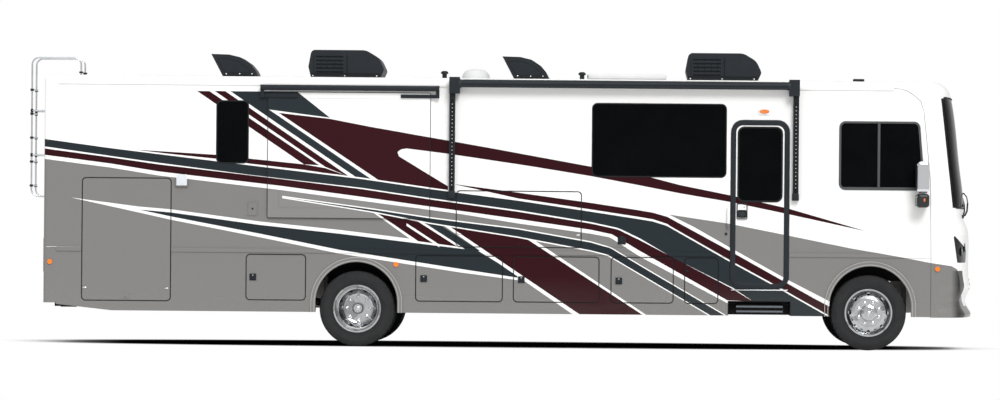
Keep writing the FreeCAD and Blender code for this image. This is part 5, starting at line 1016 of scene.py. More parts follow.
    @staticmethod
    def bent(name: str, points: Sequence[Vector], radius: float, closed: bool = False,
             sides: int = 3) -> bpy.types.Object:
        """Sweep a round bar along straight runs.

        Args:
            name: its name.
            points: the points of the path.
            radius: the bar's radius.
            closed: whether the path closes.
            sides: how finely it is rounded.

        Returns:
            The piece.
        """
        Workshop.clear()
        curve = bpy.data.curves.new(name, "CURVE")
        curve.dimensions = "3D"
        curve.bevel_depth = radius
        curve.bevel_resolution = sides
        line = curve.splines.new("POLY")
        line.points.add(len(points) - 1)
        for spot, place in zip(line.points, points):
            spot.co = (*place, 1.0)
        line.use_cyclic_u = closed
        curve.use_fill_caps = not closed
        thing = bpy.data.objects.new(name, curve)
        bpy.context.scene.collection.objects.link(thing)
        Workshop.select(thing)
        bpy.ops.object.convert(target="MESH")
        thing = Workshop.settle(bpy.context.object, name)
        Workshop.soften(thing, 0.0)
        return thing

    @staticmethod
    def joined(name: str, things: Iterable[bpy.types.Object]) -> bpy.types.Object:
        """Join meshes into one piece.

        Args:
            name: its name.
            things: the meshes.

        Returns:
            The piece.
        """
        things = list(things)
        Workshop.clear()
        for thing in things:
            thing.select_set(True)
        bpy.context.view_layer.objects.active = things[0]
        bpy.ops.object.join()
        return Workshop.settle(bpy.context.object, name)

    @staticmethod
    def copied(thing: bpy.types.Object, name: str, move: Vector = Vector(),
               flip: bool = False) -> bpy.types.Object:
        """Copy a piece with its own mesh, moved or set on the other side.

        Args:
            thing: the piece.
            name: the copy's name.
            move: how far it is moved.
            flip: whether it is mirrored across the vehicle.

        Returns:
            The copy.
        """
        copy = thing.copy()
        copy.data = thing.data.copy()
        bpy.context.scene.collection.objects.link(copy)
        if flip:
            copy.data.transform(Matrix.Diagonal((1, -1, 1, 1)))
            copy.data.flip_normals()
        copy.data.transform(Matrix.Translation(move))
        copy.name = name
        copy.data.name = name
        return copy

    @staticmethod
    def oblong(across: Span, up: Span, radius: float) -> Line:
        """Return a rectangle's outline with rounded corners.

        Args:
            across: its first and last place across.
            up: its low and high edge.
            radius: the corners' radius.

        Returns:
            The outline.
        """
        return Workshop.rounded([(across[0], up[0]), (across[1], up[0]), (across[1], up[1]),
                                 (across[0], up[1])], radius)

    @staticmethod
    def rounded(corners: Outline, radius: float, steps: int = 6) -> Outline:
        """Return an outline with its corners turned into arcs.

        Args:
            corners: its corners in order.
            radius: the arcs' radius.
            steps: the points of an arc.

        Returns:
            The rounded outline.
        """
        made = []
        for index, corner in enumerate(corners):
            here = Vector(corner)
            back = (Vector(corners[index - 1]) - here).normalized()
            ahead = (Vector(corners[(index + 1) % len(corners)]) - here).normalized()
            half = back.angle(ahead) / 2
            centre = here + (back + ahead).normalized() * (radius / math.sin(half))
            reach = radius / math.tan(half)
            first = here + back * reach - centre
            last = here + ahead * reach - centre
            turn = first.angle_signed(last)
            for step in range(steps + 1):
                spoke = Matrix.Rotation(-turn * step / steps, 2) @ first
                made.append(tuple(centre + spoke))
        return made

    @staticmethod
    def dress(thing: bpy.types.Object, material: bpy.types.Material, slot: str,
              body: str) -> bpy.types.Object:
        """Give a new piece its finish and the body that carries it.

        Args:
            thing: the piece.
            material: its finish.
            slot: not used.
            body: the body.

        Returns:
            The piece.
        """
        thing.data.materials.clear()
        thing.data.materials.append(material)
        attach(thing, body)
        log.info("made %s", thing.name)
        return thing


def station(millimetres: float) -> float:
    """Return x for a distance ahead of the rear wall, in millimetres."""
    return SCALE.rear_station + millimetres / 1000


def panel(spans: Spans, radius: float) -> Outline:
    """Return a rounded upright outline.

    Args:
        spans: its rear and front stations and its lower and upper edges, in millimetres.
        radius: its corners' radius in metres.

    Returns:
        Its corners as x and z.
    """
    back, front, low, high = station(spans[0]), station(spans[1]), spans[2] / 1000, spans[3] / 1000
    return Workshop.oblong((back, front), (low, high), radius)


@dataclass(frozen=True)
class RoomPaint:
    """The livery on a slide-out room, with a black topper over it."""

    face: float = -1.2929
    roof: float = 3.181
    flange: float = -1.225
    topper_out: float = -1.0

    def material(self) -> bpy.types.Material:
        """Make the paint; what stands proud of the flange is black."""
        graph = Graph("room_paint")
        shade = ShellPaint().colour(graph)
        _, y, z = graph.place()
        haze = graph.noise(2.2, 4.0, (0.5, 1.0, 1.6))
        shade = graph.mix(y > self.flange, shade, Paint.LINER.value)
        proud = (y < self.face) | ((z > self.roof) & (y < self.topper_out))
        shade = graph.mix(proud, shade, (0.018, 0.022, 0.026))
        return graph.finish(shade, 0.2 + haze * 0.06 + proud * 0.15, 0.0, graph.noise(5.0, 1.0), 0.0004,
                            Coat_Weight=0.1, Coat_Roughness=0.06, Specular_IOR_Level=0.1)


@dataclass(frozen=True)
class LampLenses:
    """Amber side markers, red tail lamps, and dark headlamps cut to a slanted outline."""

    nose: float = 5.5
    tail: float = -5.72
    rear_column: float = 953.8
    top: tuple[float, float] = (1.484, 5.62)
    slant: tuple[float, float] = (1.459, 0.165)

    def material(self) -> bpy.types.Material:
        """Make one lens material for the whole node."""
        graph = Graph("lamp_lenses")
        x, y, z = graph.place()
        grid = (x + y).wave(0.013) + z.wave(0.013)
        shade = graph.mix(x < self.tail, (0.86, 0.20, 0.012), (0.42, 0.012, 0.01))
        body = graph.noise(3.0, 3.0)
        lit = graph.mix(body, (0.006, 0.0065, 0.007), (0.02, 0.022, 0.024))
        upper = self.top[0] - (x - self.top[1]) * 1.0
        rear = SCALE.along(self.rear_column) + (self.slant[0] - z) * self.slant[1]
        cover = (z > upper) | (x < rear)
        lit = graph.mix(cover, lit, (0.80, 0.80, 0.79))
        ahead = x > self.nose
        shade = graph.mix(ahead, shade, lit)
        rough = 0.12 + body * 0.06
        return graph.finish(shade, rough, 0.0, grid * (1.0 - ahead), 0.0005,
                            Coat_Weight=(1.0 - ahead) * 0.6, Coat_Roughness=0.05, Specular_IOR_Level=0.2)


@dataclass(frozen=True)
class RoofPieces:
    """Pale moulded vents and dome, with black aerials and a black lamp."""

    black: tuple[float, ...] = (440, 579, 862)
    reach: float = 0.085

    def material(self) -> bpy.types.Material:
        """Make one finish for the whole node."""
        graph = Graph("roof_pieces")
        x, _, _ = graph.place()
        drift = graph.noise(4.0, 4.0)
        shade = graph.mix(drift, (0.56, 0.57, 0.58), (0.72, 0.72, 0.71))
        for column in self.black:
            shade = graph.mix(abs(x - SCALE.along(column)) < self.reach, shade, (0.014, 0.015, 0.017))
        return graph.finish(shade, 0.42 + drift * 0.14, 0.0, graph.noise(420.0, 2.0), 0.00008,
                            Specular_IOR_Level=0.2)


@dataclass(frozen=True)
class MirrorShell:
    """A chromed upper head over a black lower one."""

    split: float = 1.974

    def material(self) -> bpy.types.Material:
        """Make the finish; metal and gloss change at the split."""
        graph = Graph("mirror_shell")
        _, _, z = graph.place()
        upper = z > self.split
        film = graph.noise(9.0, 4.0)
        shade = graph.mix(upper, (0.012, 0.013, 0.015), (0.80, 0.82, 0.84))
        return graph.finish(shade, 0.32 - upper * 0.24 + film * 0.05, upper, graph.noise(60.0, 2.0), 0.00003)


@dataclass
class Coats:
    """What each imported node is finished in."""

    finishes: Finishes
    painted: tuple[str, ...] = ("right_wall", "right_skirt", "left_wall", "left_skirt", "cargo_door_1",
                                "cargo_door_2",
                                "cargo_door_3", "cargo_door_4", "cargo_door_5", "left_cargo_door_2",
                                "left_cargo_door_3", "rear_side_door", "entertainment_hatch", "entry_door")
    capped: tuple[str, ...] = ("roof", "front_cap", "rear_cap", "engine_door", "body_trim", "slide_left")

    def apply(self) -> None:
        """Coat every node."""
        kit = self.finishes
        for names, finish in ((self.painted, kit.paint), (self.capped, kit.cap_paint),
                              (("slide_right",), RoomPaint().material()),
                              (("windshield", "side_windows", "entry_door_glass", "slide_left_windows"),
                               kit.glass),
                              (("lamps",), LampLenses().material()),
                              (("front_grille", "patio_awning", "fan_lid_rear", "fan_lid_front",
                                "air_conditioners"), kit.black),
                              (("roof_vents",), RoofPieces().material()),
                              (("mirrors",), MirrorShell().material()), (("ladder",), kit.tube),
                              (("air_springs",), kit.rubber), (("main_floor", "entry_stairs"), kit.boards),
                              (("compartments", "side_compartment"), kit.liner),
                              (("seat_cushions",), kit.cloth),
                              (("cab_interior", "steering_wheel"), kit.dash),
                              (("knuckle_right", "knuckle_left", "axles", "engine_block"), kit.iron),
                              (("chassis_rails", "chassis_members", "driveline", "step_housing", "step_arms",
                                "step_treads"), kit.steel)):
            for name in names:
                self.coat(name, finish)
        for end, sides in (("front_{part}_{side}", ("tyre", "wheel")),
                           ("rear_{part}_{side}", ("tyres", "wheels"))):
            for side in Side:
                self.coat_wheel(end, sides, side.name.lower())

    def coat_wheel(self, pattern: str, pieces: tuple[str, str], side: str) -> None:
        """Coat a tyre and its wheel about their axle.

        Args:
            pattern: how the nodes are named.
            pieces: the names' words for the tyre and the wheel.
            side: the side's word.
        """
        tyre, wheel = (pattern.format(part=piece, side=side) for piece in pieces)
        low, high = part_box(tyre)
        centre = (low.x + high.x) / 2
        self.coat(tyre, Tyre(centre, f"rubber_{tyre}").material())
        self.coat(wheel, PolishedAlloy(centre, f"alloy_{wheel}").material())

    @staticmethod
    def coat(name: str, finish: bpy.types.Material) -> None:
        """Put one finish on a node."""
        node = bpy.data.objects[name]
        node.data.materials.clear()
        node.data.materials.append(finish)
        log.info("coated %s", name)


WALL = -1.27


@dataclass
class WindowTrim:
    """Rubber round the windows and the grey frame of the cab window."""

    kit: Finishes
    cab: Spans = (9949, 10970, 2020, 2857)
    slant: float = 36.0
    frame_width: float = 0.027
    room_face: float = 1.2925
    room_windows: tuple[Span, ...] = ((5400, 6500), (7300, 8400))
    room_heights: Span = (2060, 2860)

    def build(self) -> None:
        """Frame every window."""
        self.gasket("bedroom", (2150, 2559, 2274, 3065), 0.07)
        self.gasket("galley", (6845, 8533, 2145, 3071), 0.07, mirror=False)
        self.cab_frame()
        self.room_frames()

    def gasket(self, word: str, spans: Spans, radius: float, mirror: bool = True) -> None:
        """Lay a rubber lip round one pane.

        Args:
            word: the window's name.
            spans: its stations and heights.
            radius: its corners' radius.
            mirror: whether the far wall has it too.
        """
        lip = Workshop.frame(f"{word}_gasket", panel(spans, radius), 0.016, (WALL + 0.004, WALL - 0.005),
                             round_by=0.002)
        Workshop.dress(lip, self.kit.gasket, "plastic_black", "root")
        if mirror:
            Workshop.dress(Workshop.copied(lip, f"{word}_gasket_left", flip=True), self.kit.gasket,
                           "plastic_black", "root")

    def cab_frame(self) -> None:
        """Frame the slanted cab window, with its upright bar and sliding track."""
        back, front, low, high = self.cab
        corners = [(station(back) - 0.012, low / 1000 - 0.012),
                   (station(front + self.slant) + 0.012, low / 1000 - 0.012),
                   (station(front - self.slant) + 0.012, high / 1000 + 0.012),
                   (station(back) - 0.012, high / 1000 + 0.012)]
        outline = Workshop.rounded(corners, 0.08)
        grey = Plain("cab_frame_grey", (0.075, 0.078, 0.082), roughness=0.42).material()
        bar_at = station(10435)
        pieces = [Workshop.frame("cab_frame", outline, self.frame_width, (WALL + 0.006, WALL - 0.010),
                                 round_by=0.004),
                  Workshop.box("cab_bar", (bar_at - 0.016, bar_at + 0.016), (WALL - 0.008, WALL + 0.012),
                               (low / 1000 + 0.008, high / 1000 - 0.008), 0.003),
                  Workshop.box("cab_track", (station(back) + 0.03, station(front) - 0.03),
                               (WALL - 0.004, WALL + 0.012),
                               (low / 1000 + 0.014, low / 1000 + 0.026), 0.002)]
        right = Workshop.joined("cab_window_frame", pieces)
        left = Workshop.copied(right, "cab_window_frame_left", flip=True)
        for thing in (right, left):
            Workshop.dress(thing, grey, "plastic_black", "root")

    def room_frames(self) -> None:
        """Frame the two windows of the left room."""
        face = self.room_face
        for index, (back, front) in enumerate(self.room_windows):
            outline = panel((back, front, *self.room_heights), 0.07)
            lip = Workshop.frame(f"left_room_gasket_{index + 1}", outline, 0.018,
                                 (face - 0.009, face + 0.001), round_by=0.002)
            Workshop.dress(lip, self.kit.gasket, "plastic_black", "room_left")


@dataclass
class EntryTrim:
    """The entry door's black border, handle, lock and lamp."""

    kit: Finishes
    door: Spans = (8586, 9319, 762, 2870)
    border: float = 0.065

    def build(self) -> None:
        """Fit the door."""
        border = Workshop.frame("entry_border", panel(self.door, 0.148), self.border,
                                (WALL + 0.004, WALL - 0.004),
                                round_by=0.002)
        Workshop.dress(border, self.kit.black, "plastic_black", "entry")
        pane = Workshop.frame("entry_pane_gasket", panel((8668, 9236, 1845, 2791), 0.085), 0.022,
                              (WALL + 0.002, WALL - 0.006), round_by=0.002)
        Workshop.dress(pane, self.kit.gasket, "plastic_black", "entry")
        self.handle()
        self.lock()
        self.lamp()
        rail = Workshop.box("entry_sill_shine", (station(8600), station(9305)),
                            (WALL - 0.013, WALL - 0.009), (0.741, 0.753), 0.002)
        Workshop.dress(rail, self.kit.satin, "plastic_black", "root")

    def handle(self) -> None:
        """Make the recessed handle: a rounded plate, a paddle and a key barrel."""
        plate = Workshop.frame("handle_rim", panel((8662, 8799, 1630, 1831), 0.02), 0.014,
                               (WALL - 0.012, WALL - 0.019), round_by=0.002)
        well = Workshop.prism("handle_well", panel((8676, 8785, 1648, 1748), 0.016),
                              (WALL - 0.0163, WALL - 0.0175))
        paddle = Workshop.prism("handle_paddle", panel((8686, 8775, 1664, 1722), 0.02),
                                (WALL - 0.016, WALL - 0.028), round_by=0.004)
        for thing, finish in ((plate, self.kit.black), (well, self.kit.gasket), (paddle, self.kit.smoke)):
            Workshop.dress(thing, finish, "plastic_black", "entry")
        barrel = Workshop.rod("handle_key", Vector((station(8760), WALL - 0.014, 1.785)),
                              Vector((station(8760), WALL - 0.023, 1.785)),
                              0.013, 24, round_by=0.002)
        Workshop.dress(barrel, self.kit.bright, "plastic_black", "entry")

    def lock(self) -> None:
        """Turn the round lock knob beside the grab bar."""
        x, z = SCALE.along(726), SCALE.height(726, 234)
        knob = Workshop.spun("lock_knob", [(0.0, 0.017), (0.004, 0.017), (0.006, 0.012), (0.018, 0.012),
                                           (0.021, 0.009), (0.021, 0.0)],
                             Vector((x, WALL, z)), Vector((0, -1, 0)), 28)
        Workshop.dress(knob, self.kit.black, "plastic_black", "root")

    def lamp(self) -> None:
        """Fit the porch lamp's oval lens."""
        x, z = station(8998.5), 2.979
        oval = [(x + 0.062 * math.cos(turn),
                 z + 0.026 * math.sin(turn)) for turn in (math.pi * step / 16 for step in range(32))]
        lens = Workshop.prism("porch_lens", oval, (WALL - 0.021, WALL - 0.034), round_by=0.006, segments=3)
        Workshop.dress(lens, self.kit.amber, "lamp_lens", "root")


@dataclass
class Latches:
    """Paddle latches, key collars, stays, the inlet cover and raised rims of the doors and hatches."""

    kit: Finishes
    size: float = 0.042
    paddles: tuple[Mark, ...] = ((253.3, 277, "bay_door_1"), (424.1, 278.7, "bay_door_2"),
                                 (521.7, 279.7, "bay_door_3"), (619.2, 281, "bay_door_4"))
    keys: tuple[Mark, ...] = ((687.8, 271, "bay_door_5"), (518.5, 244.5, "media_hatch"),
                              (126, 297, "rear_side"))
    stays: tuple[Mark, ...] = ((458.9, 234.1, "media_hatch"), (577.9, 235.3, "media_hatch"),
                               (85, 287.5, "rear_side"), (167, 288.5, "rear_side"))

    def build(self) -> None:
        """Fit every latch."""
        for index, (column, row, body) in enumerate(self.paddles):
            self.paddle(index, SCALE.along(column), SCALE.height(column, row), body)
        for index, (column, row, body) in enumerate(self.keys):
            self.key(index, SCALE.along(column), SCALE.height(column, row), body)
        for index, (column, row, body) in enumerate(self.stays):
            x, z = SCALE.along(column), SCALE.height(column, row)
            stay = Workshop.box(f"door_stay_{index + 1}", (x - 0.024, x + 0.024),
                                (WALL - 0.009, WALL + 0.002), (z - 0.009, z + 0.009), 0.004)
            Workshop.dress(stay, self.kit.satin, "plastic_black", body)
        self.inlet()
        self.hatch_edges()

    def paddle(self, index: int, x: float, z: float, body: str) -> None:
        """Make one square paddle latch.

        Args:
            index: its number.
            x: its centre along the vehicle.
            z: its height.
            body: the door's body.
        """
        size = self.size
        edge = Workshop.oblong((x - size, x + size), (z - size, z + size), 0.009)
        rim = Workshop.frame(f"latch_rim_{index + 1}", edge, 0.009, (WALL - 0.004, WALL - 0.010),
                             round_by=0.0015)
        plate = Workshop.prism(f"latch_plate_{index + 1}", edge, (WALL + 0.001, WALL - 0.0065))
        face = Workshop.oblong((x - 0.027, x + 0.027), (z - 0.028, z + 0.012), 0.006)
        flap = Workshop.prism(f"latch_flap_{index + 1}", face, (WALL - 0.006, WALL - 0.0135), round_by=0.002)
        barrel = Workshop.rod(f"latch_key_{index + 1}", Vector((x, WALL - 0.005, z + 0.024)),
                              Vector((x, WALL - 0.012, z + 0.024)), 0.007, 20)
        Workshop.dress(Workshop.joined(f"latch_{index + 1}", [plate, rim, flap]), self.kit.black,
                       "plastic_black", body)
        Workshop.dress(barrel, self.kit.satin, "plastic_black", body)

    def key(self, index: int, x: float, z: float, body: str) -> None:
        """Make one round key barrel with its collar."""
        collar = Workshop.spun(f"key_collar_{index + 1}",
                               [(0.0, 0.014), (0.005, 0.013), (0.007, 0.009), (0.004, 0.007), (0.004, 0.0)],
                               Vector((x, WALL, z)), Vector((0, -1, 0)), 24)
        Workshop.dress(collar, self.kit.black, "plastic_black", body)

    def inlet(self) -> None:
        """Fit the square inlet cover in the service panel."""
        x, z = SCALE.along(621.9), SCALE.height(621.9, 240.4)
        edge = Workshop.oblong((x - 0.05, x + 0.05), (z - 0.05, z + 0.05), 0.008)
        base = Workshop.prism("inlet_base", edge, (WALL - 0.006, WALL - 0.014), round_by=0.002)
        flap = Workshop.frame("inlet_flap", edge, 0.02, (WALL - 0.013, WALL - 0.022), round_by=0.003)
        hinge = Workshop.rod("inlet_hinge", Vector((x - 0.035, WALL - 0.02, z + 0.048)),
                             Vector((x + 0.035, WALL - 0.02, z + 0.048)), 0.005, 16)
        Workshop.dress(Workshop.joined("inlet_cover", [base, flap, hinge]), self.kit.black,
                       "plastic_black", "root")

    def hatch_edges(self) -> None:
        """Give the small hatch and the box cover their raised rims, and the hatch its key."""
        for word, spans, proud in (("small_hatch", (2550, 2676, 1627, 1796), 0.008),
                                   ("box_cover", (1650, 1805, 1984, 2145), 0.03)):
            rim = Workshop.frame(f"{word}_rim", panel(spans, 0.014), 0.012,
                                 (WALL - proud + 0.001, WALL - proud - 0.004), round_by=0.0015)
            Workshop.dress(rim, self.kit.cap_paint, "shell_gloss", "root")
        lock = Workshop.rod("small_hatch_key", Vector((station(2613), WALL - 0.007, 1.712)),
                            Vector((station(2613), WALL - 0.014, 1.712)), 0.011, 24)
        Workshop.dress(lock, self.kit.black, "plastic_black", "root")


@dataclass
class AwningTrim:
    """End caps, cover strip, rivets, feet and knuckles of the patio awning."""

    kit: Finishes
    span: Span = (5195, 9306)
    height: float = 3.295
    out: float = 0.092
    rivets: int = 22
    rivet_pitch: float = 0.048

    def build(self) -> None:
        """Fit the awning."""
        low, high = station(self.span[0]), station(self.span[1])
        y = WALL - self.out
        for word, x, turn in (("back", low, -1), ("front", high, 1)):
            cap = Workshop.spun(f"awning_cap_{word}", [(-0.02, 0.049), (-0.02, 0.0555), (0.012, 0.0555),
                                                       (0.02, 0.047), (0.022, 0.0)],
                                Vector((x, y, self.height)), Vector((turn, 0, 0)), 40)
            Workshop.dress(cap, self.kit.smoke, "awning_metal", "root")
        strip = Workshop.box("awning_cover_strip", (low + 0.03, high - 0.03), (y - 0.02, y + 0.026),
                             (self.height + 0.044, self.height + 0.052), 0.003)
        Workshop.dress(strip, Plain("awning_strip", (0.13, 0.135, 0.14), roughness=0.4).material(),
                       "awning_metal", "root")
        hem = Workshop.rod("awning_lead_rail", Vector((low + 0.02, y - 0.044, self.height - 0.03)),
                           Vector((high - 0.02, y - 0.044, self.height - 0.03)), 0.011, 16)
        Workshop.dress(hem, self.kit.black, "awning_metal", "root")
        for word, at in (("back", 5066), ("front", 9359)):
            self.arm(word, station(at + 36))

    def arm(self, word: str, x: float) -> None:
        """Fit one arm's folded inner link, its rivets and its foot."""
        face = WALL - 0.014 - 0.058
        link = Workshop.box(f"awning_link_{word}", (x - 0.012, x + 0.012), (face + 0.006, face + 0.022),
                            (1.99, 3.10), 0.003)
        Workshop.dress(link, self.kit.gasket, "awning_metal", "root")
        rivet = Workshop.rod(f"awning_rivets_{word}", Vector((x, face + 0.008, 2.03)),
                             Vector((x, face + 0.001, 2.03)), 0.0065, 10)
        Workshop.row(rivet, self.rivets, (0, 0, self.rivet_pitch))
        Workshop.dress(rivet, self.kit.satin, "awning_metal", "root")
        foot = Workshop.box(f"awning_foot_{word}", (x - 0.042, x + 0.042), (face - 0.006, WALL),
                            (1.868, 1.955), 0.006)
        Workshop.dress(foot, self.kit.black, "awning_metal", "root")
        knee = Workshop.rod(f"awning_knee_{word}", Vector((x, face + 0.002, 3.15)),
                            Vector((x, face - 0.014, 3.15)), 0.026, 28, round_by=0.003)
        Workshop.dress(knee, self.kit.black, "awning_metal", "root")


@dataclass
class StepTrim:
    """Grip strips and nose strips on the entry step's treads."""

    kit: Finishes
    pitch: float = 0.03
    strips: int = 7

    def build(self) -> None:
        """Lay the strips on both treads."""
        for index, top in enumerate((0.558, 0.498)):
            strip = Workshop.box(f"tread_grip_{index + 1}", (station(8690), station(9226)),
                                 (-1.252, -1.240), (top - 0.001, top + 0.0025), 0.001)
            Workshop.row(strip, self.strips, (0, self.pitch, 0))
            Workshop.dress(strip, self.kit.gasket, "awning_metal", "step_platform")
            edge = Workshop.box(f"tread_nose_{index + 1}", (station(8668), station(9248)),
                                (-1.2665, -1.2615), (top - 0.028, top - 0.008), 0.0015)
            Workshop.dress(edge, Plain(f"tread_slate_{index + 1}", (0.12, 0.135, 0.15),
                                       roughness=0.45).material(), "awning_metal", "step_platform")


@dataclass
class RoadWheels:
    """Treaded tyres in the solids' own outline, nut covers, hub details and valves."""

    kit: Finishes
    axle: float = AXLE_HEIGHT
    half: float = 0.1175
    rim: float = 0.299
    rise: float = 0.174
    steps: int = 120
    openings: int = 8
    opening_ring: float = 0.228
    opening_edges: Span = (0.212, 0.243)
    opening_lead: float = 0.16
    shoulder: Span = (0.6, 0.95)
    notch_from: float = 0.8
    notch_depth: float = 0.009
    notch_every: int = 3
    profile: tuple[tuple[float, float], ...] = (
        (0.79, -0.075), (0.79, 0.01), (0.86, 0.07), (0.885, 0.06), (0.93, 0.2), (0.975, 0.33),
        (1.0, 0.42), (0.99, 0.53),
        (0.997, 0.545), (0.98, 0.62), (0.9, 0.83), (0.8, 0.95), (0.66, 0.99), (0.56, 0.993), (0.55, 0.925),
        (0.46, 0.925), (0.45, 0.996), (0.25, 1.0), (0.24, 0.928), (0.15, 0.928), (0.14, 1.0))

    def build(self) -> None:
        """Fit the four corners."""
        for side in Side:
            self.tyres(f"front_tyre_{side.name.lower()}", f"front_hub_{side.name.lower()}", side, (1.085,))
            self.tyres(f"rear_tyres_{side.name.lower()}", f"rear_hub_{side.name.lower()}", side,
                       (1.102, 0.810))
            self.studs(f"front_wheel_{side.name.lower()}", f"front_hub_{side.name.lower()}", side, 1.230,
                       0.135, 0.5)
            self.studs(f"rear_wheels_{side.name.lower()}", f"rear_hub_{side.name.lower()}", side, 0.970,
                       0.146, 0.0)
            self.hub_bolts(side)

    def tyres(self, node: str, body: str, side: Side, middles: tuple[float, ...]) -> None:
        """Put treaded tyres in a node's place.

        Args:
            node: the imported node.
            body: the body it turns with.
            side: its side.
            middles: how far the tyres' middles are from the centreline.
        """
        low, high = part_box(node)
        centre_x = (low.x + high.x) / 2
        finish = bpy.data.objects[node].data.materials[0]
        outline = [(-out * self.half, self.rim + up * self.rise) for out, up in self.profile]
        outline += [(out * self.half, self.rim + up * self.rise) for out, up in reversed(self.profile)]
        made = []
        for index, middle in enumerate(middles):
            centre = Vector((centre_x, side.value * middle, self.axle))
            tyre = Workshop.spun(f"{node}_tread_{index + 1}", outline, centre, Vector((0, 1, 0)),
                                 self.steps, closed=True)
            self.notch(tyre, centre)
            made.append(tyre)
        whole = Workshop.joined(f"{node}_treaded", made) if len(made) > 1 else made[0]
        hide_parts(node)
        Workshop.dress(whole, finish, "tyre_rubber", body)

    def notch(self, tyre: bpy.types.Object, centre: Vector) -> None:
        """Cut notches across both shoulders.

        Args:
            tyre: the tyre.
            centre: its centre.
        """
        pitch = 2 * math.pi / self.steps
        for vertex in tyre.data.vertices:
            off = vertex.co - centre
            reach, out = math.hypot(off.x, off.z), abs(off.y) / self.half
            step = round(math.atan2(off.z, off.x) / pitch)
            crown = reach > self.rim + self.notch_from * self.rise
            if self.shoulder[0] < out < self.shoulder[1] and crown and step % self.notch_every == 0:
                shrink = (reach - self.notch_depth) / reach
                vertex.co = centre + Vector((off.x * shrink, off.y, off.z * shrink))

    def studs(self, node: str, body: str, side: Side, face: float, ring: float, turn: float) -> None:
        """Cap the wheel nuts and add the valve.

        Args:
            node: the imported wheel.
            body: the body it turns with.
            side: its side.
            face: how far out the disc's face lies.
            ring: the nuts' circle.
            turn: the first nut's share of a step.
        """
        low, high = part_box(node)
        centre_x = (low.x + high.x) / 2
        out = Vector((0, side.value, 0))
        hexagon = [(0.0, 0.0225), (0.005, 0.0225), (0.007, 0.0185), (0.030, 0.0175), (0.037, 0.013),
                   (0.040, 0.006), (0.040, 0.0)]
        made = []
        for index in range(8):
            spin = (index + turn) * math.pi / 4
            place = Vector((centre_x + ring * math.sin(spin), side.value * face,
                            self.axle + ring * math.cos(spin)))
            made.append(Workshop.spun(f"{node}_nut_{index + 1}", hexagon, place, out, 12))
        valve_at = Vector((centre_x + 0.205, side.value * (face - 0.03), self.axle + 0.02))
        made.append(Workshop.rod(f"{node}_valve", valve_at,
                                 valve_at + out * 0.055 + Vector((-0.012, 0, 0)), 0.005, 14))
        caps = Workshop.joined(f"{node}_nut_covers", made)
        self.hand_holes(node, body, side, centre_x)
        Workshop.dress(caps, self.kit.bright, "wheel_alloy", body)

    def hand_holes(self, node: str, body: str, side: Side, centre_x: float) -> None:
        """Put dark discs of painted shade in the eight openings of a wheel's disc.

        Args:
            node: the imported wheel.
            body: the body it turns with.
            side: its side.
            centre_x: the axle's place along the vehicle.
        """
        made = []
        # each dark disc paints the shade inside one opening
        for index in range(self.openings):
            spin = (index + 0.5) * math.pi / 4
            near, far = (self.spot(node, side, centre_x, reach, spin - self.opening_lead)
                         for reach in self.opening_edges)
            middle = (near + far) / 2
            middle.x = centre_x + self.opening_ring * math.sin(spin)
            middle.z = self.axle + self.opening_ring * math.cos(spin)
            tilt = (far - near).normalized()
            across = Vector((math.cos(spin), 0, -math.sin(spin)))
            facing = tilt.cross(across).normalized()
            facing *= 1 if facing.y * side.value > 0 else -1
            made.append(Workshop.spun(f"{node}_well_{index + 1}",
                                      [(0.0, 0.020), (0.0012, 0.019), (0.0016, 0.016), (0.0016, 0.0)], middle,
                                      facing, 24))
        Workshop.dress(Workshop.joined(f"{node}_hand_holes", made), self.kit.rubber, "wheel_alloy", body)

    def spot(self, node: str, side: Side, centre_x: float, reach: float, spin: float) -> Vector:
        """Return a place on a wheel's outer face."""
        start = Vector((centre_x + reach * math.sin(spin), side.value * 3.0,
                        self.axle + reach * math.cos(spin)))
        return Probe.hit((node,), start, Vector((0, -side.value, 0)))

    def hub_bolts(self, side: Side) -> None:
        """Add a bolted plate to the axle flange and to the front hub.

        Args:
            side: the side.
        """
        word, out = side.name.lower(), Vector((0, side.value, 0))
        for node, body, face, ring in ((f"rear_wheels_{word}", f"rear_hub_{word}", 1.084, 0.040),
                                       (f"front_wheel_{word}", f"front_hub_{word}", 1.2745, 0.042)):
            low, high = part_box(node)
            centre = Vector(((low.x + high.x) / 2, side.value * face, self.axle))
            plate = [Workshop.spun(f"{node}_plate", [(0.0, 0.026), (0.006, 0.024), (0.010, 0.016),
                                                     (0.011, 0.0)], centre, out, 32)]
            for index in range(8):
                spin = index * math.pi / 4
                spot = centre + Vector((ring * math.sin(spin), 0, ring * math.cos(spin)))
                plate.append(Workshop.spun(f"{node}_bolt_{index}",
                                           [(-0.003, 0.0055), (0.004, 0.0055), (0.006, 0.004),
                                            (0.006, 0.0)], spot, out, 6))
            Workshop.dress(Workshop.joined(f"{node}_hub_plate", plate), self.kit.satin, "wheel_alloy", body)


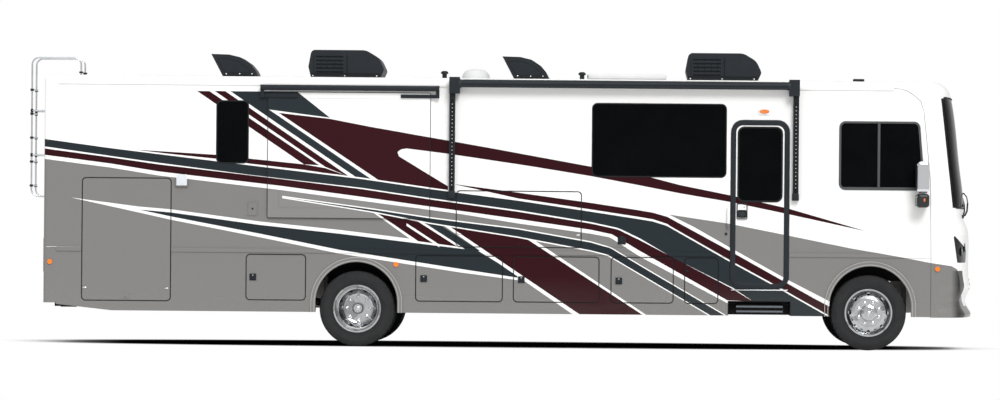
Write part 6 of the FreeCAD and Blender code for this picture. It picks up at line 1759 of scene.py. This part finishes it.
@dataclass
class RearLadder:
    """Clamps, feet and grips of the rear ladder."""

    kit: Finishes
    rail_x: float = -0.2
    low: float = 1.99
    pitch: float = 0.301

    def build(self) -> None:
        """Fit the clamps and sleeves, the rubber feet and the grips on the treads."""
        x = station(self.rail_x * 1000)
        for number, y in enumerate((-0.652, -0.988)):
            made = []
            for step in range(5):
                z = self.low + self.pitch * step
                made.append(Workshop.box(f"ladder_clamp_{number}_{step}", (x - 0.019, x + 0.019),
                                         (y - 0.019, y + 0.019),
                                         (z - 0.024, z + 0.006), 0.004))
            for height in (self.low + self.pitch * 1.25, self.low + self.pitch * 3.1):
                made.append(Workshop.rod(f"ladder_sleeve_{number}_{height:.2f}",
                                         Vector((x, y, height - 0.022)), Vector((x, y, height + 0.022)),
                                         0.0165, 18, round_by=0.002))
            foot_x = station(415)
            made.append(Workshop.rod(f"ladder_foot_{number}", Vector((foot_x, y, 3.398)),
                                     Vector((foot_x, y, 3.42)), 0.026, 24, round_by=0.003))
            Workshop.dress(Workshop.joined(f"ladder_clamps_{number + 1}", made), self.kit.black,
                           "awning_metal", "root")
        for step in range(5):
            z = self.low + self.pitch * step
            grip = Workshop.box(f"ladder_grip_{step + 1}", (x - 0.021, x + 0.021), (-0.97, -0.67),
                                (z - 0.001, z + 0.002), 0.0008)
            Workshop.dress(grip, self.kit.gasket, "awning_metal", "root")


@dataclass
class DoorMirrors:
    """Rimmed mirror glass, amber repeaters and brackets."""

    kit: Finishes
    back: float = 10897
    front: float = 11054
    near: float = 1.302
    far: float = 1.532

    def build(self) -> None:
        """Fit both mirrors."""
        back, front = station(self.back), station(self.front)
        for side in Side:
            word, sign = side.name.lower(), side.value
            ys = sorted((sign * (self.near + 0.022), sign * (self.far - 0.022)))
            for name, low, high in (("main", 2.004, 2.346), ("wide", 1.812, 1.950)):
                outline = Workshop.oblong((ys[0], ys[1]), (low, high), 0.03)
                glass = Workshop.prism(f"mirror_{name}_glass_{word}", outline,
                                       (back + 0.002, back - 0.002), "YZ")
                Workshop.dress(glass, self.kit.bright, "mirror_chrome", "root")
                rim = Workshop.frame(f"mirror_{name}_rim_{word}", outline, 0.009,
                                     (back + 0.002, back - 0.005), "YZ", 0.001)
                Workshop.dress(rim, self.kit.black, "mirror_chrome", "root")
            out = sorted((sign * (self.far - 0.002), sign * (self.far + 0.004)))
            repeater = Workshop.box(f"mirror_repeater_{word}", (front - 0.075, front - 0.055), tuple(out),
                                    (1.868, 1.908), 0.002)
            Workshop.dress(repeater, self.kit.amber, "mirror_chrome", "root")
            for index, height in enumerate((2.308, 1.856)):
                base = Workshop.box(f"mirror_base_{word}_{index + 1}", (front - 0.06, front + 0.012),
                                    tuple(sorted((sign * 1.269, sign * 1.282))),
                                    (height - 0.045, height + 0.045), 0.005)
                Workshop.dress(base, self.kit.black, "mirror_chrome", "root")


class Probe:
    """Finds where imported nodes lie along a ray."""

    @staticmethod
    def hit(nodes: Sequence[str], start: Vector, way: Vector) -> Vector:
        """Return the first place a ray meets any of some nodes.

        Args:
            nodes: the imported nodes.
            start: the ray's start.
            way: its direction.

        Returns:
            The place, or the start where nothing is met.
        """
        best: Optional[Vector] = None
        for name in nodes:
            node = bpy.data.objects[name]
            back = node.matrix_world.inverted()
            origin = back @ start
            found, place, _, _ = node.ray_cast(origin, (back @ (start + way) - origin).normalized())
            spot = node.matrix_world @ place
            if found and (best is None or (spot - start).length < (best - start).length):
                best = spot
        return start if best is None else best

    @staticmethod
    def dense(points: Outline, pitch: float, closed: bool = False) -> Outline:
        """Return a path with added points no further apart than a pitch.

        Args:
            points: the path's corners.
            pitch: the longest step.
            closed: whether the last corner joins the first.

        Returns:
            The denser path.
        """
        ends = list(points) + ([points[0]] if closed else [])
        made = []
        for start, end in zip(ends, ends[1:]):
            steps = max(1, math.ceil(math.dist(start, end) / pitch))
            made += [tuple(Vector(start).lerp(Vector(end), step / steps)) for step in range(steps)]
        return made if closed else made + [ends[-1]]

    @staticmethod
    def nose(y: float, z: float, out: float = 0.0) -> Vector:
        """Return the nose's front surface at a place, moved out a little."""
        return Probe.hit(("front_cap", "windshield", "lamps"), Vector((9.0, y, z)),
                         Vector((-1, 0, 0))) + Vector((out, 0, 0))

    @staticmethod
    def wall(x: float, z: float, side: Side, nodes: Sequence[str], out: float) -> Vector:
        """Return a side wall's surface at a place, moved out a little."""
        start = Vector((x, side.value * 3.0, z))
        return Probe.hit(nodes, start, Vector((0, -side.value, 0))) + Vector((0, side.value * out, 0))


@dataclass
class DoorSeams:
    """Dark rubber edges round every door, hatch and room, laid as painted shade in their gaps."""

    kit: Finishes
    doors: tuple[tuple[str, Spans, float], ...] = (
        ("bay_door_1", (2538, 3283, 573, 1143), 0.05), ("bay_door_2", (4658, 5744, 573, 1143), 0.05),
        ("bay_door_3", (5880, 6950, 573, 1143), 0.05), ("bay_door_4", (7100, 7879, 573, 1143), 0.05),
        ("bay_door_5", (8019, 8438, 573, 1143), 0.05), ("rear_side", (483, 1595, 551, 2085), 0.05),
        ("media_hatch", (5158, 6724, 1256, 1959), 0.05), ("room_right", (2794, 4832, 1597, 3178), 0.024))
    left: tuple[str, ...] = ("bay_door_2", "bay_door_3")
    width: float = 0.0075
    room_face: float = -1.2923
    depth: Span = (0.001, -0.0014)

    def build(self) -> None:
        """Lay the edges of painted shade, and the line of the engine door."""
        for body, spans, radius in self.doors:
            face = self.room_face if body == "room_right" else WALL
            # each dark ring paints the shade in the gap round a door, hatch or room
            ring = Workshop.frame(f"{body}_edge", panel(spans, radius), self.width,
                                  (face + self.depth[0], face + self.depth[1]))
            Workshop.dress(ring, self.kit.gasket, "plastic_black", body)
            if body in self.left:
                copy = Workshop.copied(ring, f"left_{body}_edge", flip=True)
                Workshop.dress(copy, self.kit.gasket, "plastic_black", f"left_{body}")
        back = station(0)
        outline = Workshop.oblong((-0.64, 0.64), (0.76, 1.62), 0.05)
        ring = Workshop.frame("engine_door_edge", outline, self.width,
                              (back + self.depth[0], back + self.depth[1]), "YZ")
        Workshop.dress(ring, self.kit.gasket, "plastic_black", "engine_hatch")


@dataclass
class BodyLines:
    """The nose's seam and the belt line as dark lines of painted shadow, a white line of painted highlight
    above the belt line, and grey lines of painted highlight round the wheel arches.
    """

    kit: Finishes
    seam: tuple[tuple[float, float], ...] = ((892, 88.4), (900, 89.2), (906, 91), (913, 95.5),
                                             (919.7, 101.4), (923, 112),
                                             (924.8, 129), (928, 160), (930, 180.7), (931.2, 258),
                                             (931.2, 316))
    belts: tuple[tuple[tuple[float, float], ...], ...] = (((46, 247.3), (80.5, 247.7)),
                                                          ((173.5, 249.5), (408, 251), (722, 255.2)),
                                                          ((793, 256), (930, 257.3)))
    walls: tuple[str, ...] = ("right_wall", "right_skirt", "left_wall", "left_skirt", "front_cap",
                              "rear_cap", "roof")

    def build(self) -> None:
        """Draw the lines on both sides."""
        dim = Plain("seam_shadow", (0.06, 0.06, 0.06), roughness=0.6).material()
        for side in Side:
            word = side.name.lower()
            self.line(f"nose_seam_{word}", self.seam, side, 0.0026, dim, 0.0)
            for index, belt in enumerate(self.belts):
                self.line(f"belt_seam_{word}_{index + 1}", belt, side, 0.0024, dim, 0.0)
                # a white line of painted highlight along the upper edge of each belt seam
                light = tuple((column, row - 0.55) for column, row in belt)
                self.line(f"belt_bead_{word}_{index + 1}", light, side, 0.0032, self.kit.white, 0.001)
            # light grey lines of painted highlight along the inner and outer edges of each arch's trim
            for at in (station(3920), station(10341)):
                for radius, name in ((0.528, "inner"), (0.568, "outer")):
                    self.arch(f"arch_{name}_{word}_{0 if at < 0 else 1}", at, radius, side)

    def line(self, name: str, path: Outline, side: Side, radius: float,
             finish: bpy.types.Material, out: float) -> None:
        """Lay a thin line over the wall along a path of pixels.

        Args:
            name: its name.
            path: its pixels in the photograph.
            side: the wall.
            radius: its radius.
            finish: its finish.
            out: how far it is moved out.
        """
        places = Probe.dense([(SCALE.along(column), SCALE.height(column, row)) for column, row in path], 0.09)
        spots = [Probe.wall(x, z, side, self.walls, out) for x, z in places]
        Workshop.dress(Workshop.bent(name, spots, radius), finish, "shell_gloss", "root")

    def arch(self, name: str, at: float, radius: float, side: Side) -> None:
        """Lay one line of painted highlight round a wheel arch."""
        turns = [math.pi * step / 36 for step in range(37)]
        spots = [Vector((at + radius * math.cos(turn), side.value * 1.2855,
                         0.545 + radius * math.sin(turn))) for turn in turns]
        spots = [spots[0] + Vector((0, 0, -0.12))] + spots + [spots[-1] + Vector((0, 0, -0.12))]
        arch_highlight_line = Workshop.bent(name, spots, 0.0042)
        Workshop.dress(arch_highlight_line, Plain(f"{name}_grey", (0.42, 0.41, 0.40), roughness=0.3).material(),
                       "shell_gloss", "root")


@dataclass
class RoofGear:
    """Louvre bars, ribs and bolts of the coolers and of the fan hoods."""

    kit: Finishes
    coolers: tuple[float, ...] = (3211, 8024)
    cooler_length: float = 970
    hood_length: float = 606
    hoods: tuple[tuple[float, str], ...] = ((1959, "lid_rear"), (5681, "lid_front"))

    def build(self) -> None:
        """Fit everything on the roof."""
        for number, at in enumerate(self.coolers, 1):
            for side in Side:
                self.cooler(f"cooler_{number}_{side.name.lower()}", at, side)
        for at, body in self.hoods:
            for side in Side:
                self.hood(f"{body}_{side.name.lower()}", at, body, side)

    def face(self, x: float, z: float, side: Side, node: str, out: float) -> Vector:
        """Return a place just off the side of a roof unit."""
        return Probe.wall(x, z, side, (node,), out)

    def cooler(self, name: str, at: float, side: Side) -> None:
        """Fit one side of a cooler: bars over the louvres, the cover's rib, lip and screws.

        Args:
            name: the pieces' name.
            at: the cooler's rear station.
            side: the side.
        """
        made = []
        for index, share in enumerate((0.07, 0.16, 0.25, 0.34, 0.42)):
            x = station(at + self.cooler_length * share)
            points = [self.face(x, z, side, "air_conditioners", -0.001) for z in (3.462, 3.53, 3.60, 3.67)]
            made.append(Workshop.bent(f"{name}_bar_{index}", points, 0.0045))
        rib = [self.face(station(at + self.cooler_length * 0.51), z, side, "air_conditioners",
                         0.0) for z in (3.43, 3.5, 3.6, 3.69)]
        made.append(Workshop.bent(f"{name}_rib", rib, 0.007))
        for height, radius in ((3.437, 0.008), (3.452, 0.004)):
            lip = [self.face(station(at + self.cooler_length * share), height, side, "air_conditioners",
                             0.0) for share in (0.03, 0.3, 0.6, 0.94)]
            made.append(Workshop.bent(f"{name}_lip_{radius}", lip, radius))
        Workshop.dress(Workshop.joined(f"{name}_trim", made), self.kit.gasket, "plastic_black", "root")
        spots = [self.face(station(at + self.cooler_length * share), 3.421, side, "air_conditioners", 0.0)
                 for share in (0.06, 0.48, 0.9)]
        Workshop.dress(self.screws(name, spots, side, (0.009, 0.006), 16), self.kit.satin,
                       "plastic_black", "root")

    @staticmethod
    def screws(name: str, spots: Sequence[Vector], side: Side, radii: Span, steps: int) -> bpy.types.Object:
        """Make a row of domed screw heads.

        Args:
            name: the pieces' name.
            spots: their places.
            side: the side they face.
            radii: a head's radius at its foot and at its top.
            steps: the steps of a turn.

        Returns:
            The screws as one piece.
        """
        foot, top = radii
        head = [(0.0, foot), (0.003, foot), (0.005, top), (0.005, 0.0)]
        return Workshop.joined(f"{name}_screws", [
            Workshop.spun(f"{name}_screw_{index}", head, spot, Vector((0, side.value, 0)), steps)
            for index, spot in enumerate(spots)])

    def hood(self, name: str, at: float, body: str, side: Side) -> None:
        """Fit one side of a fan hood: its pressed rib, foot strip and screws.

        Args:
            name: the pieces' name.
            at: the hood's rear station.
            body: the lid's body.
            side: the side.
        """
        node = f"fan_{body}"
        ridge = [(0.30, 3.455), (0.12, 3.63), (0.36, 3.635), (0.58, 3.595), (0.74, 3.53), (0.85, 3.455)]
        path = Probe.dense([(station(at + self.hood_length * share), z) for share, z in ridge], 0.05,
                           closed=True)
        loop = Workshop.bent(f"{name}_ridge", [self.face(x, z, side, node, 0.0) for x, z in path], 0.0032,
                             closed=True)
        foot = Workshop.bent(f"{name}_foot", [self.face(station(at + self.hood_length * share), 3.425,
                                                        side, node, 0.0)
                                              for share in (0.27, 0.5, 0.7, 0.9)], 0.006)
        Workshop.dress(Workshop.joined(f"{name}_ribs", [loop, foot]), self.kit.gasket, "plastic_black", body)
        spots = [self.face(station(at + self.hood_length * share), 3.441, side, node,
                           0.0) for share in (0.32, 0.6, 0.86)]
        Workshop.dress(self.screws(name, spots, side, (0.008, 0.005), 14), self.kit.bright,
                       "plastic_black", body)


@dataclass
class NoseTrim:
    """Rubber round the windshield, its middle post, wiper arms and headlamp bowls."""

    kit: Finishes
    screen_half: float = 1.125
    screen_low: float = 1.797
    screen_high: float = 3.182

    def build(self) -> None:
        """Fit the nose."""
        corners = [(-self.screen_half, self.screen_low), (self.screen_half, self.screen_low),
                   (self.screen_half, self.screen_high), (-self.screen_half, self.screen_high)]
        outline = Probe.dense(Workshop.rounded(corners, 0.11), 0.07, closed=True)
        lip = Workshop.bent("windshield_gasket", [Probe.nose(y, z, 0.001) for y, z in outline], 0.010,
                            closed=True)
        Workshop.dress(lip, self.kit.gasket, "plastic_black", "root")
        post = [Probe.nose(0.0, z, 0.001) for _, z in Probe.dense([(0, self.screen_low),
                                                                   (0, self.screen_high)], 0.09)]
        Workshop.dress(Workshop.bent("windshield_post", post, 0.009), self.kit.gasket, "plastic_black",
                       "root")
        for index, (foot, tip) in enumerate(((-0.62, -0.36), (0.10, 0.36))):
            self.wiper(index + 1, foot, tip)
        for side in Side:
            self.bowls(side)

    def wiper(self, number: int, foot: float, tip: float) -> None:
        """Make one wiper arm with its pivot, spring cover and blade clip.

        Args:
            number: its number.
            foot: the pivot's place across.
            tip: the blade clip's place across.
        """
        heights = ((1.69, 0.004), (1.705, 0.032), (1.76, 0.055), (1.86, 0.060), (1.94, 0.050), (1.985, 0.018))
        spots = [Probe.nose(foot + (tip - foot) * share / 5, z, out) for share,
                 (z, out) in enumerate(heights)]
        arm = Workshop.bent(f"wiper_arm_{number}", spots, 0.0075)
        pivot = Workshop.spun(f"wiper_pivot_{number}",
                              [(-0.02, 0.024), (0.012, 0.022), (0.020, 0.014), (0.020, 0.0)], spots[0],
                              Vector((1, 0, 0)), 28)
        clip = Workshop.rod(f"wiper_clip_{number}", spots[-1] + Vector((-0.006, -0.03, 0)),
                            spots[-1] + Vector((-0.006, 0.03, 0)), 0.010, 16)
        spring = Workshop.bent(f"wiper_spring_{number}", spots[1:4], 0.011)
        Workshop.dress(Workshop.joined(f"wiper_{number}", [arm, pivot, clip, spring]), self.kit.black,
                       "plastic_black", "root")

    def bowls(self, side: Side) -> None:
        """Set the two lamp bowls of one headlamp."""
        word, sign = side.name.lower(), side.value
        for index, (y, z) in enumerate(((0.90, 1.30), (1.04, 1.25))):
            centre = Probe.nose(sign * y, z, -0.004)
            bowl = Workshop.spun(f"headlamp_bowl_{word}_{index + 1}",
                                 [(0.002, 0.058), (0.008, 0.058), (0.009, 0.053), (0.004, 0.048),
                                                                      (0.006, 0.02), (0.010, 0.0)],
                                                                      centre, Vector((1, 0, 0)), 36)
            Workshop.dress(bowl, self.kit.clear, "lamp_lens", "root")


@dataclass
class TailTrim:
    """Tail lamp bezels and bars, engine door latches and hinges, left latches and the box cover's face."""

    kit: Finishes

    def build(self) -> None:
        """Fit the tail and the far side."""
        back = station(0)
        for side in Side:
            word, middle = side.name.lower(), side.value * 1.085
            outline = Workshop.oblong((middle - 0.062, middle + 0.062), (0.90, 1.33), 0.02)
            ring = Workshop.frame(f"tail_bezel_{word}", outline, 0.010, (back - 0.0135, back - 0.017),
                                  "YZ", 0.001)
            Workshop.dress(ring, self.kit.black, "lamp_lens", "root")
            for index, height in enumerate((1.045, 1.185)):
                bar = Workshop.box(f"tail_bar_{word}_{index}", (back - 0.017, back - 0.0135),
                                   (middle - 0.055, middle + 0.055),
                                   (height - 0.004, height + 0.004), 0.001)
                Workshop.dress(bar, self.kit.black, "lamp_lens", "root")
            latch = Workshop.oblong((side.value * 0.5 - 0.04, side.value * 0.5 + 0.04), (0.82, 0.90), 0.009)
            plate = Workshop.prism(f"engine_latch_plate_{word}", latch, (back + 0.001, back - 0.005),
                                   "YZ", 0.001)
            rim = Workshop.frame(f"engine_latch_rim_{word}", latch, 0.009, (back - 0.004, back - 0.009),
                                 "YZ", 0.001)
            Workshop.dress(Workshop.joined(f"engine_latch_{word}", [plate, rim]), self.kit.black,
                           "plastic_black", "engine_hatch")
            hinge = Workshop.rod(f"engine_hinge_{word}", Vector((back - 0.006, side.value * 0.36, 1.612)),
                                 Vector((back - 0.006, side.value * 0.46, 1.612)), 0.007, 18, round_by=0.001)
            Workshop.dress(hinge, self.kit.satin, "plastic_black", "engine_hatch")
        for number in (2, 3):
            for kind, finish in (("latch", self.kit.black), ("latch_key", self.kit.satin)):
                copy = Workshop.copied(bpy.data.objects[f"{kind}_{number}"], f"left_{kind}_{number}",
                                       flip=True)
                Workshop.dress(copy, finish, "plastic_black", f"left_bay_door_{number}")
        cover = Workshop.prism("box_cover_face", panel((1656, 1799, 1990, 2139), 0.012),
                               (WALL - 0.029, WALL - 0.0325), round_by=0.001)
        Workshop.dress(cover, Plain("cover_white", (0.66, 0.70, 0.74), roughness=0.35).material(),
                       "shell_gloss", "root")


@dataclass
class CabFittings:
    """Instrument hood, dials, vents and pedals."""

    kit: Finishes
    blades: int = 4
    blade_pitch: float = 0.016

    def build(self) -> None:
        """Fit the cab."""
        back = station(11010)
        top = 1.745
        hood = Workshop.prism("instrument_hood", Workshop.rounded([(0.36, top - 0.002),
                                                                   (0.86, top - 0.002),
                                                                   (0.80, top + 0.10), (0.42, top + 0.10)],
                                                                  0.03), (back + 0.05, back + 0.24), "YZ",
                                                                  0.012, 3)
        Workshop.dress(hood, self.kit.dash, "dash_plastic", "root")
        for index, (y, radius) in enumerate(((0.52, 0.04), (0.70, 0.04), (0.61, 0.022), (0.44, 0.02),
                                             (0.78, 0.02))):
            dial = Workshop.spun(f"dial_{index + 1}", [(0.0, radius), (0.007, radius),
                                                       (0.008, radius - 0.004), (0.003, radius - 0.007),
                                                       (0.003, 0.0)],
                                                       Vector((back + 0.051, y, top + 0.045)),
                                                       Vector((-1, 0, 0)), 32)
            Workshop.dress(dial, self.kit.smoke, "dash_plastic", "root")
        for index, y in enumerate((-0.95, -0.55, -0.12, 0.12, 1.02)):
            outline = Workshop.oblong((y - 0.07, y + 0.07), (1.60, 1.68), 0.012)
            rim = Workshop.frame(f"vent_rim_{index + 1}", outline, 0.008, (back + 0.001, back - 0.008),
                                 "YZ", 0.002)
            blade = Workshop.box(f"vent_blade_{index + 1}", (back - 0.006, back + 0.001),
                                 (y - 0.062, y + 0.062), (1.613, 1.617), 0.001)
            Workshop.row(blade, self.blades, (0, 0, self.blade_pitch))
            Workshop.dress(Workshop.joined(f"vent_{index + 1}", [rim, blade]), self.kit.gasket,
                           "dash_plastic", "root")
        for index, y in enumerate((0.50, 0.66)):
            start = Vector((station(11205), y, 1.30))
            pedal = Workshop.box(f"pedal_{index + 1}", (start.x - 0.02, start.x + 0.002),
                                 (y - 0.035, y + 0.035), (1.22, 1.33), 0.006)
            stem = Workshop.rod(f"pedal_stem_{index + 1}", start, start + Vector((0.02, 0, 0.17)), 0.008, 14)
            Workshop.dress(Workshop.joined(f"pedal_set_{index + 1}", [pedal, stem]), self.kit.gasket,
                           "dash_plastic", "root")


@dataclass
class SeatPads:
    """Padded cushions, backs and headrests of both cab seats, swollen by cloth simulation."""

    kit: Finishes
    rear: float = 10180
    base: float = 1.3856
    pieces: tuple[tuple[str, Span, float, Span, float], ...] = (
        ("seat", (130.5, 520), 0.265, (0.0, 0.130), 0.8), ("back", (0, 130), 0.265, (0.0, 0.720), 0.7),
        ("headrest", (0, 130), 0.140, (0.7205, 0.890), 0.9))
    voxel: float = 0.011
    cap: float = 0.024
    seat_y: float = -0.61
    spare: float = 0.010
    frames: int = 20
    pressure: float = 4
    seam_inset: float = 0.035

    def build(self) -> None:
        """Make the three pads of one seat and copy them to the other."""
        for word, along, half, up, fill in self.pieces:
            low = Vector((station(self.rear + along[0]), self.seat_y - half, self.base + up[0]))
            high = Vector((station(self.rear + along[1]), self.seat_y + half, self.base + up[1]))
            pad = self.pad(f"{word}_pad_right", low, high)
            other = Workshop.copied(pad, f"{word}_pad_left", flip=True)
            for thing in (pad, other):
                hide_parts("seat_cushions")
                Workshop.dress(thing, self.kit.cloth, "seat_fabric", "root")
            self.piping(word, low, high)

    def pad(self, name: str, low: Vector, high: Vector) -> bpy.types.Object:
        """Swell a slightly smaller block into a pad that stays in its solid's box.

        Args:
            name: its name.
            low: the box's low corner.
            high: its high corner.

        Returns:
            The pad.
        """
        spare = self.spare
        thing = Workshop.box(name, *((near + spare, far - spare) for near, far in zip(low, high)), 0.03, 3)
        Workshop.modify(thing, "REMESH", mode="VOXEL", voxel_size=self.voxel)
        self.swell(thing)
        for vertex in thing.data.vertices:
            vertex.co = Vector(min(max(at, near), far) for at, near, far in zip(vertex.co, low, high))
        Workshop.modify(thing, "SUBSURF", levels=1)
        Workshop.soften(thing, 0.0)
        return thing

    def swell(self, thing: bpy.types.Object) -> None:
        """Blow a pad up as cloth under pressure and cap how far it moves."""
        rest = [vertex.co.copy() for vertex in thing.data.vertices]
        Workshop.select(thing)
        modifier = thing.modifiers.new("Cloth", "CLOTH")
        modifier.settings.use_pressure = True
        modifier.settings.uniform_pressure_force = self.pressure
        modifier.settings.effector_weights.gravity = 0
        modifier.point_cache.frame_end = self.frames
        for frame in range(1, self.frames + 1):
            bpy.context.scene.frame_set(frame)
        bpy.ops.object.modifier_apply(modifier=modifier.name)
        bpy.context.scene.frame_set(1)
        for vertex, place in zip(thing.data.vertices, rest):
            move = vertex.co - place
            if move.length > self.cap:
                vertex.co = place + move.normalized() * self.cap

    def piping(self, word: str, low: Vector, high: Vector) -> None:
        """Sew a piped seam round a pad's face and its stitched channels."""
        inset = self.seam_inset
        across = (low.y + inset, high.y - inset)
        if word == "seat":
            corners = [(low.x + inset, across[0]), (high.x - inset, across[0]),
                       (high.x - inset, across[1]), (low.x + inset, across[1])]
            loop = [Vector((x, y, high.z - 0.004)) for x, y in Workshop.rounded(corners, 0.04)]
            bars = [[Vector((low.x + share * (high.x - low.x), y,
                             high.z - 0.003)) for y in across] for share in (0.35, 0.6)]
        else:
            corners = [(across[0], low.z + inset), (across[1], low.z + inset),
                       (across[1], high.z - inset), (across[0], high.z - inset)]
            loop = [Vector((high.x - 0.004, y, z)) for y, z in Workshop.rounded(corners, 0.04)]
            shares = (0.3, 0.5, 0.7) if word == "back" else (0.5,)
            bars = [[Vector((high.x - 0.003, y,
                             low.z + share * (high.z - low.z))) for y in across] for share in shares]
        made = [Workshop.bent(f"{word}_piping", loop, 0.004, closed=True)]
        made += [Workshop.bent(f"{word}_channel_{index}", bar, 0.0025) for index, bar in enumerate(bars)]
        seam = Workshop.joined(f"{word}_seams_right", made)
        for thing in (seam, Workshop.copied(seam, f"{word}_seams_left", flip=True)):
            Workshop.dress(thing, self.kit.gasket, "seat_fabric", "root")


@dataclass
class Studio:
    """Pale floor with a painted shadow under the vehicle, soft lights, white backdrop and the camera of the
    photograph.
    """

    eye: tuple[float, float, float] = (1.639, -47.27, 1.472)
    lens: float = 132.5
    shift: tuple[float, float] = (-0.134, 0.0311)
    roll: float = -0.0085
    floor_reach: float = 60.0
    floor_level: float = 0.86
    key: float = 2.1
    fill: float = 0.62
    sensor: float = 36
    far: float = 400
    suns: tuple[tuple[str, Span, float, float], ...] = (("key_sun", (52, 18), 1.0, 24),
                                                        ("top_sun", (12, 0), 0.28, 60))

    def floor(self) -> None:
        """Lay the floor, with a dark band of painted shadow under the vehicle; far from the vehicle it turns
        into the white backdrop.
        """
        Workshop.clear()
        bpy.ops.mesh.primitive_plane_add(size=self.floor_reach * 2)
        plane = Workshop.settle(bpy.context.object, "studio_floor")
        graph = Graph("studio_floor")
        x, y, _ = graph.place()
        away = ((x * x) * 0.047 + y * y).power(0.5)
        far = graph.make("ShaderNodeMapRange", {"clamp": True},
                         {"Value": away, "From Min": 1.25, "From Max": 1.5})
        # along and across mark the near-black band of painted shadow under the vehicle
        along = graph.make("ShaderNodeMapRange", {"clamp": True},
                           {"Value": abs(x), "From Min": 4.9, "From Max": 5.75,
                                                                   "To Min": 1.0, "To Max": 0.0})
        across = graph.make("ShaderNodeMapRange", {"clamp": True},
                            {"Value": abs(y), "From Min": 0.95, "From Max": 1.4,
                                                                    "To Min": 1.0, "To Max": 0.0})
        floor_tone_with_painted_shadow = graph.mix(along & across, (self.floor_level,) * 3, (0.004, 0.004, 0.005))
        diffuse = graph.make("ShaderNodeBsdfDiffuse", {}, {"Color": floor_tone_with_painted_shadow})
        white = graph.make("ShaderNodeEmission", {}, {"Color": (1.0, 1.0, 1.0), "Strength": 1.0})
        seen = self.seen(graph)
        mixed = graph.make("ShaderNodeMixShader", {}, {0: far & seen, 1: diffuse, 2: white})
        graph.make_output(mixed)
        plane.data.materials.append(graph.material)

    @staticmethod
    def seen(graph: Graph) -> Socket:
        """Return 1 for rays from the camera, off gloss and through glass."""
        path = graph.tree.nodes.new("ShaderNodeLightPath")
        camera, gloss, through = (Socket(graph, path.outputs[f"Is {word} Ray"])
                                  for word in ("Camera", "Glossy", "Transmission"))
        return camera | gloss | through

    def world(self) -> None:
        """Light the scene evenly, with a white backdrop."""
        world = bpy.data.worlds.new("studio_world")
        bpy.context.scene.world = world
        world.use_nodes = True
        tree = world.node_tree
        tree.nodes.clear()
        path = tree.nodes.new("ShaderNodeLightPath")
        level = tree.nodes.new("ShaderNodeMix")
        level.data_type = "FLOAT"
        level.inputs[2].default_value = self.fill
        level.inputs[3].default_value = 1.0
        either = tree.nodes.new("ShaderNodeMath")
        either.operation = "MAXIMUM"
        tree.links.new(path.outputs["Is Camera Ray"], either.inputs[0])
        tree.links.new(path.outputs["Is Transmission Ray"], either.inputs[1])
        tree.links.new(either.outputs[0], level.inputs[0])
        back = tree.nodes.new("ShaderNodeBackground")
        back.inputs["Color"].default_value = (1.0, 1.0, 1.0, 1.0)
        tree.links.new(level.outputs[0], back.inputs["Strength"])
        out = tree.nodes.new("ShaderNodeOutputWorld")
        tree.links.new(back.outputs[0], out.inputs["Surface"])

    def lamp(self, name: str, turn: tuple[float, float], energy: float, spread: float) -> None:
        """Add one soft sun.

        Args:
            name: its name.
            turn: its tilt from straight down and its heading, in degrees.
            energy: its strength.
            spread: its angle in degrees.
        """
        Workshop.clear()
        bpy.ops.object.light_add(type="SUN", location=(0, 0, 12),
                                 rotation=(math.radians(turn[0]), 0, math.radians(turn[1])))
        light = bpy.context.object
        light.name = name
        light.data.energy = energy
        light.data.angle = math.radians(spread)

    def camera(self) -> None:
        """Set the camera at the photograph's place."""
        bpy.ops.object.camera_add(location=self.eye, rotation=(math.pi / 2, self.roll, 0))
        eye = bpy.context.object
        eye.name = "photo_camera"
        eye.data.lens = self.lens
        eye.data.sensor_width = self.sensor
        eye.data.shift_x, eye.data.shift_y = self.shift
        eye.data.clip_end = self.far
        bpy.context.scene.camera = eye

    def build(self) -> None:
        """Set up floor, world, lamps and camera."""
        self.floor()
        self.world()
        for name, turn, share, spread in self.suns:
            self.lamp(name, turn, self.key * share, spread)
        self.camera()
        bpy.context.scene.view_settings.view_transform = "Standard"


def main() -> None:
    """Dress the vehicle and set its stage."""
    logging.basicConfig(level=logging.INFO, format="%(name)s: %(message)s")
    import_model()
    kit = Finishes()
    Coats(kit).apply()
    for work in (WindowTrim, EntryTrim, Latches, AwningTrim, StepTrim, RoadWheels, RearLadder,
                 DoorMirrors, DoorSeams,
                 BodyLines, RoofGear, NoseTrim, TailTrim, CabFittings, SeatPads):
        work(kit).build()
    Studio().build()


if __name__ == "__main__":
    main()
